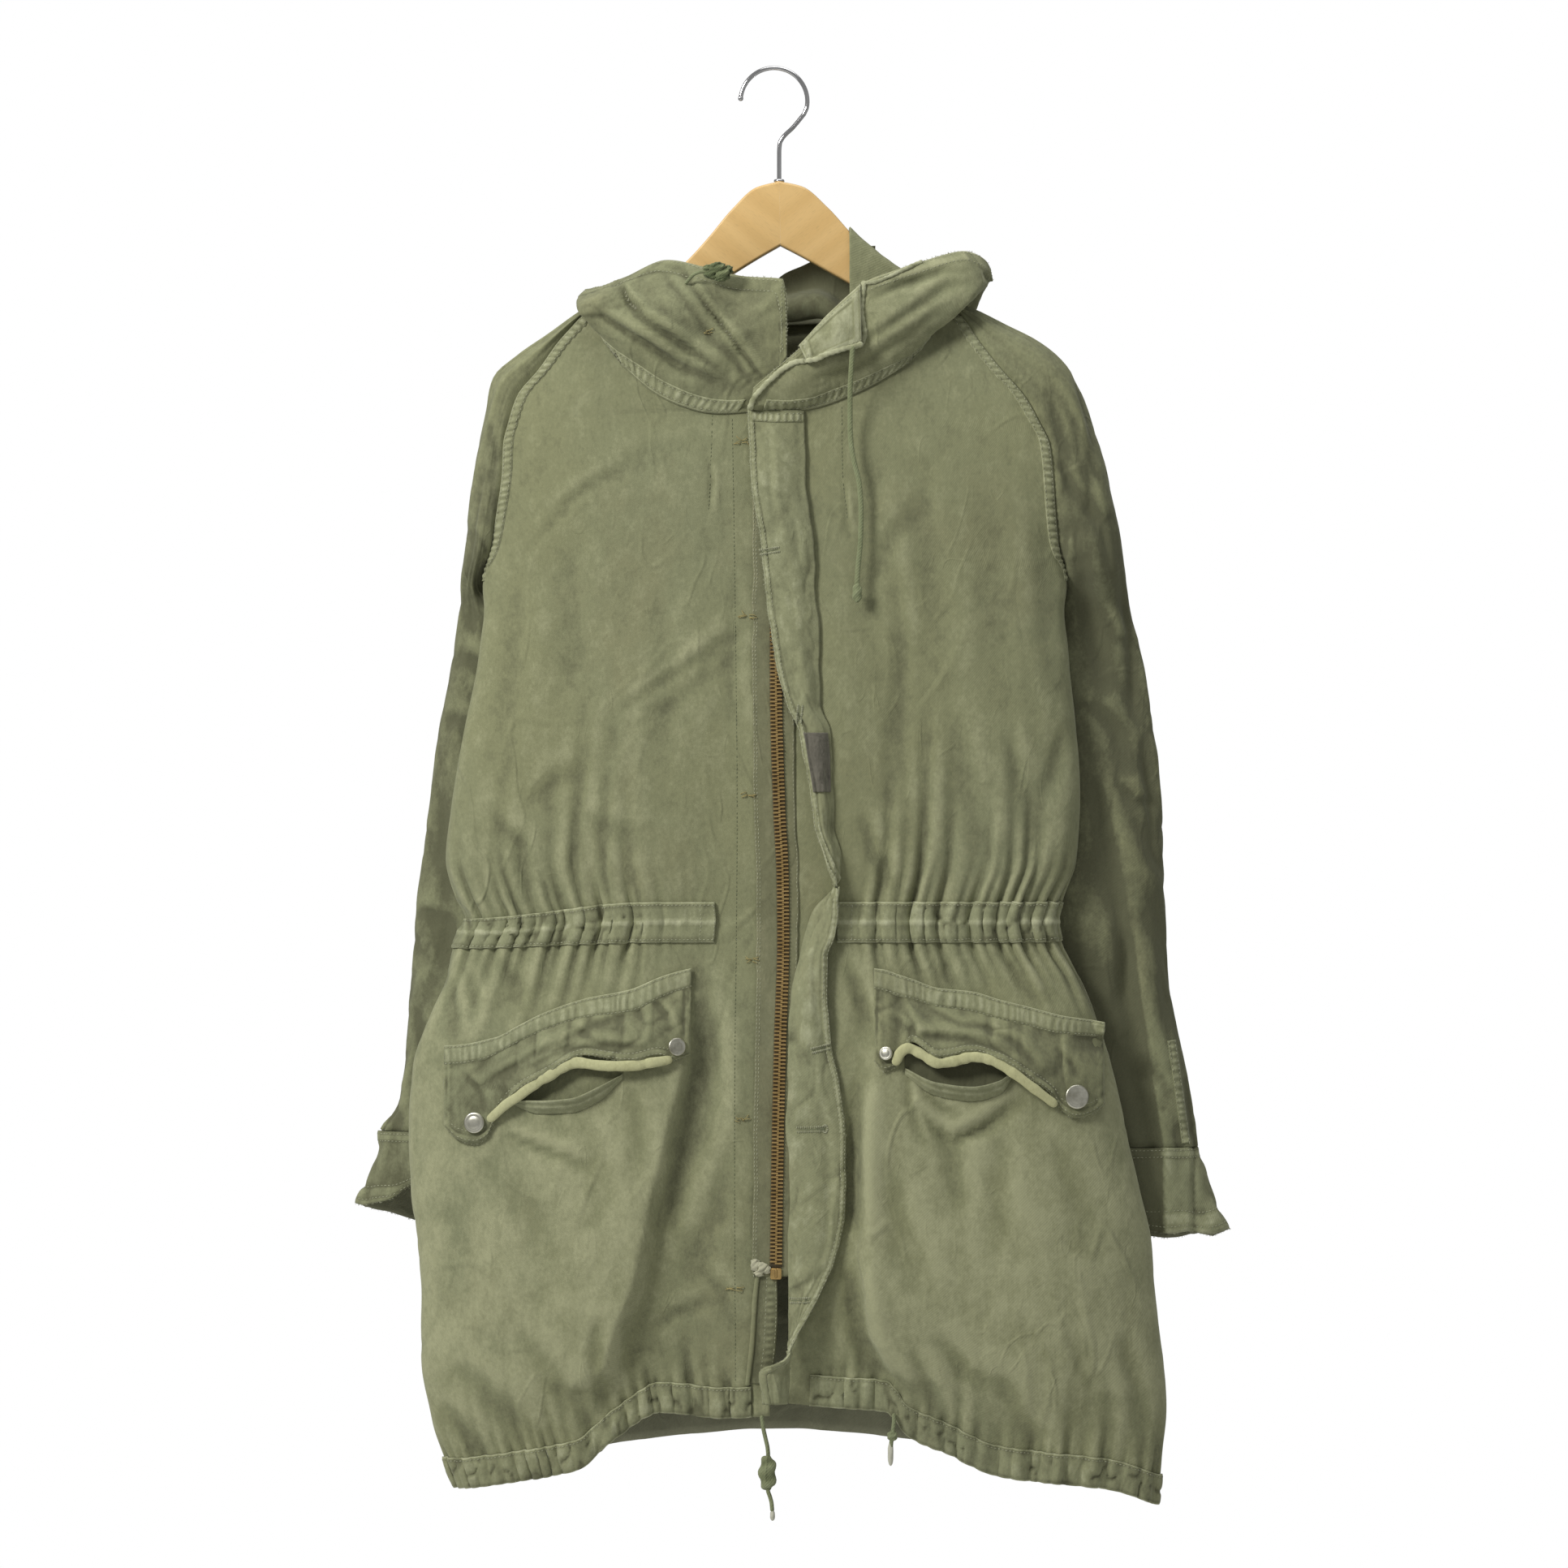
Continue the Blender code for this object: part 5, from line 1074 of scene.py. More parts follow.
def sleeveGrid(side):
    table = sleeveRight if side < 0 else sleeveLeft
    at = denseIndex([(row.inZ + row.outZ) / 2 for row in table], sleeves["rows"])
    value = columnsAt(table, at)
    shares = np.linspace(-1.0, 1.0, sleeves["columns"])
    grid, turns = [], []
    for k in range(len(at)):
        row = SleeveRow(*[value[key][k] for key in SleeveRow._fields])
        half = math.radians(min(row.turn, 179.7))
        reach = (row.outX - row.inX) / (1 - math.cos(half))
        turn = half * shares
        x = row.outX - reach * (1 - np.cos(turn))
        outward = (x - row.inX) / (row.outX - row.inX)
        z = row.inZ + (row.outZ - row.inZ) * (x - row.inX) / (row.outX - row.inX)
        y = row.middleY + row.halfDepth * np.sin(turn)
        x = x + sleeves["flare"][side] * outward * ease(-800, -915, z)
        holding = float(ease(172, 165, row.turn))
        if holding > 0:
            for end, face in ((0, -1), (-1, 1)):
                height = float(z[end])
                angle = endAngle(side, height, face)
                edgeX, edgeY = bodySection(side, np.array([height]), np.array([angle]), face)
                held = holding * np.clip(1 - abs(shares - shares[end]) / 0.8, 0, 1) ** 2
                x = x + held * (edgeX[0] + cloth["raglanGap"] - x[end])
                y = y + held * (edgeY[0] - y[end])
            tuck = holding * ease(sleeves["tuckReach"], 0.0, 1 - abs(shares))
            x = x - sleeves["tuckIn"] * tuck
            y = y - sleeves["tuckUnder"] * tuck * np.sign(shares)
        grid.append(np.stack([side * x, y, z], axis=1))
        turns.append(np.full(len(shares), row.turn))
    grid, turns = np.array(grid), np.array(turns)
    x, y, z = grid[..., 0], grid[..., 1], grid[..., 2]
    share = np.broadcast_to(shares, x.shape)
    seed = 90 + side
    # noise laid on a cylinder, so that it meets itself at the underarm
    ringX, ringY = np.sin(math.pi * share), np.cos(math.pi * share)
    broad = 1.1 * softNoise(1.6 * ringX + 7, z / 95.0 + 1.3 * ringY, seed)
    middle = 0.6 * softNoise(2.6 * ringX + z / 120.0 + 11, z / 42.0 + 2.4 * ringY, seed + 1)
    fine = 0.3 * softNoise(6.0 * ringX + 9, z / 20.0 + 5.0 * ringY, seed + 2)
    detail = sleeves["wrinkle"] * (broad + middle + fine)
    facing = ease(6.0, -6.0, y - y.mean(axis=1, keepdims=True))
    folds = creaseField(x, z, sleeveCreases[side])
    folds += crumpleField(x, z, seed + 3, sleeves["crumpleSizes"], 0.3) * ease(-330, -420, z)
    detail += sleeves["creaseDepth"] * folds * facing
    behind = [(*crease[:3], *((px - 14 * side, pz + 22) for px, pz in crease[3:]))
              for crease in sleeveCreases[side]]
    detail += 1.3 * creaseField(x, z, behind) * (1 - facing)
    detail += 1.3 * crumpleField(x, z, seed + 8, sleeves["crumpleSizes"], -0.2) * (1 - facing)
    recess = ease(-740, -800, z) * foldedUnder(side * x, z) if side > 0 else 0 * x
    detail -= 4.5 * recess * facing
    cuffPleat = np.exp(-np.maximum(z + 922, 0) / 26.0)
    detail += 1.4 * cuffPleat * np.cos(math.pi * 14 * share + 0.8 * side)
    edge = ease(0.0, 0.05, 1 - abs(share))
    lengths = lineLengths(grid)
    onRaglan = ease(150.0, 120.0, turns)
    sewn = (feltedBand(lengths, z, 4.0) + feltedBand(lengths[:, -1:] - lengths, z, 4.0)) * onRaglan * 0.5
    closed = 1 - ease(150.0, 175.0, turns) * (1 - edge)
    normal = gridNormals(grid, "away")
    finished = grid + normal * (detail * closed * ease(0.0, 0.08, 1 - abs(share)) + sewn)[..., None]
    # paler worn crests and seam bands, and painted shade in the hollows
    fade = wearAndHollowShade(detail, 4) + 0.1 * detail / 2.5 + 0.3 * (sewn > 0.1)
    # painted shadow: the sleeves grow darker downwards, the left one more; painted shade on the left
    # sleeve's part folded under, and less shade on the lit part beside it
    fade += sleeves["shade"][side] * (0.3 + 0.7 * ease(-230, -430, z))
    fade += 0.25 * (side > 0) * ease(-780, -860, z) * (1 - recess) - 0.6 * recess * facing
    # the lower end runs on inside the cuff
    last = finished[-1:]
    centre = last.mean(axis=1, keepdims=True)
    inward = np.array([2.6, 2.6, 0.0]) * np.sign(last - centre)
    tucked = [last - inward * 0.6 - (0, 0, 1.0), last - inward - (0, 0, 3.0), last - inward - (0, 0, 9.0)]
    finished = np.concatenate([finished, *tucked])
    fade = np.concatenate([fade, fade[-1:], fade[-1:], fade[-1:]])
    return {"grid": finished, "fade": fade, "rowZ": z.mean(axis=1), "share": shares}


sleevePanels = {}
for side in (-1, 1):
    sleevePanels[side] = sleeveGrid(side)
    addPanel("sleeve_" + sideKey(side), sleevePanels[side]["grid"], cloth["wall"], "away",
             fade=sleevePanels[side]["fade"])
print("sleeves ready")


cuffs = {"columns": 106, "rows": 32, "wall": 1.9, "pleats": 13, "pleatDepth": 0.8,
         "rimUp": {-1: 21.0, 1: 8.0}, "rimDown": {-1: 10.0, 1: 4.0}, "shade": {-1: -0.6, 1: -0.2}}
cuffPanels = {}


def cuffGrid(side):
    table = cuffRight if side < 0 else cuffLeft
    at = np.linspace(0, len(table) - 1, cuffs["rows"])
    value = columnsAt(table, at)
    turn = np.linspace(0, 2 * math.pi, cuffs["columns"], endpoint=False)
    grid = []
    for k in range(len(at)):
        row = CuffRow(*[value[key][k] for key in CuffRow._fields])
        x = (row.inX + row.outX) / 2 + (row.outX - row.inX) / 2 * np.cos(turn)
        z = row.inZ + (row.outZ - row.inZ) * (x - row.inX) / (row.outX - row.inX)
        grid.append(np.stack([side * x, row.middleY + row.halfDepth * np.sin(turn), z], axis=1))
    grid = np.array(grid)
    down = np.linspace(0, 1, cuffs["rows"])[:, None]
    seed = 120 + side
    around, across = np.sin(turn)[None, :] + 0 * down, np.cos(turn)[None, :] + 0 * down
    loose = 0.6 + 0.8 * ease(0.1, 0.9, down)
    detail = 2.2 * loose * softNoise(2.2 * around + 5, 1.8 * across + 2.2 * down, seed)
    detail += 1.1 * loose * softNoise(5 * around + 9, 4 * across + 5 * down, seed + 1)
    crease = 1 - np.abs(softNoise(3.1 * across + 1.6 * down + 4, 2.4 * around + 1.3 * down, seed + 2))
    detail -= 2.4 * loose * (crease**5 - 0.15)
    grid[..., 2] += 3.2 * down * softNoise(2.6 * across + 7, 2.1 * around, seed + 3)
    # the front of the rim is turned up towards the body, so that the inside of the back shows
    front = ease(0.25, -0.35, around)
    lift = ease(0.98, 0.1, across) if side < 0 else ease(0.9, -0.7, across)
    rim = cuffs["rimUp"][side] * lift + 3.0 * softNoise(3.2 * across + 2, 0, seed + 5)
    grid[..., 2] += (rim * front - cuffs["rimDown"][side] * (1 - front) * lift) * down**3
    recess = foldedUnder(grid[..., 0], grid[..., 2]) * front if side > 0 else 0 * around
    detail -= 3.5 * recess
    detail += cuffs["pleatDepth"] * np.exp(-4 * down) * np.cos(cuffs["pleats"] * turn)
    band = ease(0.0, 0.05, down) * ease(0.22, 0.17, down) + ease(0.78, 0.83, down) * ease(1.0, 0.97, down)
    detail += 0.5 * band
    finished = grid + gridNormals(grid, "away", True) * detail[..., None]
    # paler worn bands and rim; painted shade in the hollows, the stitched furrows and the part folded under,
    # and over the whole cuff by its shade value
    furrow = sum(bump(down, share, 0.022) for share in (0.05, 0.2, 0.8, 0.94))
    fade = wearAndHollowShade(detail, 3) + 0.25 * band - 0.6 * furrow + 0.7 * ease(0.965, 1.0, down) - 1.1 * recess
    fade += cuffs["shade"][side]
    return {"grid": finished, "fade": fade + 0 * turn}


for side in (-1, 1):
    cuffPanels[side] = cuffGrid(side)
    addPanel("cuff_" + sideKey(side), cuffPanels[side]["grid"], cuffs["wall"], "away", "cloth_light",
             "trim", ring=True, fade=cuffPanels[side]["fade"])
print("cuffs ready")


# The hood: a stiff folded collar in front, a pouch behind
hood = {"columns": 172, "rows": 48, "wrinkle": 0.9, "foldHeight": 3.0, "edgeBand": 13.0, "apron": 0.07,
        "onFront": 1.9, "creaseDepth": 1.5,
        "crumpleSizes": ((46, 40, 0.8, 6), (22, 24, 0.6, 4), (12, 14, 0.4, 3))}
hoodCreases = {
    -1: [
        (3.5, 3.2, 0.8, (762, 348), (772, 368), (796, 396), (850, 432), (905, 470)),
        (2.2, 4.0, 0.8, (768, 350), (774, 368), (790, 385)),
        (4.5, 2.6, 0.7, (722, 372), (770, 408), (840, 452), (918, 486)),
        (2.4, 3.0, 1.0, (846, 342), (880, 388), (914, 434), (942, 470)),
        (3, 1.8, 0.7, (712, 392), (742, 390), (790, 420), (850, 462)),
        (3.5, 1.6, 0.6, (812, 330), (838, 362), (880, 420), (922, 470)),
        (2.6, 1.4, 0.7, (868, 386), (898, 432), (928, 474)),
        (3, 1.6, 0.7, (718, 352), (748, 344), (764, 350)),
        (3, 1.2, 0.7, (800, 322), (840, 332), (858, 352)),
    ],
    1: [
        (4, 1.8, 0.6, (1070, 372), (1110, 352), (1160, 335), (1205, 335)),
        (5, 1.8, 0.6, (1060, 425), (1110, 395), (1170, 352), (1220, 345)),
        (5, 1.6, 0.5, (1000, 470), (1060, 452), (1120, 415), (1170, 375)),
        (3, 3.4, 0.5, (1215, 330), (1222, 341), (1228, 352)),
        (3, 1.4, 0.6, (1010, 440), (1040, 430), (1062, 410)),
    ],
}


def hoodGrid(side):
    table = hoodRight if side < 0 else hoodLeft
    at = np.linspace(0, len(table) - 1, hood["columns"])
    value = columnsAt(table, at)
    share = np.linspace(-hood["apron"], 1, hood["rows"])[:, None]
    out = value["swell"] * np.sin(math.pi * share)
    x = value["neckX"] + (value["faceX"] - value["neckX"]) * share
    y = value["neckY"] + (value["faceY"] - value["neckY"]) * share
    z = value["neckZ"] + (value["faceZ"] - value["neckZ"]) * share
    x = x + side * out * np.sin(math.pi * np.clip((at - 4.5) / 5.0, 0, 1))
    y = y - out * np.cos(math.pi * ease(6.5, 9.0, at))
    z = z - value["drop"] * np.sin(math.pi * share) ** 2
    folds = np.sin(at * 2.6 + 5.0 * share) * ease(1.5, 3.0, at) * ease(8.5, 7.0, at)
    y = y - hood["foldHeight"] * folds * np.sin(math.pi * share)
    # the neck edge lies over the top of the fronts
    lying = ease(0.06, -0.02, share) * ease(8.2, 7.4, at)
    near = layOn(frontTree, x[:9], z[:9])
    y[:9] += lying[:9] * (np.minimum(near - hood["onFront"], y[:9] + 6.0) - y[:9])
    grid = np.stack([x, y, z], axis=2)
    lengths = lineLengths(grid)
    upLength = columnLengths(grid)
    seed = 150 + side
    detail = 1.2 * softNoise(lengths / 42.0, upLength / 55.0, seed)
    detail += 0.5 * softNoise(lengths / 17.0, upLength / 26.0, seed + 1)
    detail += 0.2 * softNoise(lengths / 8.0, upLength / 10.0, seed + 2)
    detail *= hood["wrinkle"]
    detail += crumpleField(lengths, upLength, seed + 6, hood["crumpleSizes"], 0.6)
    facing = ease(9.0, 7.0, at)
    detail += hood["creaseDepth"] * creaseField(x, z, hoodCreases[side]) * facing
    held = ease(-0.02, 0.09, share) * ease(1.0, 0.9, share)
    fromFace = upLength[-1:] - upLength
    band = ease(0.0, 1.0, fromFace) * ease(hood["edgeBand"], hood["edgeBand"] - 1.2, fromFace)
    pucker = softNoise(lengths / 7.0, 0.5, seed + 4)
    sewn = band * (0.8 + 0.8 * pucker)
    finished = grid + gridNormals(grid, "away") * (detail * held + sewn)[..., None]
    # paler worn band and face edge; painted shade in the hollows and in the stitched furrows
    furrow = bump(fromFace, 1.6, 0.8) + bump(fromFace, hood["edgeBand"], 1.0) + bump(upLength, 5.5, 1.0)
    fade = wearAndHollowShade(detail, 4) + band * (0.15 + 0.5 * pucker) - 0.6 * furrow + 0.7 * ease(1.5, 0.0, fromFace)
    return {"grid": finished, "fade": fade, "at": at}


hoodPanels = {}
for side in (-1, 1):
    hoodPanels[side] = hoodGrid(side)
    addPanel("hood_" + sideKey(side), hoodPanels[side]["grid"], cloth["wall"], "away",
             fade=hoodPanels[side]["fade"] + (0.15 if side > 0 else -0.35))

# The fold of the hood that lies over the hanger's arm
armFold = {"ends": (61, 118), "columns": 40, "rows": 72}
ArmRow = namedtuple("ArmRow", "x top low")
armRows = [ArmRow(*row) for row in (
    (0, -97, -153), (20, -102, -164), (42, -121, -177), (62, -144, -189), (80, -163, -202),
    (112, -191, -223), (150, -217, -245), (188, -235, -262), (208, -248, -270), (218, -258, -268),
)]
FoldRow = namedtuple("FoldRow", "y drop lean")
foldRows = [FoldRow(*row) for row in ((12, 7, 8), (9, -1, 8), (4, -4.5, 8), (-4, -4.5, 8),
                                      (-9, 1, 8), (-11, 20, 8), (-12.5, 45, 5), (-12, 66, 5))]
hanger = {"thick": 13.0, "bevel": 2.5, "tilt": math.radians(1.2), "round": 8}


def armTop(x):
    return column(armRows, "top", x) + x * math.sin(hanger["tilt"])


def armFoldGrid():
    x = np.linspace(*armFold["ends"], armFold["columns"])
    y, drop, lean = columnsAt(foldRows, np.linspace(0, len(foldRows) - 1, armFold["rows"])).values()
    share = np.linspace(0, 1, armFold["columns"])
    z = armTop(x)[None, :] + lean[:, None] * share - drop[:, None]
    grid = np.stack([np.broadcast_to(x, z.shape), np.broadcast_to(y[:, None], z.shape), z], axis=2)
    detail = 0.5 * softNoise(x[None, :] / 13.0, z / 22.0, 181)
    detail += 0.25 * softNoise(x[None, :] / 5.0, z / 12.0, 182)
    # paler where the fold bulges, as worn cloth is, and painted shade where it dips
    return grid + gridNormals(grid, (0, -0.3, 1)) * (0.4 + detail)[..., None], 0.25 * detail


foldGrid, foldWearAndShade = armFoldGrid()
addPanel("hood_fold_left", foldGrid, cloth["wall"], (0, -0.3, 1), fade=foldWearAndShade)

# The throat's turned-out corner, with a frayed pale edge
throatTab = {
    "columns": ((17, -51.6, -243, 24, -55, -258), (44, -51.2, -214, 47, -56, -251),
                (70, -47.6, -190, 71, -52, -243)),
    "bulge": 2.5, "wall": 1.8, "across": 60, "down": 40,
}


def throatGrid():
    ends = np.array(throatTab["columns"], float)
    places = np.arange(3.0)
    at = np.linspace(0, 2, throatTab["across"])
    top = np.stack([smoothCurve(places, ends[:, k], at) for k in range(3)], axis=1)
    low = np.stack([smoothCurve(places, ends[:, k + 3], at) for k in range(3)], axis=1)
    share = np.linspace(0, 1, throatTab["down"])[:, None, None]
    grid = top[None] + (low - top)[None] * share
    grid[..., 1] -= throatTab["bulge"] * np.sin(math.pi * share[..., 0])
    u, v = np.broadcast_arrays(at[None, :], share[..., 0])
    detail = 0.7 * softNoise(u * 2.4, v * 2.6, 190) + 0.25 * softNoise(u * 6, v * 7, 191)
    edge = np.minimum(np.minimum(v, 1 - v) * 40, np.minimum(u, 2 - u) * 26)
    band = ease(0, 1, edge) * ease(7.5, 6.5, edge)
    grid = grid + gridNormals(grid, toFront) * (detail + 0.6 * band)[..., None]
    # a pale tone with a paler worn band and edge, paler on bulges as worn cloth is; painted shade in the
    # dips and the stitched furrows
    furrow = bump(edge, 1.5, 0.7) + bump(edge, 7.0, 0.9)
    return grid, 0.35 + 0.4 * detail + 0.3 * band - 0.7 * furrow + 0.8 * ease(1.3, 0, edge)


# The hood's inner layers, which show through the open neck: a rim far back and two soft rolls
innerHood = {"from": -42.0, "to": 84.0, "low": -262.0, "columns": 56, "rows": 84, "rollAt": -194.0}
RimRow = namedtuple("RimRow", "x rim roll")
rimRows = [RimRow(*row) for row in ((-42, -192, -203), (-12, -187, -201), (-4, -181, -199), (5, -174, -197),
                                    (21, -167, -193), (31, -162, -191), (42, -156, -194), (56, -151, -204),
                                    (84, -150, -215))]
LayerRow = namedtuple("LayerRow", "z y")
layerRows = [LayerRow(*row) for row in ((-280, 6), (-262, 5), (-246, 3), (-237, 1.5), (-232, 2.5), (-229, 6),
                                        (-226, 7), (-221, 5.5), (-216, 2), (-210, 1.6), (-204, 2.6),
                                        (-199, 5.5), (-196, 10), (-193, 19), (-190, 27), (-172, 31),
                                        (-140, 29))]


def innerGrid():
    x = np.linspace(innerHood["from"], innerHood["to"], innerHood["columns"])[None, :]
    share = np.linspace(0, 1, innerHood["rows"])[:, None]
    rim = column(rimRows, "rim", x)
    z = rim + (innerHood["low"] - rim) * share
    shift = (column(rimRows, "roll", x) - innerHood["rollAt"]) * ease(-236, -222, z)
    y = column(layerRows, "y", z - shift)
    y = y + 1.5 * softNoise(x / 26.0 + z / 60.0, z / 24.0, 260)
    y = y + 0.5 * softNoise(x / 9.0, z / 12.0 + x / 20.0, 261)
    grid = np.stack([np.broadcast_to(x, z.shape), y, z], axis=2)
    # painted shade: the inner layers are dark all over, darker still in the hollows behind the rolls
    hollow = bump(z - shift, -224, 8) + ease(-196, -190, z - shift)
    return grid, -0.8 - 0.8 * np.clip(hollow, 0, 1)


innerLayers, innerShade = innerGrid()
addShell("hood_inner", innerLayers, cloth["wall"], toFront, "body", "cloth", fade=innerShade, inside=0.0)

tabGrid, tabWearAndShade = throatGrid()
addPanel("throat_tab_left", tabGrid, throatTab["wall"], toFront, "cloth_light", "trim", fade=tabWearAndShade)
print("hood ready")


# Casings at the waist and the hem: the panel's own points, moved out, with gathers and a ridge
casing = {"wall": 1.3, "lift": 0.45, "sag": (15.0, 6.0), "crown": 1.6, "pucker": 1.1, "ridge": 1.2,
          "valley": 2.4, "pitch": 11.0, "hemRows": 16, "waistRows": 18}


# Gathers across a narrow strip: soft swellings and the pinched valleys between them
def puckers(lengths, v, seed, pitch):
    pleats = softNoise(lengths / (0.6 * pitch), 1.6 * v, seed)
    lean = 0.5 * softNoise(lengths / (3 * pitch), 1.3 * v, seed + 5)
    pinch = softNoise(lengths / (0.75 * pitch) + lean, 0.9 * v, seed + 6)
    return pleats, (1 - np.abs(pinch)) ** 6 * ease(-0.5, 0.2, pleats + 0.4 * lean)


def sampled(field, rowAt, columnAt):
    rowAt, columnAt = np.broadcast_arrays(rowAt, columnAt)
    i = np.clip(np.floor(rowAt).astype(int), 0, field.shape[0] - 2)
    j = np.clip(np.floor(columnAt).astype(int), 0, field.shape[1] - 2)
    s, t = (rowAt - i)[..., None], (columnAt - j)[..., None]
    return ((1 - s) * ((1 - t) * field[i, j] + t * field[i, j + 1])
            + s * ((1 - t) * field[i + 1, j] + t * field[i + 1, j + 1]))


def casingGrid(panel, outward, topLevel, lowLevel, columnsFrom, rowCount, ridgeAt, seed, columnsTo, side):
    rowZ = panel["rowZ"]
    index = np.arange(len(rowZ), dtype=float)
    rowAt = np.interp(-np.linspace(topLevel, lowLevel, rowCount), -rowZ, index)
    last = len(panel["share"]) - 1
    columnCount = int((columnsTo - columnsFrom) * last * 1.5)
    columnAt = np.linspace(columnsFrom * last, columnsTo * last, columnCount)
    v = np.linspace(0, 1, rowCount)[:, None]
    perMm = (rowAt[-1] - rowAt[0]) / (topLevel - lowLevel)
    sagged = casing["sag"] if side < 0 and ridgeAt < 1 else (0, 0)
    sag = ease(0.35, 1.0, np.linspace(columnsFrom, columnsTo, columnCount))[None, :]
    base = sampled(panel["grid"], rowAt[:, None] + perMm * sag * (sagged[0] * (1 - v) + sagged[1] * v),
                   columnAt[None, :])
    lengths = lineLengths(base)
    pleats, valley = puckers(lengths, v, seed, casing["pitch"])
    if side and ridgeAt < 1:
        held = gatherStart(side, np.linspace(columnsFrom, columnsTo, columnCount))[None, :]
        pleats, valley = pleats * (0.35 + 0.65 * held), valley * held
    fine = softNoise(lengths / 3.4, 3.1 * v, seed + 1)
    arch = np.sin(math.pi * v) ** 0.5
    rise = casing["crown"] * arch * (0.8 + 0.2 * pleats)
    rise += casing["pucker"] * (0.7 * pleats + 0.3 * fine) * arch
    rise += casing["ridge"] * bump(v, ridgeAt, 0.08) * (0.8 + 0.5 * fine) * (1 - 0.7 * valley)
    rise -= casing["valley"] * valley * arch
    normal = gridNormals(base, outward)
    under = base + normal * casing["lift"]
    outer = base + normal * (casing["lift"] + casing["wall"] + rise)[..., None]
    furrow = bump(v, 0.08, 0.05) + bump(v, 0.92, 0.05)
    # paler worn swellings, ridge and edges; painted shade in the pinched valleys and the stitched furrows
    fade = 0.4 * pleats - 1.4 * valley + 0.7 * bump(v, ridgeAt, 0.07) - 0.6 * furrow
    fade += 0.8 * (bump(v, 0, 0.035) + bump(v, 1, 0.035))
    return outer, under, fade


def addCasing(name, panel, outward, seed, columnsFrom, columnsTo=1.0, hem=False, side=0):
    top, low = (cloth["hemFlat"], cloth["hemLow"]) if hem else (cloth["waistTop"], cloth["waistLow"])
    rows = casing["hemRows"] if hem else casing["waistRows"]
    outer, under, fade = casingGrid(panel, outward, top, low, columnsFrom, rows, 2.0 if hem else 0.5,
                                    seed, columnsTo, side)
    mesh = shellMesh(name, outer, 1.0, outward, fade, under=under, inside=0.4)
    finishObject(name, mesh, "trim", (name,))
    return outer


casings = {}
for side in (-1, 1):
    key = sideKey(side)
    casings["waist", side] = addCasing("waist_casing_" + key, frontPanels[side], toFront, 200 + side,
                                       cloth["casingStart"], side=side)
    casings["hem", side] = addCasing("hem_casing_" + key, frontPanels[side], toFront, 210 + side,
                                     0.055, hem=True, side=side)
casings["waist", 0] = addCasing("waist_casing_back", backPanel, (0, 1, 0), 220, 1 / 24, 23 / 24)
casings["hem", 0] = addCasing("hem_casing_back", backPanel, (0, 1, 0), 230, 1 / 24, 23 / 24, hem=True)
print("casings ready")


# The fly flap, twisted below the waist, its free edge bound with a worn pale strip
fly = {
    "wall": 2.0, "lift": 4.5, "across": 36, "down": 320, "binding": 5.5, "bindingRise": 1.1,
    "creaseDepth": 1.1, "press": 1.6, "crumpleSizes": ((40, 70, 1.6, 4), (20, 34, 0.9, 3)),
    "top": -298.0, "low": -1154.0,
}
FlyRow = namedtuple("FlyRow", "z hingeX edgeX stand tip")
flyRows = [FlyRow(*row) for row in (
    (-1154, 6, -13, 4, 2), (-1128, 8, -16, 5, 2), (-1112, 8, 5, 3, 14), (-1090, 8, 18, 4, 12),
    (-1052, 8, 39, 5, 5), (-1026, 8, 50, 4, 2), (-992, 8, 57, 4, 2), (-925, 8, 58, 4, 2),
    (-880, 8, 52, 5, 2), (-832, 8, 43, 6, 3), (-800, 11, 41, 7, 4), (-770, 17, 41, 6, 6),
    (-749, 22, 48, 5, 8), (-728, 31, 51, 3, 12), (-712, 45, 51, 2, 16), (-698, 53, 46, 2, 14),
    (-680, 53, 38, 3, 9), (-655, 46, 30, 5, 6), (-629, 47, 27, 6, 4), (-600, 47, 22, 6, 3),
    (-574, 45, 17, 6, 2), (-550, 35, 6, 6, 1), (-520, 33, -2, 6, 1), (-470, 33, -10, 5, 1),
    (-420, 31, -16, 5, 1), (-360, 22, -24, 5, 1), (-302, 22, -27, 4, 1),
)]


flyCreases = [
    (3.5, 1.6, 0.8, (930, 515), (958, 556), (990, 580)),
    (3, 1.0, 0.8, (948, 520), (950, 600), (958, 690)),
    (4, 1.4, 0.6, (955, 600), (980, 640), (985, 700)),
    (4, 1.2, 0.6, (940, 700), (965, 740), (995, 760)),
    (5, 1.8, 0.6, (958, 770), (975, 820), (990, 880)),
    (4, 2.0, 0.7, (985, 1000), (1005, 1045), (1024, 1075)),
    (4, 1.6, 0.6, (1000, 1160), (1008, 1250), (1025, 1320)),
    (5, 1.8, 0.6, (1012, 1350), (1022, 1440), (1018, 1530)),
    (4, 1.8, 0.6, (965, 1600), (992, 1580), (1020, 1560)),
    (4, 1.8, 0.6, (945, 1650), (968, 1640), (990, 1612)),
]


def frontDepth(z):
    return column(bodyRows, "front", z)


def flyPoint(z, share, lift):
    hinge, edge, stand, tip = (column(flyRows, key, z) for key in ("hingeX", "edgeX", "stand", "tip"))
    z, share = np.broadcast_arrays(z, share)
    out = stand * np.sin(math.pi * share) + tip * share**1.5
    return np.stack([hinge + (edge - hinge) * share, -frontDepth(z) - lift - out, z + 0.0 * share], axis=-1)


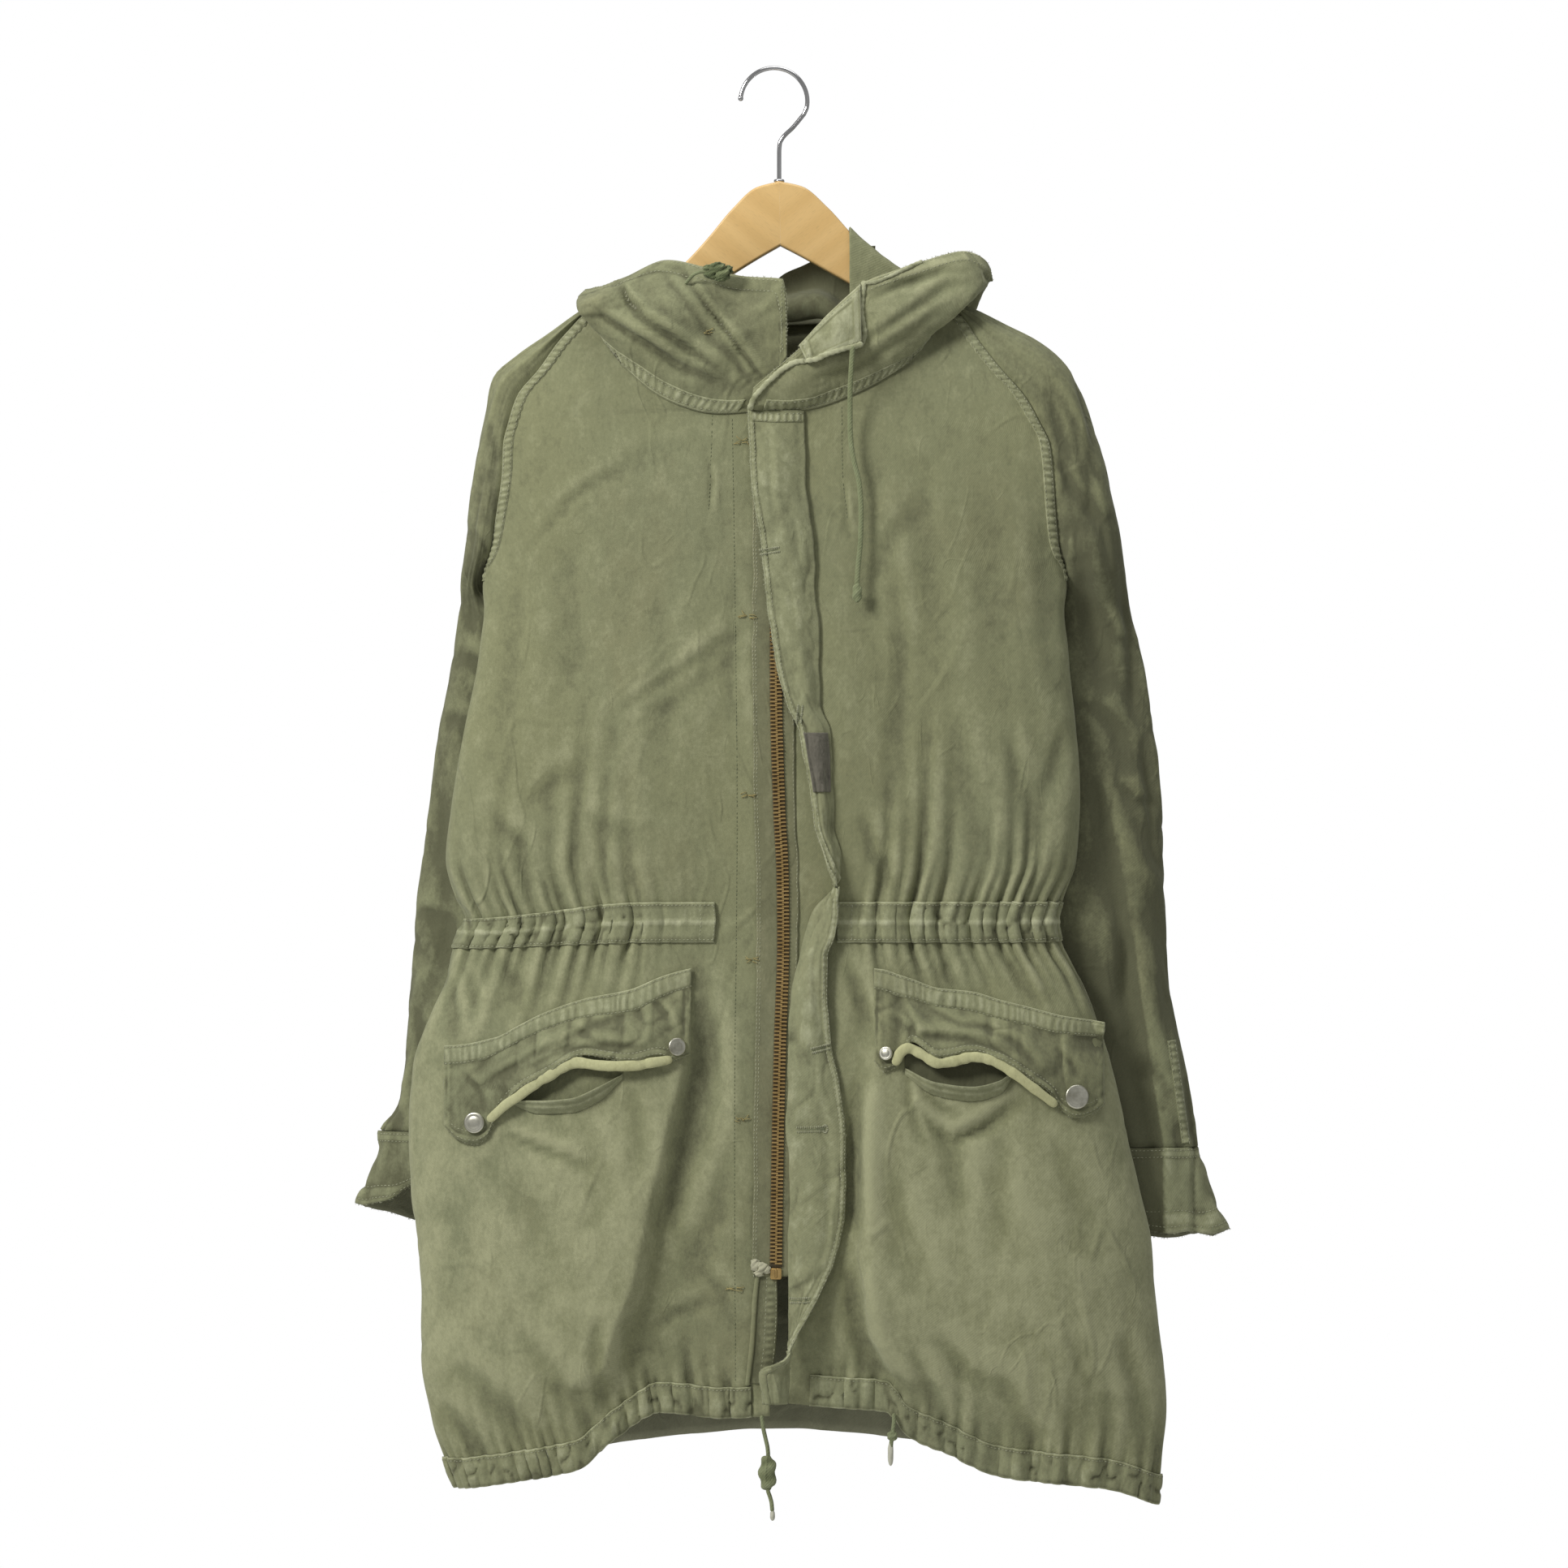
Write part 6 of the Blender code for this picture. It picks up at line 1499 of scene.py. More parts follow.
def flyGrid():
    z = np.linspace(fly["top"], fly["low"], fly["down"])[:, None]
    share = np.linspace(0, 1, fly["across"])[None, :]
    grid = flyPoint(z, share, fly["lift"])
    width = abs(column(flyRows, "edgeX", z) - column(flyRows, "hingeX", z))
    fromEdge = (1 - share) * width
    edgeWave = 1.3 * softNoise(z / 31.0, 0.4, 301) + 0.5 * softNoise(z / 9.0, 0.4, 302)
    grid[..., 0] += edgeWave * share**3 * np.clip(width / 30.0, 0.3, 1.0)
    hingeWave = 2.6 * softNoise(z / 38.0, 5.4, 311) + 0.9 * softNoise(z / 14.0, 7.4, 312)
    grid[..., 0] += hingeWave * (1 - share) ** 2 * np.clip(width / 30.0, 0.0, 1.0)
    grid[..., 1] += fly["press"] * (1 - share) ** 3
    detail = 0.9 * softNoise(share * 2.2, z / 36.0, 303) + 0.4 * softNoise(share * 5, z / 15.0, 304)
    detail += 0.16 * softNoise(share * 10, z / 6.0, 305)
    band = ease(0.0, 0.8, fromEdge) * ease(fly["binding"], fly["binding"] - 1.0, fromEdge)
    pucker = np.cos(2 * math.pi * z / 6.2 + 1.4 * softNoise(z / 30.0, 0.6, 306))
    pucker = pucker * (0.7 + 0.3 * softNoise(z / 14.0, 2.6, 308))
    # a soft inner fold, sharper through the twist
    innerFold = bump(share, 0.62 + 0.12 * np.sin(z / 60.0), 0.1)
    detail += -0.9 * innerFold * (0.6 + 0.4 * softNoise(z / 50.0, 0, 307))
    furrow = bump(fromEdge, 1.5, 0.7) + bump(fromEdge, fly["binding"] - 0.1, 0.9)
    twist = bump(z, -705.0, 26.0) + 0.7 * bump(z, -1104.0, 20.0)
    detail += 0.8 * twist * np.sin(13 * share + z / 9.0)
    detail += 1.25 * crumpleField(share * 50.0, z, 310, fly["crumpleSizes"], -0.3)
    total = detail * ease(0.0, 0.12, share) + band * (fly["bindingRise"] + 0.42 * pucker) - 0.35 * furrow
    # paler worn binding and free edge; painted shade in the hollows and in the furrows along the binding
    fade = wearAndHollowShade(detail, 4) + 0.15 * detail + band * (0.35 + 0.3 * pucker) - 0.6 * furrow
    fade += 0.6 * ease(1.3, 0.0, fromEdge) + 0.15 * innerFold
    normal = gridNormals(grid, toFront)
    total += fly["creaseDepth"] * creaseField(grid[..., 0], grid[..., 2], flyCreases)
    return grid + np.where(normal[..., 1:2] > 0, -normal, normal) * total[..., None], fade


# the flap turns over at the twist, so it is a shell above it and a shell below it
flySurface, flyWearAndShade = flyGrid()
turnRow = int(np.argmax(flySurface[:, -1, 0] > flySurface[:, 0, 0]))
flyParts = (flySurface[:turnRow + 1], flySurface[turnRow:])
flyShells = [shellMesh("flyShell", part, fly["wall"], toFront, fades, inside=0.0)
             for part, fades in zip(flyParts, (flyWearAndShade[:turnRow + 1], flyWearAndShade[turnRow:]))]
flyTree = surfaceOf(flySurface)

patch = {"top": -576.0, "low": -627.0, "from": 0.12, "to": 0.88, "wall": 1.3, "lift": 0.5}


def patchGrid():
    z = np.linspace(patch["top"], patch["low"], 60)[:, None]
    share = np.linspace(patch["from"], patch["to"], 34)[None, :]
    grid = flyPoint(z, share, fly["lift"])
    depth = layOn(flyTree, grid[..., 0], grid[..., 2])
    nap = 0.25 * softNoise(share * 40, z / 1.1, 320) + 0.3 * softNoise(share * 6, z / 9, 321)
    grid[..., 1] = depth - patch["lift"] - patch["wall"] - nap
    under = grid.copy()
    under[..., 1] = depth - patch["lift"] + 0.3
    return grid, under


patchSurface, patchUnder = patchGrid()
finishObject("fly_patch", shellMesh("fly_patch", patchSurface, 1.0, toFront, 0.2, under=patchUnder,
                                    inside=0.0), "pile", ("fly_patch",))
print("fly ready")


# Zip: two tapes, the chain's teeth and its ends
zipper = {
    "top": -312.0, "low": -1036.0, "tapeRight": -21.5, "tapeLeft": 14.5, "chainHalf": 2.6,
    "tapeLift": 1.8, "tapeWall": 0.9, "pitch": 3.3, "toothWide": 6.0, "toothHigh": 1.25, "toothDeep": 2.2,
    "wander": ((-312, -1.5), (-528, -2.8), (-640, 0.0), (-700, 3.0), (-755, 3.5), (-845, 0.7),
               (-940, -1.4), (-1036, -2.8)),
}


def chainMiddle(z):
    places = [row[0] for row in zipper["wander"]][::-1]
    values = [row[1] for row in zipper["wander"]][::-1]
    return smoothCurve(places, values, z)


def tapeGrid(inner, outer, seed):
    z = np.linspace(zipper["top"], zipper["low"] - 8, 300)[:, None]
    share = np.linspace(0, 1, 14)[None, :]
    x = (inner + chainMiddle(z) * 0.6) + (outer - inner) * share
    x = x + (0.7 * softNoise(z / 22.0, 0, seed) + 0.25 * softNoise(z / 6.0, 0, seed + 1)) * share
    out = zipper["tapeLift"] + 0.35 * softNoise(z / 14.0, 1.3 * share, seed + 2)
    y = -frontDepth(z) - out + 0 * share
    fade = 0.35 * bump(share, 1.0, 0.12) + 0.25 * softNoise(z / 30.0, share, seed + 3)
    return np.stack([x, y, z + 0 * share], axis=2), fade


tapes = {}
for key, inner, outer, seed in (("zip_tape_right", -zipper["chainHalf"] - 0.3, zipper["tapeRight"], 330),
                                ("zip_tape_left", zipper["chainHalf"] + 0.3, zipper["tapeLeft"], 340)):
    grid, fade = tapeGrid(inner, outer, seed)
    addPanel(key, grid, zipper["tapeWall"], toFront, "tape", "tape", fade=fade)
    tapes[-1 if inner < 0 else 1] = grid
# the tapes' inner edges, on which the teeth are clamped, coloured dirty brown and darkened further as
# painted shade between the teeth
bedZ = np.linspace(zipper["top"] - 10, zipper["low"], 200)[:, None]
bedX = chainMiddle(bedZ) + np.linspace(-5.4, 5.4, 8)[None, :]
shadeBedGrid = np.stack([bedX, -frontDepth(bedZ) - zipper["tapeLift"] - 0.75 + 0 * bedX, bedZ + 0 * bedX], axis=2)
addShell("zip_bed", shadeBedGrid, 0.5, toFront, "bed", "tape", inside=0.0)
tapeTree = surfaceOf(tapes[-1], tapes[1], frontPanels[-1]["grid"])


# Small pieces set along a line or over a surface, each on a point that carries its own axes
def scatterTree():
    tree, enter = newGroup(
        "smallPieces",
        [("Geometry", "Geometry", None), ("Length", "Float", 0.003), ("Width", "Float", 0.0008),
         ("Height", "Float", 0.0006), ("Vary", "Float", 0.15), ("Square", "Bool", False),
         ("Seed", "Int", 7), ("Material", "Material", None)],
        [("Geometry", "Geometry")], "GeometryNodeTree")
    bead = put(tree, "GeometryNodeMeshUVSphere", {"Segments": 6, "Rings": 3, "Radius": 0.5})
    block = put(tree, "GeometryNodeMeshCube", {"Size": (1, 1, 1)})
    shape = put(tree, "GeometryNodeSwitch", {"Switch": enter["Square"], "False": bead.outputs["Mesh"],
                                             "True": block.outputs["Mesh"]}, input_type="GEOMETRY")
    size = put(tree, "ShaderNodeCombineXYZ",
               {"X": enter["Length"], "Y": enter["Width"], "Z": enter["Height"]})
    low, high = (calculate(tree, operation, 1.0, enter["Vary"]) for operation in ("SUBTRACT", "ADD"))
    chance = put(tree, "FunctionNodeRandomValue", {2: low, 3: high, "Seed": enter["Seed"]},
                 data_type="FLOAT")
    scaled = put(tree, "ShaderNodeVectorMath", {0: size.outputs[0], "Scale": chance.outputs[1]},
                 operation="SCALE")
    along, up = (put(tree, "GeometryNodeInputNamedAttribute", {"Name": key},
                     data_type="FLOAT_VECTOR").outputs["Attribute"] for key in ("along", "up"))
    turned = put(tree, "FunctionNodeAxesToRotation", {"Primary Axis": up, "Secondary Axis": along},
                 primary_axis="Z", secondary_axis="X")
    placed = put(tree, "GeometryNodeInstanceOnPoints", {
        "Points": enter["Geometry"], "Instance": shape.outputs["Output"],
        "Rotation": turned.outputs["Rotation"], "Scale": scaled.outputs[0]})
    real = put(tree, "GeometryNodeRealizeInstances", {"Geometry": placed.outputs["Instances"]})
    coloured = put(tree, "GeometryNodeSetMaterial", {"Geometry": real.outputs["Geometry"],
                                                     "Material": enter["Material"]})
    put(tree, "NodeGroupOutput", {0: coloured.outputs["Geometry"]})
    return tree


smallPieces = scatterTree()


def setPieces(name, points, along, up, finish, length, width, height, vary=0.15, square=False,
              seed=7, replaced=()):
    mesh = bpy.data.meshes.new(name + "Points")
    mesh.from_pydata((np.asarray(points) * mm).tolist(), [], [])
    for key, values in (("along", along), ("up", up)):
        attribute = mesh.attributes.new(key, "FLOAT_VECTOR", "POINT")
        attribute.data.foreach_set("vector", np.asarray(values, np.float32).ravel())
    carrier = bpy.data.objects.new(name + "Points", mesh)
    scene.collection.objects.link(carrier)
    modifier = carrier.modifiers.new("pieces", "NODES")
    modifier.node_group = smallPieces
    values = {"Length": length * mm, "Width": width * mm, "Height": height * mm, "Vary": vary,
              "Square": square, "Seed": seed, "Material": finishes[finish]}
    for item in smallPieces.interface.items_tree:
        if item.in_out == "INPUT" and item.name in values:
            modifier[item.identifier] = values[item.name]
    result = bpy.data.meshes.new_from_object(carrier.evaluated_get(bpy.context.evaluated_depsgraph_get()))
    bpy.data.objects.remove(carrier)
    result.name = name
    if not result.materials:
        result.materials.append(finishes[finish])
    result.shade_smooth()
    if square:
        result.shade_flat()
    return finishObject(name, result, finish, replaced)


def zipTeeth():
    count = int((zipper["top"] - 12 - zipper["low"]) / zipper["pitch"])
    points, along, up = [], [], []
    for k in range(count):
        for half in (-1, 1):
            z = zipper["top"] - 12 - zipper["pitch"] * (k + 0.25 + (0.5 if half > 0 else 0.0))
            middle = float(chainMiddle(z))
            slope = float(chainMiddle(z + 2) - chainMiddle(z - 2)) / 4
            points.append((middle + half * 2.2, -float(frontDepth(z)) - zipper["tapeLift"] - 0.9, z))
            along.append((1.0, 0.0, -slope))
            up.append((0.0, -1.0, 0.0))
    return points, along, up


points, along, up = zipTeeth()
setPieces("zip_teeth", points, along, up, "brass", zipper["toothWide"], zipper["toothHigh"],
          zipper["toothDeep"], 0.04, True, 11, ("zip_chain",))


# Tubes along a route, with the cord's own map for its braid
def tubeMesh(name, path, radius, sides=12, flat=1.0, capRound=True, twist=0.0):
    path = np.asarray(path, float)
    tangent = np.gradient(path, axis=0)
    tangent /= np.linalg.norm(tangent, axis=1, keepdims=True)
    guide = np.array((0.0, -1.0, 0.0))
    side = np.cross(tangent, guide)
    side /= np.maximum(np.linalg.norm(side, axis=1, keepdims=True), 1e-9)
    front = np.cross(side, tangent)
    radius = np.broadcast_to(np.asarray(radius, float), (len(path),)).copy()
    ends = []
    if capRound:
        for k, step in ((0, -1), (-1, 1)):
            lead = [path[k] + tangent[k] * step * radius[k] * math.sin(a) for a in (0.5, 1.0, 1.4)]
            size = [radius[k] * math.cos(a) for a in (0.5, 1.0, 1.4)]
            ends.append((lead, size))
        first, last = ends
        path = np.concatenate([first[0][::-1], path, last[0]])
        radius = np.concatenate([first[1][::-1], radius, last[1]])
        side = np.concatenate([[side[0]] * 3, side, [side[-1]] * 3])
        front = np.concatenate([[front[0]] * 3, front, [front[-1]] * 3])
    turn = np.linspace(0, 2 * math.pi, sides, endpoint=False)
    along = runAlong(path)
    spin = turn[None, :] + twist * along[:, None]
    ringed = (path[:, None] + radius[:, None, None] * (np.cos(spin)[..., None] * side[:, None]
                                                       + flat * np.sin(spin)[..., None] * front[:, None]))
    points = np.concatenate([ringed.reshape(-1, 3), path[:1], path[-1:]])
    rings = len(path)
    index = np.arange(rings * sides).reshape(rings, sides)
    wrapped = np.concatenate([index, index[:, :1]], axis=1)
    quads = np.stack([wrapped[:-1, :-1], wrapped[1:, :-1], wrapped[1:, 1:], wrapped[:-1, 1:]],
                     axis=2).reshape(-1, 4)
    tris = [(rings * sides, int(wrapped[0, k]), int(wrapped[0, k + 1])) for k in range(sides)]
    tris += [(rings * sides + 1, int(wrapped[-1, k + 1]), int(wrapped[-1, k])) for k in range(sides)]
    size = float(np.median(radius))
    uv = np.stack(np.broadcast_arrays(turn[None, :] * size, along[:, None]), axis=2).reshape(-1, 2)
    uv = np.concatenate([uv, uv[:1], uv[-1:]])
    mesh = meshFrom(name, points, quads, uv, np.full(len(points), 0.5), np.zeros(len(points)), tris)
    fixNormals(mesh)
    return mesh


def fixNormals(mesh):
    form = bmesh.new()
    form.from_mesh(mesh)
    bmesh.ops.recalc_face_normals(form, faces=form.faces)
    form.to_mesh(mesh)
    form.free()


# Lumps: a rounded form with knotted ridges or frayed dents
def lumpMesh(name, centre, size, ridges=0.0, turns=3.0, down=20, across=32, seed=1, rough=0.0):
    polar = np.linspace(0.02, math.pi - 0.02, down)[:, None]
    turn = np.linspace(0, 2 * math.pi, across, endpoint=False)[None, :]
    reach = np.sin(polar) ** 0.8
    wave = 1 + ridges * np.cos(turns * turn + 6.0 * polar) + rough * softNoise(
        2.5 * np.sin(turn) + 4, 2.5 * np.cos(turn) + 3 * polar, seed)
    x = centre[0] + 0.5 * size[0] * reach * wave * np.cos(turn)
    y = centre[1] + 0.5 * size[1] * reach * wave * np.sin(turn)
    z = centre[2] + 0.5 * size[2] * np.cos(polar) * (1 + 0.3 * (wave - 1))
    grid = np.stack([x, y, z], axis=2)
    points = np.concatenate([grid.reshape(-1, 3), grid[:1].mean(axis=1), grid[-1:].mean(axis=1)])
    index = np.arange(down * across).reshape(down, across)
    index = np.concatenate([index, index[:, :1]], axis=1)
    quads = np.stack([index[:-1, :-1], index[1:, :-1], index[1:, 1:], index[:-1, 1:]], axis=2).reshape(-1, 4)
    last = down * across
    tris = [(last, int(index[0, k]), int(index[0, k + 1])) for k in range(across)]
    tris += [(last + 1, int(index[-1, k + 1]), int(index[-1, k])) for k in range(across)]
    uv = np.stack(np.broadcast_arrays(turn * size[0] / 2, polar * size[2] / 2), axis=2).reshape(-1, 2)
    uv = np.concatenate([uv, uv[:1], uv[-1:]])
    # paler on the ridges, as worn cord is, with painted shade in the grooves
    fade = np.concatenate([(0.5 + 1.5 * (wave - 1)).ravel(), [0.5, 0.5]])
    mesh = meshFrom(name, points, quads, uv, fade, np.zeros(len(points)), tris)
    fixNormals(mesh)
    return mesh


def boxMesh(name, centre, size, bevel):
    form = bmesh.new()
    bmesh.ops.create_cube(form, size=1.0)
    for vertex in form.verts:
        vertex.co = Vector([centre[k] + size[k] * vertex.co[k] for k in range(3)]) * mm
    bmesh.ops.bevel(form, geom=list(form.edges), offset=bevel * mm, segments=3, affect="EDGES")
    bmesh.ops.recalc_face_normals(form, faces=form.faces)
    mesh = bpy.data.meshes.new(name)
    form.to_mesh(mesh)
    form.free()
    mesh.shade_smooth()
    mesh.set_sharp_from_angle(angle=math.radians(40))
    return mesh


def joinMeshes(name, meshes):
    parts = []
    for k, mesh in enumerate(meshes):
        part = bpy.data.objects.new(f"{name}Part{k}", mesh)
        scene.collection.objects.link(part)
        parts.append(part)
    with bpy.context.temp_override(active_object=parts[0], selected_editable_objects=parts,
                                   selected_objects=parts, object=parts[0]):
        bpy.ops.object.join()
    joined = parts[0].data
    bpy.data.objects.remove(parts[0])
    joined.name = name
    return joined


def zipEnds():
    z = zipper["low"] - 5.5
    y = -float(frontDepth(z)) - zipper["tapeLift"]
    middle = float(chainMiddle(zipper["low"]))
    box = boxMesh("bottomBox", (middle, y - 0.6, z), (9.4, 3.4, 9.6), 0.7)
    pin = boxMesh("bottomPin", (middle + 0.2, y - 2.2, z + 0.4), (2.2, 1.0, 8.0), 0.4)
    finishObject("zip_bottom_box", joinMeshes("zip_bottom_box", [box, pin]), "brass",
                 ("zip_bottom_box",))
    z = zipper["top"] - 5.2
    y = -float(frontDepth(z)) - zipper["tapeLift"]
    middle = float(chainMiddle(z))
    body = boxMesh("sliderBody", (middle, y - 0.5, z), (9.4, 3.0, 11.5), 0.9)
    bridge = boxMesh("sliderBridge", (middle, y - 2.3, z + 0.6), (2.6, 1.4, 8.0), 0.5)
    slider = joinMeshes("zip_slider", [body, bridge])
    finishObject("zip_slider", slider, "brass", ("zip_slider",))


zipEnds()
finishObject("fly_flap", joinMeshes("fly_flap", flyShells), "trim", ("fly_flap",))
print("zip ready")


# Pockets: puckered facing band, flap, pale piping, gaping lip and turned snaps
PocketRow = namedtuple("PocketRow", "x bandTop bandLow flapLow stand")
LipRow = namedtuple("LipRow", "x top low stand")
SnapPlace = namedtuple("SnapPlace", "side x z radius")
pocketRows = {
    -1: [PocketRow(*row) for row in (
        (289, -846, -863, -915, 2), (276, -845, -862, -927, 2), (263, -843, -860, -930, 2),
        (251, -840, -857, -924, 2), (243, -838, -853, -905, 4), (226, -829, -844, -885, 8),
        (202, -817, -833, -871, 10), (167, -805, -822, -853, 10), (128, -797, -817, -858, 8),
        (104, -787, -806, -854, 5), (92, -783, -801, -857, 3), (76, -779, -796, -853, 3))],
    1: [PocketRow(*row) for row in (
        (281, -826, -840, -897, 2), (269, -824, -838, -905, 2), (256, -822, -837, -908, 2),
        (244, -820, -836, -902, 2), (236, -818, -835, -889, 5), (214, -812, -829, -872, 9),
        (190, -806, -824, -857, 12), (166, -799, -817, -850, 13), (137, -796, -813, -855, 12),
        (114, -788, -806, -842, 8), (102, -784, -803, -862, 3), (90, -780, -799, -867, 3),
        (82, -779, -797, -858, 3))],
}
lipRows = {
    -1: [LipRow(*row) for row in ((232, -892, -895, 1), (206, -892, -904, 9), (180, -890, -903, 11),
                                  (155, -880, -893, 9), (134, -869, -873, 1))],
    1: [LipRow(*row) for row in ((202, -867, -871, 1), (190, -875, -887, 9), (166, -880, -893, 13),
                                 (134, -876, -888, 11), (108, -864, -870, 1))],
}
snapPlaces = {
    "snap_right_outer": SnapPlace(-1, 262, -911.5, 8.7), "snap_right_inner": SnapPlace(-1, 88, -846, 7.5),
    "snap_left_outer": SnapPlace(1, 256, -889.5, 10.0), "snap_left_inner": SnapPlace(1, 92, -851.5, 8.0),
}
pocket = {
    "across": 106, "bandDown": 16, "flapDown": 40, "lipDown": 16, "bandWall": 1.3, "flapWall": 2.0,
    "lift": 1.4, "pucker": 0.9, "creaseDepth": 1.3, "bulge": 2.4,
    "crumpleSizes": ((44, 30, 1.7, 4), (22, 18, 1.0, 3)),
    "pipingWide": 10.4, "lipLift": 1.2, "snapSides": 40, "shade": -0.4,
}
pipingLines = {
    -1: ((248, -908), (236, -897), (225, -889), (200, -872), (174, -859.5), (151, -862), (129, -862),
         (110, -859.5), (95, -857)),
    1: ((236, -895), (214, -878), (191, -861.5), (178, -856), (166, -854.5), (150, -858), (137, -860),
        (122, -852), (110.5, -847), (104, -851), (100.5, -858)),
}


flapCreases = {
    -1: [(4, 1.6, 0.9, (590, 1340), (660, 1300), (740, 1262), (815, 1240)),
         (3.5, 1.4, 0.8, (640, 1320), (700, 1292), (770, 1290)),
         (3.5, 1.4, 0.8, (700, 1262), (740, 1285), (800, 1292)),
         (3, 1.2, 0.6, (570, 1320), (590, 1340), (600, 1370)),
         (3, 1.6, 0.8, (800, 1225), (822, 1250), (830, 1275))],
    1: [(4, 1.8, 0.9, (1095, 1250), (1130, 1275), (1190, 1280), (1250, 1300)),
        (3, 1.6, 0.8, (1110, 1240), (1125, 1262), (1120, 1285)),
        (4, 1.6, 0.8, (1200, 1260), (1250, 1285), (1290, 1330)),
        (3, 1.2, 0.8, (1140, 1240), (1180, 1262), (1230, 1268)),
        (3, 1.2, 0.6, (1300, 1290), (1318, 1310), (1330, 1330))],
}


def softLevel(side, x, z):
    # the front's broad form under a pocket, without its small creases
    depth = layOn(frontTree, side * x, z)
    return blurred(np.atleast_2d(depth), 3)


def pocketParts(side):
    key, rows, lips = sideKey(side), pocketRows[side], lipRows[side]
    seed = 400 + 20 * side
    x = np.linspace(rows[0].x, rows[-1].x, pocket["across"])[None, :]
    v = np.linspace(0, 1, pocket["bandDown"])[:, None]
    z = column(rows, "bandTop", x) * (1 - v) + column(rows, "bandLow", x) * v
    xs = x + 0 * v
    base = softLevel(side, xs, z)
    jitter = 4.2 * softNoise(xs / 22.0, 0.8 * v + 0.5, seed) + 0.9 * v
    pleats = np.cos(2 * math.pi * xs / 6.6 + jitter) * (0.6 + 0.4 * softNoise(xs / 12.0, v + 0.3, seed + 1))
    valley = np.clip(-pleats, 0, 1) ** 2
    arch = np.sin(math.pi * v) ** 0.5
    out = pocket["lift"] + pocket["bandWall"] + arch * (1.9 + 0.8 * pocket["pucker"] * pleats)
    furrow = bump(v, 0.1, 0.06) + bump(v, 0.9, 0.06)
    out = out - 0.3 * furrow
    out += 0.5 * softNoise(xs / 30.0, v, seed + 2)
    grid = np.stack([side * xs, base - out, z], axis=2)
    # paler worn puckers and edges; painted shade in the pinched valleys and the stitched furrows
    fade = 0.15 + 0.35 * pleats * arch - 0.5 * valley * arch - 0.8 * furrow
    fade += 0.7 * (bump(v, 0, 0.05) + bump(v, 1, 0.05))
    bandSurface = grid
    addPanel("pocket_band_" + key, grid, pocket["bandWall"], toFront, "cloth_light", "trim", fade=fade)

    v = np.linspace(0, 1, pocket["flapDown"])[:, None]
    top = column(rows, "bandLow", x) + 2.5
    lowEdge = column(rows, "flapLow", x)
    z = top * (1 - v) + lowEdge * v
    xs = x + 0 * v
    base = softLevel(side, xs, z)
    sag = column(rows, "stand", x) * v**0.8
    detail = 1.0 * softNoise(xs / 24.0, 1.6 * v, seed + 4)
    detail += 0.5 * softNoise(xs / 10.0 + v, 3.0 * v, seed + 5)
    detail += 0.2 * softNoise(xs / 4.5, 7 * v, seed + 6)
    detail += 1.2 * crumpleField(xs, z, seed + 7, pocket["crumpleSizes"], 0.5)
    height = (top - lowEdge) * (1 - v)
    edgeX = np.minimum(xs - rows[-1].x, rows[0].x - xs)
    edge = np.minimum(height, edgeX)
    hemBand = ease(0.0, 0.8, edge) * ease(7.0, 6.0, edge)
    furrow = bump(edge, 1.4, 0.7) + bump(edge, 6.6, 0.9)
    pucker = softNoise(xs / 4.5, 0.2 * height, seed + 11)
    pleats, valley = puckers(xs, 0.5 * v, seed + 12, 17.0)
    detail += 1.2 * pleats * ease(0.9, 0.2, v) - 2.6 * valley * ease(1.0, 0.35, v)
    detail += pocket["creaseDepth"] * creaseField(side * xs, z, flapCreases[side])
    sag = sag + pocket["bulge"] * np.sin(math.pi * v) * ease(0, 14, edgeX)
    out = pocket["lift"] + pocket["flapWall"] * 0.4 + sag + detail * ease(0, 0.1, v)
    out = out + (0.9 + 0.4 * pucker) * hemBand - 0.3 * furrow
    grid = np.stack([side * xs, base - out, z], axis=2)
    # paler worn hem band and edge; painted shade in the hollows, the stitched furrows, along the top under
    # the band, and over the whole flap by the pocket's shade value
    fade = wearAndHollowShade(detail, 4) + 0.15 * detail + hemBand * (0.3 + 0.4 * pucker) - 0.6 * furrow
    fade += 0.6 * ease(1.3, 0.0, edge) - 0.5 * ease(0.06, 0.0, v) + pocket["shade"]
    addPanel("pocket_flap_" + key, grid, pocket["flapWall"], toFront, fade=fade)
    flapSurface = grid

    line = np.array(pipingLines[side], float)[::-1]
    places = np.arange(len(line), dtype=float)
    at = np.linspace(0, len(line) - 1, 110)
    px, pz = (smoothCurve(places, line[:, k], at) for k in range(2))
    depth = softLevel(side, px[None, :], column(rows, "flapLow", px)[None, :])[0]
    py = depth - pocket["lift"] - column(rows, "stand", px) - 0.6 - 1.8 * ease(116, 108, px)
    wob = 0.35 * softNoise(px / 9.0, 0.3, seed + 8)
    path = np.stack([side * px, py, pz + wob], axis=1)
    radius = 0.5 * pocket["pipingWide"] * (0.88 + 0.1 * softNoise(px / 5.0, 0.7, seed + 9))
    radius *= 0.78 + 0.22 * np.sin(math.pi * np.linspace(0, 1, len(px))) ** 0.4
    mesh = tubeMesh("pocket_piping_" + key, path, radius, 14, 0.42)
    finishObject("pocket_piping_" + key, mesh, "piping", ("pocket_piping_" + key,))

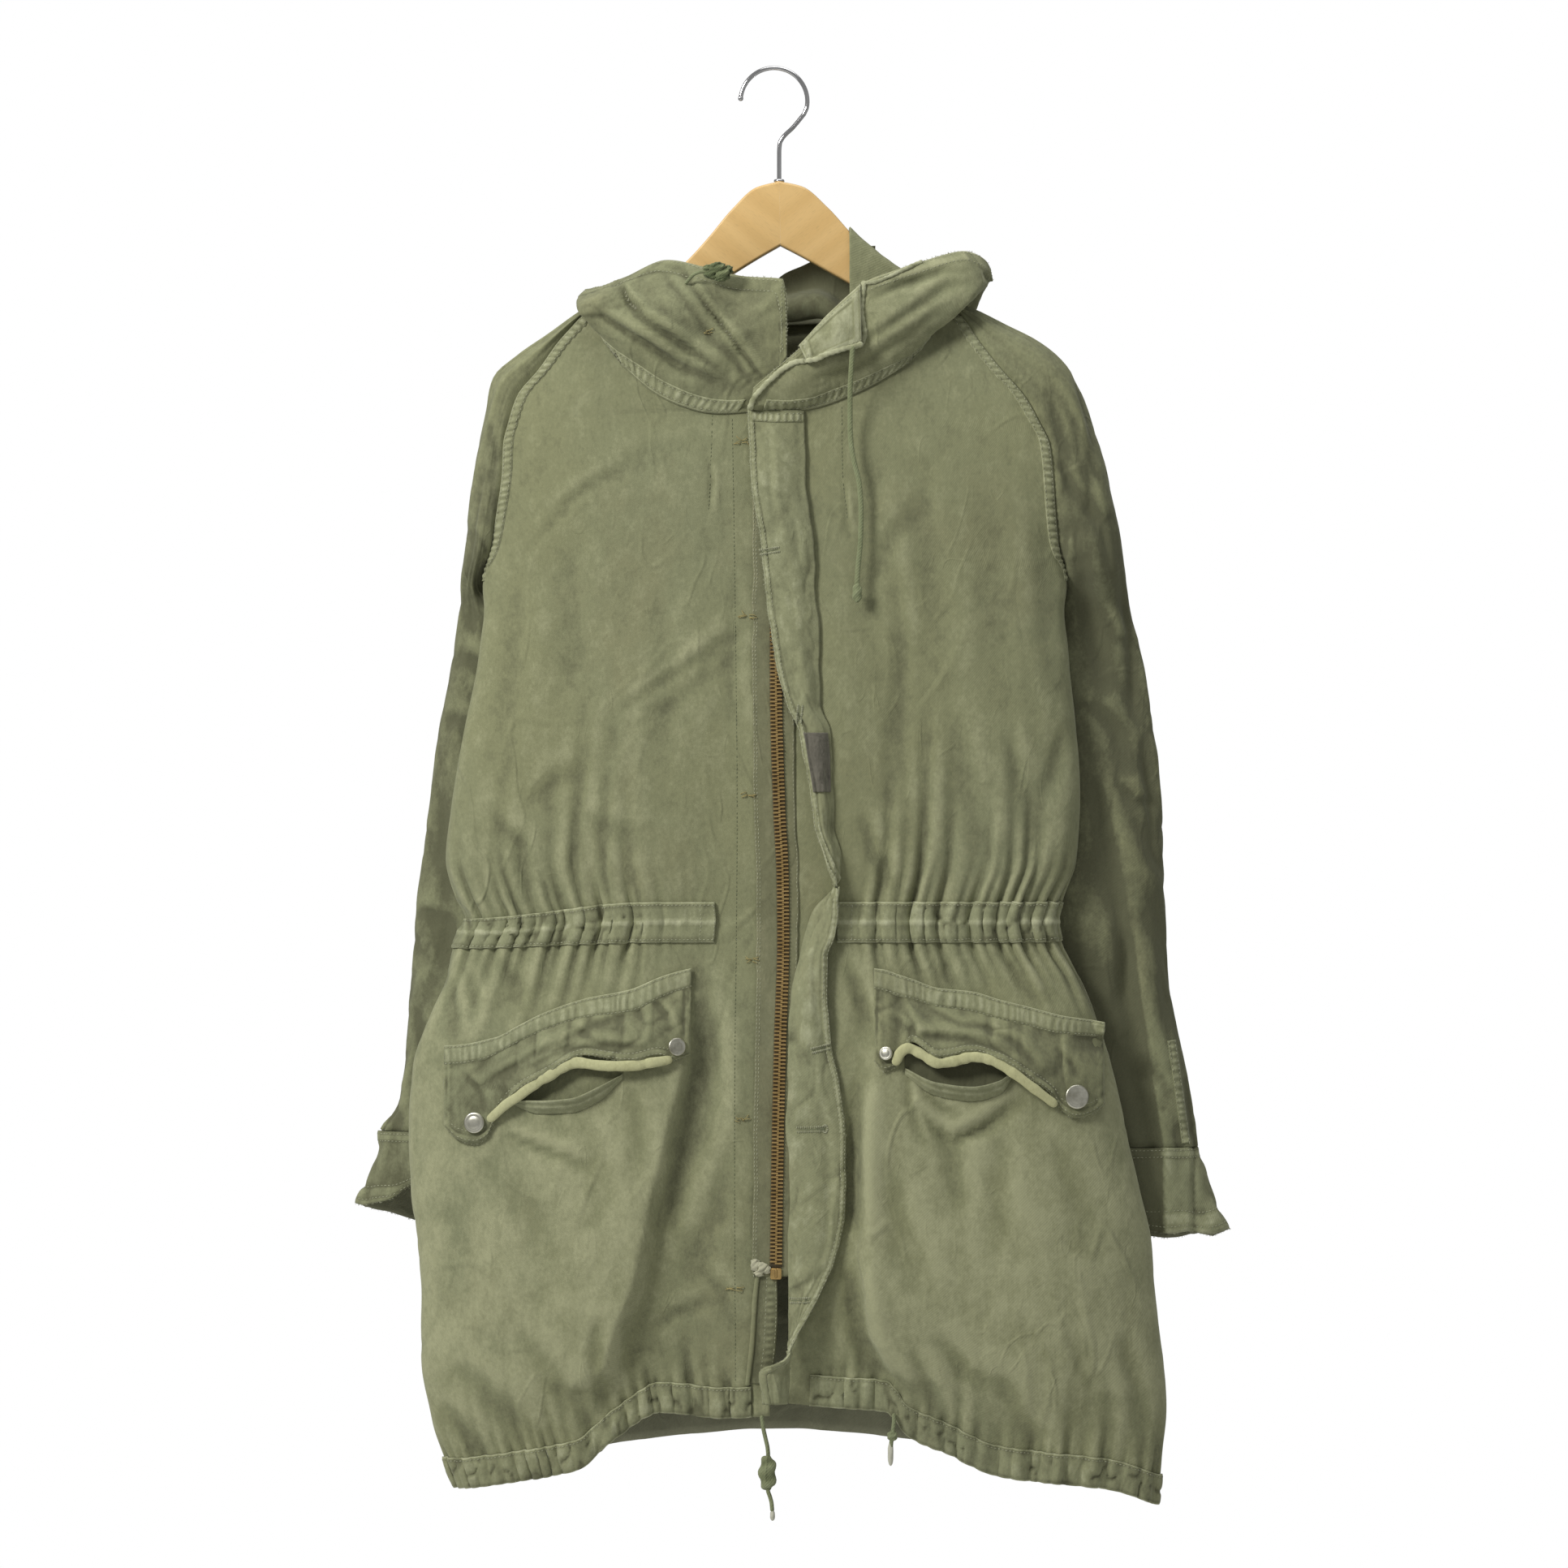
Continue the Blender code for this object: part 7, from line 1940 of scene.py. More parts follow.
    x = np.linspace(lips[0].x, lips[-1].x, 80)[None, :]
    v = np.linspace(0, 1, pocket["lipDown"])[:, None]
    z = column(lips, "top", x) * (1 - v) + column(lips, "low", x) * v
    xs = x + 0 * v
    base = softLevel(side, xs, z)
    ridge = 1.5 * bump(v, 0.12, 0.13) + 1.1 * bump(v, 0.55, 0.14)
    out = pocket["lipLift"] + column(lips, "stand", x) * (1 - v) + ridge * np.sin(math.pi * np.linspace(
        0, 1, 80))[None, :] ** 0.5 + 0.3 * softNoise(xs / 7.0, 2 * v, seed + 10)
    grid = np.stack([side * xs, base - out, z], axis=2)
    addPanel("pocket_lip_" + key, grid, 1.2, toFront, "cloth_light", "trim",
             fade=0.4 * bump(v, 0.12, 0.1) + 0.3 * bump(v, 0.55, 0.1) + 0 * xs)

    # the pocket bag in the shade of the mouth
    v = np.linspace(0, 1, 14)[:, None]
    high = column(rows, "flapLow", x) + 6.0
    z = high * (1 - v) + (column(lips, "top", x) - 3.0) * v
    base = layOn(frontTree, side * xs[:14], z)
    bag = np.stack([side * xs[:14], base - 0.8, z], axis=2)
    shade = -1.9 + 0.9 * ease(165, 195, xs[:14]) if side > 0 else -0.35 + 0 * xs[:14]
    addShell("pocket_bag_" + key, bag, 0.6, toFront, "body", "cloth", fade=shade, inside=0.0)
    return flapSurface, bandSurface, grid


flaps, bands, lipGrids = {}, {}, {}
for side in (-1, 1):
    flaps[side], bands[side], lipGrids[side] = pocketParts(side)
flapTree = surfaceOf(flaps[-1], flaps[1])

# A snap's cap: a domed disc with a rolled rim, and the shallow ring of a stamped face
snapProfile = ((0.0, 3.2), (0.30, 3.15), (0.52, 2.9), (0.60, 2.55), (0.70, 2.6), (0.82, 2.75), (0.93, 2.45),
               (1.0, 1.7), (0.97, 0.8), (0.9, 0.3), (0.0, 0.0))


def turnedMesh(name, centre, axis, profile, sides):
    axis = np.array(axis, float) / np.linalg.norm(axis)
    across = np.cross(axis, (0, 0, 1.0))
    across /= np.linalg.norm(across)
    upward = np.cross(across, axis)
    turn = np.linspace(0, 2 * math.pi, sides, endpoint=False)
    points, rings = [], []
    for radius, ahead in profile:
        if radius == 0:
            rings.append([len(points)])
            points.append(np.array(centre) + axis * ahead)
            continue
        rings.append(list(range(len(points), len(points) + sides)))
        for a in turn:
            points.append(np.array(centre) + axis * ahead + radius * (across * math.cos(a)
                                                                      + upward * math.sin(a)))
    faces = []
    for one, two in zip(rings, rings[1:]):
        for k in range(sides):
            m = (k + 1) % sides
            if len(one) == 1:
                faces.append((one[0], two[k], two[m]))
            elif len(two) == 1:
                faces.append((one[k], two[0], one[m]))
            else:
                faces.append((one[k], two[k], two[m], one[m]))
    mesh = bpy.data.meshes.new(name)
    mesh.from_pydata((np.array(points) * mm).tolist(), [], faces)
    fixNormals(mesh)
    mesh.shade_smooth()
    return mesh


for name, place in snapPlaces.items():
    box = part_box(name)
    centre = (np.array(box[0]) + np.array(box[1])) / 2 / mm
    dip = 0.12 if "outer" in name else 0.4
    axis = (0.25 * place.side if "outer" in name else -0.35 * place.side, -1.0, dip * 0.3)
    depth = float(layOn(flapTree, place.side * place.x, place.z))
    centre = (place.side * place.x, min(depth - 0.2, centre[1] + 1.6), place.z)
    size = 0.76 if name == "snap_left_inner" else 1.06
    profile = [(share * place.radius * size, ahead) for share, ahead in snapProfile]
    mesh = turnedMesh(name, centre, axis, profile, pocket["snapSides"])
    finishObject(name, mesh, "steel", (name,))
print("pockets ready")


# Hanger: two bevelled beech arms mitred in the middle, and a bent wire hook
def hangerArm(side):
    x = np.concatenate([np.linspace(0.02, 40, 30), np.linspace(42, 205, 90), np.linspace(206, 218, 12)])
    top, low = column(armRows, "top", x), column(armRows, "low", x)
    tip = np.sqrt(np.clip(1 - ((x - 205) / 13.4) ** 2, 0.0, 1.0))
    tip = np.where(x > 205, np.maximum(tip, 0.12), 1.0)
    middle, tall = (top + low) / 2, (top - low) / 2 * tip
    half, bevel = hanger["thick"] / 2, hanger["bevel"]
    outline = []
    steps = np.linspace(0, math.pi / 2, hanger["round"])
    for sy, sz, turn in ((1, 1, steps), (-1, 1, steps[::-1]), (-1, -1, steps), (1, -1, steps[::-1])):
        for a in turn:
            outline.append((sy * (half - bevel + bevel * math.cos(a)), sz, bevel * (1 - math.sin(a))))
    rings = []
    for k in range(len(x)):
        squeeze = min(1.0, tall[k] / (2 * bevel)) * tip[k]
        ring = [(side * x[k], y * (0.35 + 0.65 * tip[k]), middle[k] + sz * (tall[k] - cut * squeeze))
                for y, sz, cut in outline]
        rings.append(ring)
    grid = np.array(rings)
    shape = grid.shape
    flat = grid.reshape(-1, 3)
    turn, pivot = hanger["tilt"], armRows[0].top
    points = np.stack([flat[:, 0] * math.cos(turn) - (flat[:, 2] - pivot) * math.sin(turn), flat[:, 1],
                       pivot + flat[:, 0] * math.sin(turn) + (flat[:, 2] - pivot) * math.cos(turn)], axis=1)
    index = np.arange(len(points)).reshape(shape[:2])
    wrapped = np.concatenate([index, index[:, :1]], axis=1)
    quads = np.stack([wrapped[:-1, :-1], wrapped[1:, :-1], wrapped[1:, 1:], wrapped[:-1, 1:]],
                     axis=2).reshape(-1, 4).tolist()
    quads += [index[0].tolist(), index[-1].tolist()]
    name = "hanger_arm_" + sideKey(side)
    mesh = bpy.data.meshes.new(name)
    mesh.from_pydata((points * mm).tolist(), [], quads)
    # the grain runs down each arm, so its map is turned by the arm's slope
    slope = math.radians(-38 * side)
    u = flat[:, 0] * math.cos(slope) - (flat[:, 2] - pivot) * math.sin(slope)
    v = flat[:, 0] * math.sin(slope) + (flat[:, 2] - pivot) * math.cos(slope) + flat[:, 1] * 0.7
    layer = mesh.uv_layers.new(name="cut")
    corners = np.empty(len(mesh.loops), np.int32)
    mesh.loops.foreach_get("vertex_index", corners)
    layer.data.foreach_set("uv", (np.stack([u, v], axis=1)[corners] * mm + 0.13 * side).ravel())
    fixNormals(mesh)
    mesh.shade_smooth()
    mesh.set_sharp_from_angle(angle=math.radians(50))
    finishObject(name, mesh, "wood", (name,))


for side in (-1, 1):
    hangerArm(side)

hook = {"wire": 3.8, "reach": 29.0, "middle": (-4.5, -27.3), "turn": (175, -12),
        "stem": ((21.5, 0, -38.5), (12, 0, -50), (3.5, 0, -58.5), (0.6, 0, -64), (0, 0, -72), (0, 0, -96.6))}


def smoothRoute(points, count):
    points = np.asarray(points, float)
    along = runAlong(points)
    at = np.linspace(0, along[-1], count)
    return np.stack([smoothCurve(along, points[:, k], at) for k in range(3)], axis=1)


turns = np.radians(np.linspace(*hook["turn"], 40))
bow = [(hook["middle"][0] + hook["reach"] * math.cos(turn), 0.0, hook["middle"][1]
        + hook["reach"] * math.sin(turn)) for turn in turns]
wirePath = np.concatenate([bow, smoothRoute(hook["stem"], 60)])
wireMesh = tubeMesh("hook", wirePath, hook["wire"] / 2, 20)
tipBead = lumpMesh("hookTip", bow[0], (4.6, 4.6, 4.6), down=14, across=18)
collarLine = ((0, 2.6), (2.2, 2.6), (4.2, 2.2), (4.6, 1.4), (4.6, 0.4), (4.0, 0), (0, 0))
collar = turnedMesh("hookCollar", (0, 0, -97.5), (0.001, 0, 1), collarLine, 28)
finishObject("hook", joinMeshes("hook", [wireMesh, tipBead, collar]), "chrome", ("hook",))
print("hanger ready")


# Cords: each follows the route of its solids, and carries its knots and tip
cords = {"hood": 4.4, "hem": 3.6, "tie": 3.0}
hoodCordRoute = ((63, -56.1, -246), (62, -54, -262), (61, -49, -285), (61, -46, -310), (62, -46, -328),
                 (65, -46, -345), (69, -46, -362), (70.5, -46, -385), (70, -46, -410), (68, -46, -432),
                 (67, -46.5, -447))
hemCordRightRoute = ((-15, -32, -1166.6), (-13.5, -32, -1177), (-11.5, -32, -1186), (-10, -32, -1193),
                     (-9.5, -32, -1199), (-10, -32, -1214.7), (-9.6, -32, -1230), (-8, -32, -1235),
                     (-6.5, -32, -1241), (-6, -32, -1246.5))
hemCordLeftRoute = ((99, -40.6, -1164), (99, -41.8, -1168), (98.5, -43, -1173), (98, -43.5, -1176.5),
                    (97.5, -43.5, -1181.5), (96.5, -43.5, -1188), (96.2, -43.5, -1194))
tieCordRoute = ((-80, -38.1, -188), (-77, -42.5, -185), (-72, -47, -181), (-66, -49, -179.5),
                (-59, -49.5, -179), (-52.5, -49, -179))


def addCord(name, route, size, replaced, flat=1.0, count=90):
    path = smoothRoute(route, count)
    mesh = tubeMesh(name, path, size / 2, 16, flat)
    piece = finishObject(name, mesh, "cord", replaced)
    return piece


def addKnot(name, centre, size, seed, finish="cord", ridges=0.09, turns=2.0, rough=0.05):
    return finishObject(name, lumpMesh(name, centre, size, ridges, turns, seed=seed, rough=rough), finish,
                        (name,))


hoodKnot = addKnot("hood_cord_knot", (67.2, -46.6, -455.6), (8.5, 6.5, 16.5), 3)
addCord("hood_cord", hoodCordRoute, cords["hood"], ("hood_cord",), 0.55)
rightKnot = addKnot("hem_cord_right_knot", (-10, -32, -1214.7), (15, 9, 30), 5, ridges=0.16, turns=1.0)
rightTip = addKnot("hem_cord_right_tip", (-5.7, -32, -1251.5), (4.4, 4.4, 9), 6, "tip", 0.02)
addCord("hem_cord_right", hemCordRightRoute, cords["hem"],
        ("hem_cord_right", "hem_tail_right"))
leftKnot = addKnot("hem_cord_left_knot", (97.5, -43.5, -1181.5), (9, 7, 9), 7)
leftTip = addKnot("hem_cord_left_tip", (96, -43.5, -1196.8), (5, 4.4, 21), 8, "tip", 0.02)
addCord("hem_cord_left", hemCordLeftRoute, cords["hem"],
        ("hem_cord_left",))
tieParts = (((-57, -48, -180), (15, 10, 12)), ((-49, -48.5, -181), (14, 11, 13)),
            ((-53, -50, -176), (13, 10, 9)), ((-44, -48.5, -178), (8, 8, 8)),
            ((-61, -48, -177), (9, 8, 7)), ((-51, -50.5, -185), (9, 7, 6)))
tieLumps = [lumpMesh(f"tiePart{k}", centre, size, 0.16, 2.0, 16, 22, 9 + k, 0.3)
            for k, (centre, size) in enumerate(tieParts)]
tieLump = finishObject("hood_tie", joinMeshes("hood_tie", tieLumps), "tie", ("hood_tie",))
addCord("tie_cord", tieCordRoute, cords["tie"], ("tie_cord",))
print("cords ready")


# Felled seams: narrow puckered strips over a panel's edge, with the stitches along them
stitch = {"pitch": 3.5, "length": 2.6, "wide": 0.85, "high": 0.7, "skips": 0.04}
sewing = {"pale": [[], [], []], "dark": [[], [], []]}


# Column positions at a distance from a row's end, and row positions at a distance from the top
def columnsFrom(grid, rowAt, distance, fromEnd=True):
    lengths = lineLengths(grid)
    index = np.arange(grid.shape[1], dtype=float)
    found = np.empty((len(rowAt), len(distance)))
    for k, row in enumerate(rowAt):
        line = lengths[int(round(row))]
        found[k] = np.interp(line[-1] - distance if fromEnd else distance, line, index)
    return found


def rowsFrom(grid, columnAt, distance, fromEnd=False):
    return columnsFrom(np.swapaxes(grid, 0, 1), columnAt, distance, fromEnd)


def runStitches(points, normals, tone="pale"):
    along = runAlong(points)
    at = np.arange(0.5 * stitch["pitch"], along[-1], stitch["pitch"])
    if len(at) < 3:
        return
    place = np.stack([np.interp(at, along, points[:, axis]) for axis in range(3)], axis=1)
    facing = np.stack([np.interp(at, along, normals[:, axis]) for axis in range(3)], axis=1)
    way = np.gradient(place, axis=0)
    kept = np.random.default_rng(3 + len(at)).uniform(0, 1, len(at)) > stitch["skips"]
    rows = sewing[tone]
    rows[0].append(place[kept])
    rows[1].append(way[kept])
    rows[2].append(facing[kept])


def stitchGrid(grid, outward, rowAt, columnAt, tone="pale", ring=False):
    normals = gridNormals(grid, outward, ring)
    runStitches(sampled(grid, rowAt, columnAt), sampled(normals, rowAt, columnAt), tone)


def seamStrip(name, grid, outward, rowAt, columnAt, seed, rise=1.1, pucker=1.2, pitch=6.2,
              lines=(0.16, 0.84)):
    base = sampled(grid, rowAt, columnAt)
    normal = sampled(gridNormals(grid, outward), rowAt, columnAt)
    along = runAlong(base[:, base.shape[1] // 2])[:, None]
    v = np.linspace(0, 1, base.shape[1])[None, :]
    jitter = 3.4 * softNoise(along / 24.0, 0.5, seed) + 0.5 * v
    pleats = np.cos(2 * math.pi * along / pitch + jitter)
    pleats = pleats * (0.75 + 0.25 * softNoise(along / 11.0, v + 0.3, seed + 1))
    valley = np.clip(-pleats, 0, 1) ** 2
    arch = np.sin(math.pi * v) ** 0.5
    furrow = sum(bump(v, line, 0.07) for line in lines)
    out = 0.3 + rise * arch + pucker * arch * 0.6 * pleats - 0.35 * furrow
    # paler worn puckers and edges; painted shade in the pinched valleys and the stitched furrows
    fade = 0.1 + 0.4 * pleats * arch - 0.4 * valley * arch - 0.8 * furrow
    fade += 0.5 * (bump(v, 0, 0.07) + bump(v, 1, 0.07))
    outer = base + normal * np.maximum(out, 0.25)[..., None]
    finishObject(name, shellMesh(name, outer, 1.0, outward, fade, under=base - normal * 0.3, inside=0.0),
                 "trim")
    facing = gridNormals(outer, outward)
    for line in lines:
        where = np.full(len(outer), line * (outer.shape[1] - 1))
        index = np.arange(len(outer), dtype=float)
        runStitches(sampled(outer, index, where), sampled(facing, index, where))
    return outer


def rowAtHeight(panel, z):
    return np.interp(-np.asarray(z, float), -panel["rowZ"], np.arange(len(panel["rowZ"]), dtype=float))


for side in (-1, 1):
    key, panel = sideKey(side), frontPanels[side]
    grid = panel["grid"]
    rowAt = np.linspace(0, float(rowAtHeight(panel, -444)), 170)[:, None]
    columnAt = columnsFrom(grid, rowAt[:, 0], np.linspace(0.4, 9.6, 9))
    seamStrip("raglan_seam_" + key, grid, toFront, rowAt, columnAt, 500 + side)
    backRow = np.linspace(0, float(rowAtHeight(backPanel, -444)), 150)
    away = columnsFrom(backPanel["grid"], backRow, np.linspace(0.4, 9.6, 8), side > 0)
    seamStrip("raglan_seam_back_" + key, backPanel["grid"], (0, 1, 0), backRow[:, None], away, 510 + side)
    grid, places = hoodPanels[side]["grid"], np.arange(hood["columns"], dtype=float)
    columnAt = np.linspace(*np.interp((0.5, 7.6), hoodPanels[side]["at"], places), 150)
    rowsAt = rowsFrom(grid, columnAt, np.linspace(0.8, 14.0, 9))
    seamStrip("neck_seam_" + key, grid, "away", rowsAt, columnAt[:, None], 520 + side, 0.9, 0.8, 7.5)
print("felled seams ready")


# Runs of stitches over the other pieces
def edgeRuns(grid, outward, distances, rowFrom=0, rowTo=None, fromEnd=True, tone="pale"):
    index = np.arange(rowFrom, rowTo or len(grid), dtype=float)
    for distance in distances:
        columnAt = columnsFrom(grid, index, np.array([distance]), fromEnd)[:, 0]
        stitchGrid(grid, outward, index, columnAt, tone)


def crossRuns(grid, outward, shares, columnFrom=0, columnTo=None, ring=False, tone="pale"):
    last = grid.shape[1] - 1
    index = np.arange(columnFrom, columnTo or last + 1, dtype=float)
    for share in shares:
        stitchGrid(grid, outward, np.full(len(index), share * (len(grid) - 1)), index, tone, ring)


for part in flyParts:
    edgeRuns(part, toFront, (1.5, 5.4))
for side in (-1, 1):
    crossRuns(casings["waist", side], toFront, (0.07, 0.93))
    crossRuns(casings["hem", side], toFront, (0.09,))
    waist = casings["waist", side]
    for at in (1.2, 13.0):
        index = np.linspace(1, len(waist) - 2, 40)
        columnAt = columnsFrom(waist, index, np.array([at]), False)[:, 0]
        stitchGrid(waist, toFront, index, columnAt)
crossRuns(casings["waist", 0], (0, 1, 0), (0.07, 0.93))
crossRuns(casings["hem", 0], (0, 1, 0), (0.09,))
for side in (-1, 1):
    crossRuns(cuffPanels[side]["grid"], "away", (0.05, 0.2, 0.8, 0.94), ring=True)
    face = hoodPanels[side]["grid"]
    crossRuns(face, "away", (1 - 0.02, 1 - 0.1), columnFrom=4)
    crossRuns(face, "away", (0.075,), columnFrom=8, columnTo=150, tone="dark")
    flapGrid = flaps[side]
    crossRuns(flapGrid, toFront, (0.955, 0.85), columnFrom=3, columnTo=flapGrid.shape[1] - 3)
    crossRuns(bands[side], toFront, (0.1, 0.9))
    edgeRuns(tapes[side], toFront, (1.1, 3.4) if side < 0 else (1.2,))
crossRuns(tabGrid, toFront, (0.09, 0.91))
edgeRuns(tabGrid, toFront, (3.6,), 3, 37, False)


def linePath(pixels, count, tree, lift):
    flat = fromPhoto(pixels)
    along = runAlong(flat)
    at = np.linspace(0, along[-1], count)
    x, z = smoothCurve(along, flat[:, 0], at), smoothCurve(along, flat[:, 1], at)
    return np.stack([x, layOn(tree, x, z) - lift, z], axis=1)


tabTree = surfaceOf(hoodPanels[-1]["grid"], hoodPanels[1]["grid"], tabGrid)
sleeveTree = surfaceOf(sleevePanels[-1]["grid"], sleevePanels[1]["grid"])
hoodTree = surfaceOf(hoodPanels[-1]["grid"], hoodPanels[1]["grid"])
straight = np.array([(0.0, -1.0, 0.0)])
for pixels, tree in ((((902, 515), (905, 700), (908, 1000), (905, 1400), (906, 1700)), frontTree),
                     (((963, 352), (963, 400), (962, 438)), hoodTree),
                     (((878, 500), (876, 560), (873, 630)), frontTree),
                     (((1037, 500), (1038, 582), (1044, 640)), frontTree)):
    run = linePath(pixels, 80, tree, 0.1)
    runStitches(run, np.repeat(straight, len(run), axis=0), "dark" if tree is frontTree else "pale")


# Narrow puckered strips laid along a line of the photograph
def laidStrip(name, line, wide, tree, seed, pitch=6.0, count=90, shade=0.1):
    middle = linePath(line, count, tree, 0.0)
    way = np.gradient(middle[:, [0, 2]], axis=0)
    way /= np.linalg.norm(way, axis=1, keepdims=True)
    v = np.linspace(0, 1, 10)[None, :]
    reach = wide * (v - 0.5)
    x, z = middle[:, :1] + reach * way[:, 1:], middle[:, 2:] - reach * way[:, :1]
    along = runAlong(middle)[:, None]
    pleats = np.cos(2 * math.pi * along / pitch + 3.0 * softNoise(along / 24.0, 0.5, seed) + 0.5 * v)
    arch = np.sin(math.pi * v) ** 0.5
    y = layOn(tree, x, z) - 0.3 - arch * (0.9 + 0.4 * pleats)
    furrow = bump(v, 0.14, 0.07) + bump(v, 0.86, 0.07)
    grid = np.stack([x, y, z], axis=2)
    # paler worn puckers, and painted shade in the stitched furrows
    fade = shade + 0.35 * pleats * arch - 0.7 * furrow
    addShell(name, grid, 0.7, toFront, "trim", "cloth_light", fade=fade, inside=0.0)
    index = np.arange(count, dtype=float)
    for at in (0.16, 0.84):
        stitchGrid(grid, toFront, index, np.full(count, at * (grid.shape[1] - 1)))
    return grid


laidStrip("sleeve_seam_left", ((1449, 1285), (1458, 1350), (1467, 1413)), 8.0, sleeveTree, 590, 6.5,
          shade=0.0)
laidStrip("fly_top_seam", ((927, 513), (960, 515), (990, 514)), 9.0, flyTree, 592, 6.0, 60, 0.3)


# The worn pale binding that runs from the throat's corner down to the fly
binding = {"wide": 4.6, "flat": 0.55, "pitch": 5.2}
bindingLine = ((1064, 350), (1061, 385), (1065, 411), (1060, 426), (1040, 432), (1018, 439), (1000, 446),
               (984, 447), (968, 454), (952, 467), (938, 481), (929, 492), (923, 507))
rimLine = ((1062, 350), (1076, 349), (1092, 343), (1110, 334), (1135, 322))


def throatBinding(name, line, count, wide):
    path = linePath(line, count, tabTree, 1.0)
    path = path[path[:, 1] < 0.0]
    along = runAlong(path)
    swell = 1 + 0.12 * np.cos(2 * math.pi * along / binding["pitch"]) + 0.1 * softNoise(along / 9.0, 0, 560)
    mesh = tubeMesh(name, path, 0.5 * wide * swell, 14, binding["flat"])
    values = mesh.attributes["fade"].data
    lengths = np.array([vertex.co.z for vertex in mesh.vertices])
    worn = 0.8 + 0.25 * softNoise(lengths * 400.0, 0.5, 561)
    values.foreach_set("value", worn.astype(np.float32))
    finishObject(name, mesh, "trim")


throatBinding("throat_binding", bindingLine, 130, binding["wide"])
throatBinding("throat_rim", rimLine, 60, 0.7 * binding["wide"])

# The turned-back facing that shows below the zip, with its puckered seam, and a worn scrap at the zip's foot
facingLines = {"left": ((934, 1566), (930, 1600), (927, 1650), (921, 1705)),
               "right": ((957, 1566), (958, 1610), (956, 1660), (949, 1705)), "rows": 100, "columns": 18}


def facingStrip():
    sides = []
    for key in ("left", "right"):
        flat = fromPhoto(facingLines[key])
        along = runAlong(flat)
        at = np.linspace(0, along[-1], facingLines["rows"])
        sides.append((smoothCurve(along, flat[:, 0], at), smoothCurve(along, flat[:, 1], at)))
    v = np.linspace(0, 1, facingLines["columns"])[None, :]
    x = sides[0][0][:, None] * (1 - v) + sides[1][0][:, None] * v
    z = sides[0][1][:, None] * (1 - v) + sides[1][1][:, None] * v
    y = layOn(frontTree, np.minimum(x, -9.5), z) - 0.9
    pleats = np.cos(2 * math.pi * z / 6.0 + 1.5 * softNoise(z / 25.0, 0.5, 571))
    inBand = bump(v, 0.72, 0.2)
    grid = np.stack([x, y - 0.9 * inBand - 0.35 * inBand * pleats, z], axis=2)
    # painted shade: the facing is dark, darkest along its left edge under the front's rolled edge, with
    # paler worn puckers on its seam band
    fade = -0.7 - 0.5 * ease(0.5, 0.0, v) + inBand * (0.2 + 0.3 * pleats) + 0 * z
    addShell("front_facing_right", grid, 0.7, toFront, "trim", "cloth_light", fade=fade, inside=0.0)
    index = np.arange(len(grid), dtype=float)
    for at in (0.5, 0.94):
        stitchGrid(grid, toFront, index, np.full(len(grid), at * (grid.shape[1] - 1)))
    edge = np.stack([sides[0][0], y[:, 0] - 0.6, sides[0][1]], axis=1)
    swell = 2.0 + 0.25 * softNoise(sides[0][1] / 9.0, 0, 572)
    finishObject("front_edge_right", tubeMesh("front_edge_right", edge, swell, 12, 0.6), "body")
    return grid


facingGrid = facingStrip()
footParts = (((-20.5, -37, -1034), (8, 4, 10)), ((-15, -37.5, -1036), (9, 4.5, 9)),
             ((-10.5, -37.5, -1038), (6, 4, 7)), ((-17, -37, -1041), (8, 3.5, 6)))
footLumps = [lumpMesh(f"footPart{k}", centre, size, 0.12, 3.0, seed=580 + k, rough=0.3)
             for k, (centre, size) in enumerate(footParts)]
for lump, (x, z) in zip(footLumps, ((-20.5, -1034), (-15, -1036), (-10.5, -1038), (-17, -1041))):
    shift = float(layOn(tapeTree, np.array(min(x, -9.5)), np.array(float(z)))) - 0.8 + 37.2
    for vertex in lump.vertices:
        vertex.co.y += shift * mm
finishObject("zip_foot_scrap", joinMeshes("zip_foot_scrap", footLumps), "scrap")


def placeSewing(tone, name, finish):
    points, along, up = [np.concatenate(rows) for rows in sewing[tone]]
    setPieces(name, points, along, up, finish,
              stitch["length"], stitch["wide"], stitch["high"], 0.18, False, 21)


placeSewing("pale", "pale_stitching", "paleThread")
placeSewing("dark", "dark_stitching", "thread")
print("stitching ready")


# Buttonholes: a dark tube in the cut, which is painted shade, closed in by cross stitches, with a round end
# where it is a keyhole
Buttonhole = namedtuple("Buttonhole", "x z length turn round")
buttonholes = [Buttonhole(*row) for row in (
    (-8.4, -419.5, 17, 8, 0), (17.5, -560.0, 15, 84, 0), (35.7, -847.5, 16, 14, 0),
    (27.5, -917.0, 24, 2, 1), (17.5, -1064.0, 17, 4, 0), (3.0, -1124.0, 13, 20, 0),
)]


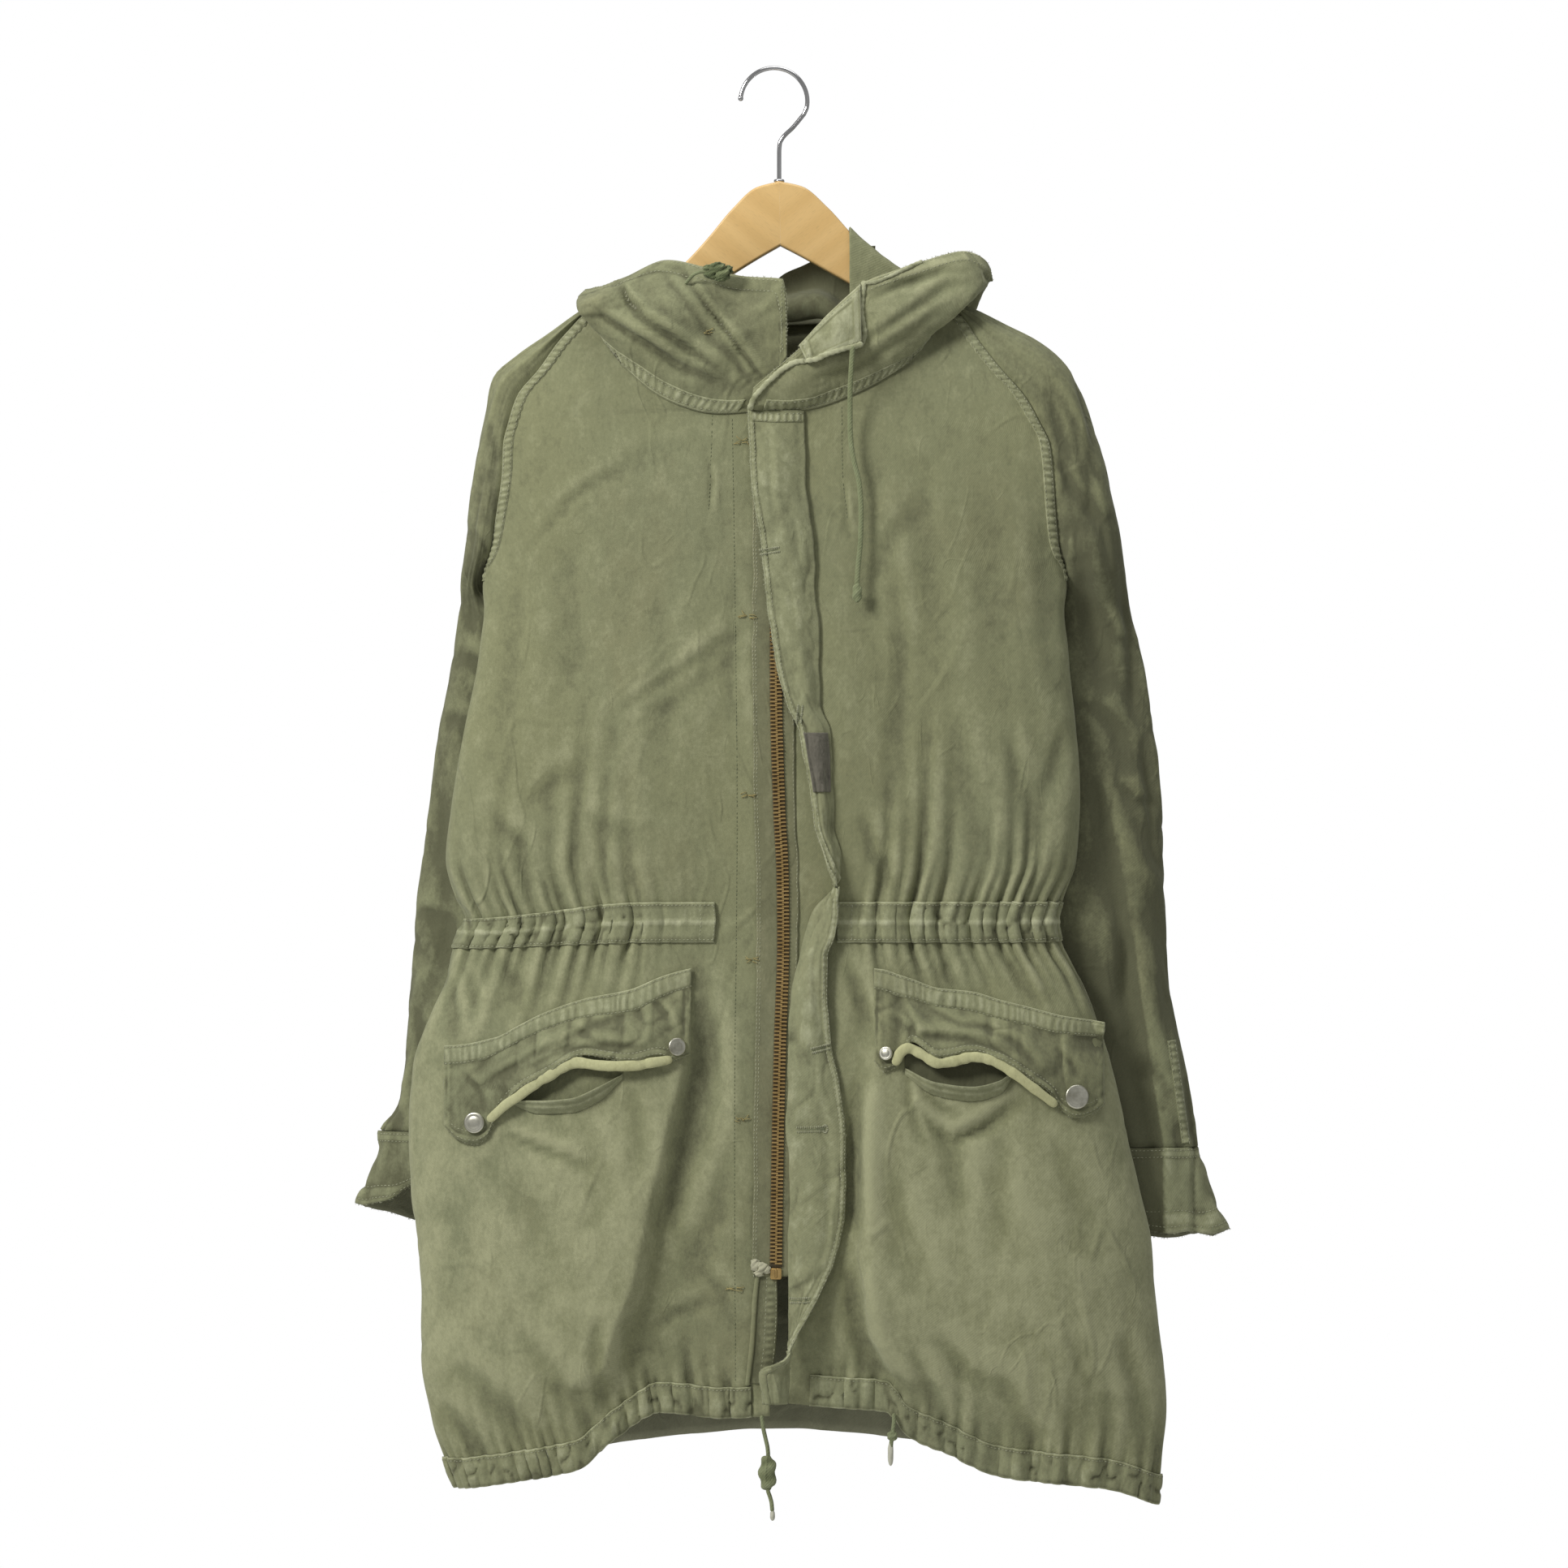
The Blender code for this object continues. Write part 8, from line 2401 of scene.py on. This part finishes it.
def buttonhole(number, hole):
    turn = math.radians(hole.turn)
    way, side = np.array((math.cos(turn), math.sin(turn))), np.array((-math.sin(turn), math.cos(turn)))
    along = np.linspace(-1, 1, 15)
    loop = [(0.5 * hole.length * a, 1.9 * s, s) for s in (-1, 1) for a in along]
    if hole.round:
        loop += [(0.5 * hole.length + 2.2 * math.cos(a), 3.4 * math.sin(a), 0)
                 for a in np.linspace(-2.2, 2.2, 12)]
    points, ways = [], []
    for u, v, s in loop:
        flat = np.array((hole.x, hole.z)) + way * u + side * v
        points.append((flat[0], float(layOn(flyTree, flat[0], flat[1])) - 0.35, flat[1]))
        reach = side if s else (way * u + side * v) / max(np.hypot(u, v), 0.1)
        ways.append((reach[0], 0, reach[1]))
    up = np.repeat(straight, len(points), axis=0)
    setPieces(f"buttonhole_{number}", points, ways, up, "paleThread",
              2.6, 1.15, 1.1, 0.2, False, 30)
    # the cut's painted shade: a dark tube along it
    u = np.linspace(-0.5, 0.5, 7)[:, None] * (hole.length - 2)
    flat = np.array((hole.x, hole.z)) + u * way
    slitShade = np.stack([flat[:, 0], layOn(flyTree, flat[:, 0], flat[:, 1]) - 0.15, flat[:, 1]], axis=1)
    width = 0.5 * np.sin(math.pi * np.linspace(0.08, 0.92, 7)) ** 0.5
    if hole.round:
        width[-2:] = (1.0, 1.3)
    finishObject(f"buttonhole_slit_{number}", tubeMesh(f"slit{number}", slitShade, width, 10, 0.35), "thread")


for number, hole in enumerate(buttonholes):
    buttonhole(number, hole)


# Loose thread ends, where older stitching has come out
def threadEnds(name, pixel, count, reach, seed, finish="yellowThread", tree=None):
    rng = np.random.default_rng(seed)
    centre = fromPhoto([pixel])[0]
    meshes = []
    for k in range(count):
        turn, bend = rng.uniform(-0.5, 0.5) + (math.pi if k % 2 else 0), rng.uniform(-0.9, 0.9)
        length = reach * rng.uniform(0.5, 1.0)
        start = centre + rng.uniform(-1.6, 1.6, 2)
        t = np.linspace(0, 1, 9)
        angle = turn + bend * t
        x = start[0] + np.cumsum(np.cos(angle)) * length / 9
        z = start[1] + np.cumsum(np.sin(angle)) * length / 9
        y = layOn(tree or frontTree, x, z) - 0.6 - 1.1 * np.sin(math.pi * t)
        meshes.append(tubeMesh(f"{name}Part{k}", np.stack([x, y, z], axis=1), 0.32, 6))
    finishObject(name, joinMeshes(name, meshes), finish)


for number, pixel in enumerate(((915, 545), (921, 760), (921, 978), (927, 1182), (914, 1379), (906, 1587))):
    threadEnds(f"thread_ends_{number}", pixel, 6, 8.0, 600 + number, tree=tapeTree)
threadEnds("hood_thread_knot", (873, 410), 7, 4.0, 620, tree=hoodTree)

# Frayed edges: short fibres that stand out from the worn bindings
fray = {"length": 1.9, "wide": 0.28, "high": 0.24, "step": 1.5}


def fibresAlong(points, outwardWay, seed, spread=0.9):
    rng = np.random.default_rng(seed)
    along = runAlong(points)
    at = np.sort(rng.uniform(0, along[-1], int(along[-1] / fray["step"])))
    place = np.stack([np.interp(at, along, points[:, axis]) for axis in range(3)], axis=1)
    way = np.broadcast_to(np.asarray(outwardWay, float), place.shape)
    way = way + rng.normal(0, spread, place.shape) * (1, 0.35, 1)
    way /= np.linalg.norm(way, axis=1, keepdims=True)
    return place + way * 0.3 * fray["length"], way


runs = [(flySurface[:, -1], (-1, 0, 0)), (tabGrid[:, 0], (-1, 0, 0.2)), (tabGrid[-1], (0, 0, -1)),
        (hoodPanels[-1]["grid"][-1, 3:60], (0, 0, 1)), (hoodPanels[-1]["grid"][:, 0], (1, 0, 0)),
        (flaps[-1][-1], (0, 0, -1)), (flaps[1][-1], (0, 0, -1)),
        (hoodPanels[1]["grid"][-1, 3:150], (0, 0, 1)),
        (cuffPanels[-1]["grid"][-1], (0, 0, -1)), (cuffPanels[1]["grid"][-1], (0, 0, -1))]
fibrePoints, fibreWays = [], []
for number, (points, outwardWay) in enumerate(runs):
    places, ways = fibresAlong(points, outwardWay, 640 + number)
    fibrePoints.append(places)
    fibreWays.append(ways)
fibrePoints, fibreWays = np.concatenate(fibrePoints), np.concatenate(fibreWays)
setPieces("frayed_fibres", fibrePoints, fibreWays, np.repeat(straight, len(fibrePoints), axis=0),
          "paleThread", fray["length"], fray["wide"], fray["high"], 0.45, False, 41)
print("worn edges ready")


# Cut sizes: an empty step, which closes a ring grid on itself and keeps nothing
def declareCut(grid, ring=False):
    if ring:
        grid = np.concatenate([grid, grid[:, :1]], axis=1)


for side in (-1, 1):
    key = sideKey(side)
    declareCut(frontPanels[side]["grid"])
    declareCut(sleevePanels[side]["grid"])
    declareCut(cuffPanels[side]["grid"], True)
    declareCut(hoodPanels[side]["grid"])
    declareCut(casings["waist", side])
    declareCut(casings["hem", side])
    declareCut(flaps[side])
    declareCut(bands[side])
    declareCut(lipGrids[side])
    declareCut(tapes[side])
declareCut(backPanel["grid"])
declareCut(casings["waist", 0])
declareCut(casings["hem", 0])
declareCut(flySurface)
declareCut(patchSurface)
declareCut(tabGrid)
declareCut(foldGrid)
declareCut(innerLayers)
declareCut(facingGrid)


# Camera: straight on, from far off, with a plain pale floor below the hem and a white surround
view = {"middleX": 4.2, "middleZ": -620.2, "distance": 5000.0, "nearY": -35.0, "frameWide": 1352.4}
light = {"key": 88.0, "fill": 2.0, "top": 20.0, "around": 0.27}

lens = 36.0 * view["distance"] / view["frameWide"]
cameraData = bpy.data.cameras.new("frontView")
cameraData.lens = lens
cameraData.sensor_width = 36.0
cameraData.clip_end = 60.0
camera = bpy.data.objects.new("frontView", cameraData)
camera.location = Vector((view["middleX"], view["nearY"] - view["distance"], view["middleZ"])) * mm
camera.rotation_euler = (math.pi / 2, 0, 0)
scene.collection.objects.link(camera)
scene.camera = camera


def addLight(name, place, target, size, power, colour=(1, 1, 1)):
    data = bpy.data.lights.new(name, "AREA")
    data.shape = "RECTANGLE"
    data.size, data.size_y = size
    data.energy = power
    data.color = colour
    lamp = bpy.data.objects.new(name, data)
    lamp.location = place
    lamp.rotation_euler = (Vector(target) - Vector(place)).to_track_quat("-Z", "Y").to_euler()
    scene.collection.objects.link(lamp)
    return lamp


addLight("keyLight", (-2.1, -2.0, 1.2), (0, 0, -0.65), (0.9, 0.9), light["key"], (1.0, 0.99, 0.975))
addLight("fillLight", (2.3, -2.4, -0.2), (0, 0, -0.7), (1.6, 2.2), light["fill"], (0.98, 0.99, 1.0))
addLight("topLight", (0.3, -0.4, 1.7), (0, 0, -0.4), (1.8, 1.2), light["top"])

world = bpy.data.worlds.new("paleSurround")
scene.world = world
world.use_nodes = True
surround = world.node_tree
surround.nodes.clear()
seen = put(surround, "ShaderNodeBackground", {"Color": (1, 1, 1, 1), "Strength": 1.0})
around = put(surround, "ShaderNodeBackground", {"Color": (1, 1, 1, 1), "Strength": light["around"]})
ray = put(surround, "ShaderNodeLightPath")
mixed = put(surround, "ShaderNodeMixShader", {0: ray.outputs["Is Camera Ray"], 1: around.outputs[0],
                                              2: seen.outputs[0]})
put(surround, "ShaderNodeOutputWorld", {0: mixed.outputs[0]})
scene.view_settings.view_transform = "Standard"

floorMesh = bpy.data.meshes.new("paleFloor")
ringPoints = [(2.6 * math.cos(2 * math.pi * k / 64), 0.3 + 2.6 * math.sin(2 * math.pi * k / 64), -1.9)
              for k in range(64)]
floorMesh.from_pydata(ringPoints, [], [tuple(range(64))])
floor = bpy.data.objects.new("paleFloor", floorMesh)
scene.collection.objects.link(floor)
floorMaterial, floorTree = newMaterial("paleFloor")
setShader(floorTree, {"Base Color": (0.86, 0.86, 0.855, 1), "Roughness": 0.75})
floorMesh.materials.append(floorMaterial)
print("camera, lights and floor ready")

triangles = [sum(len(face.vertices) - 2 for face in item.data.polygons) for item in made.values()]
print("triangles", sum(triangles), "largest piece", max(triangles))
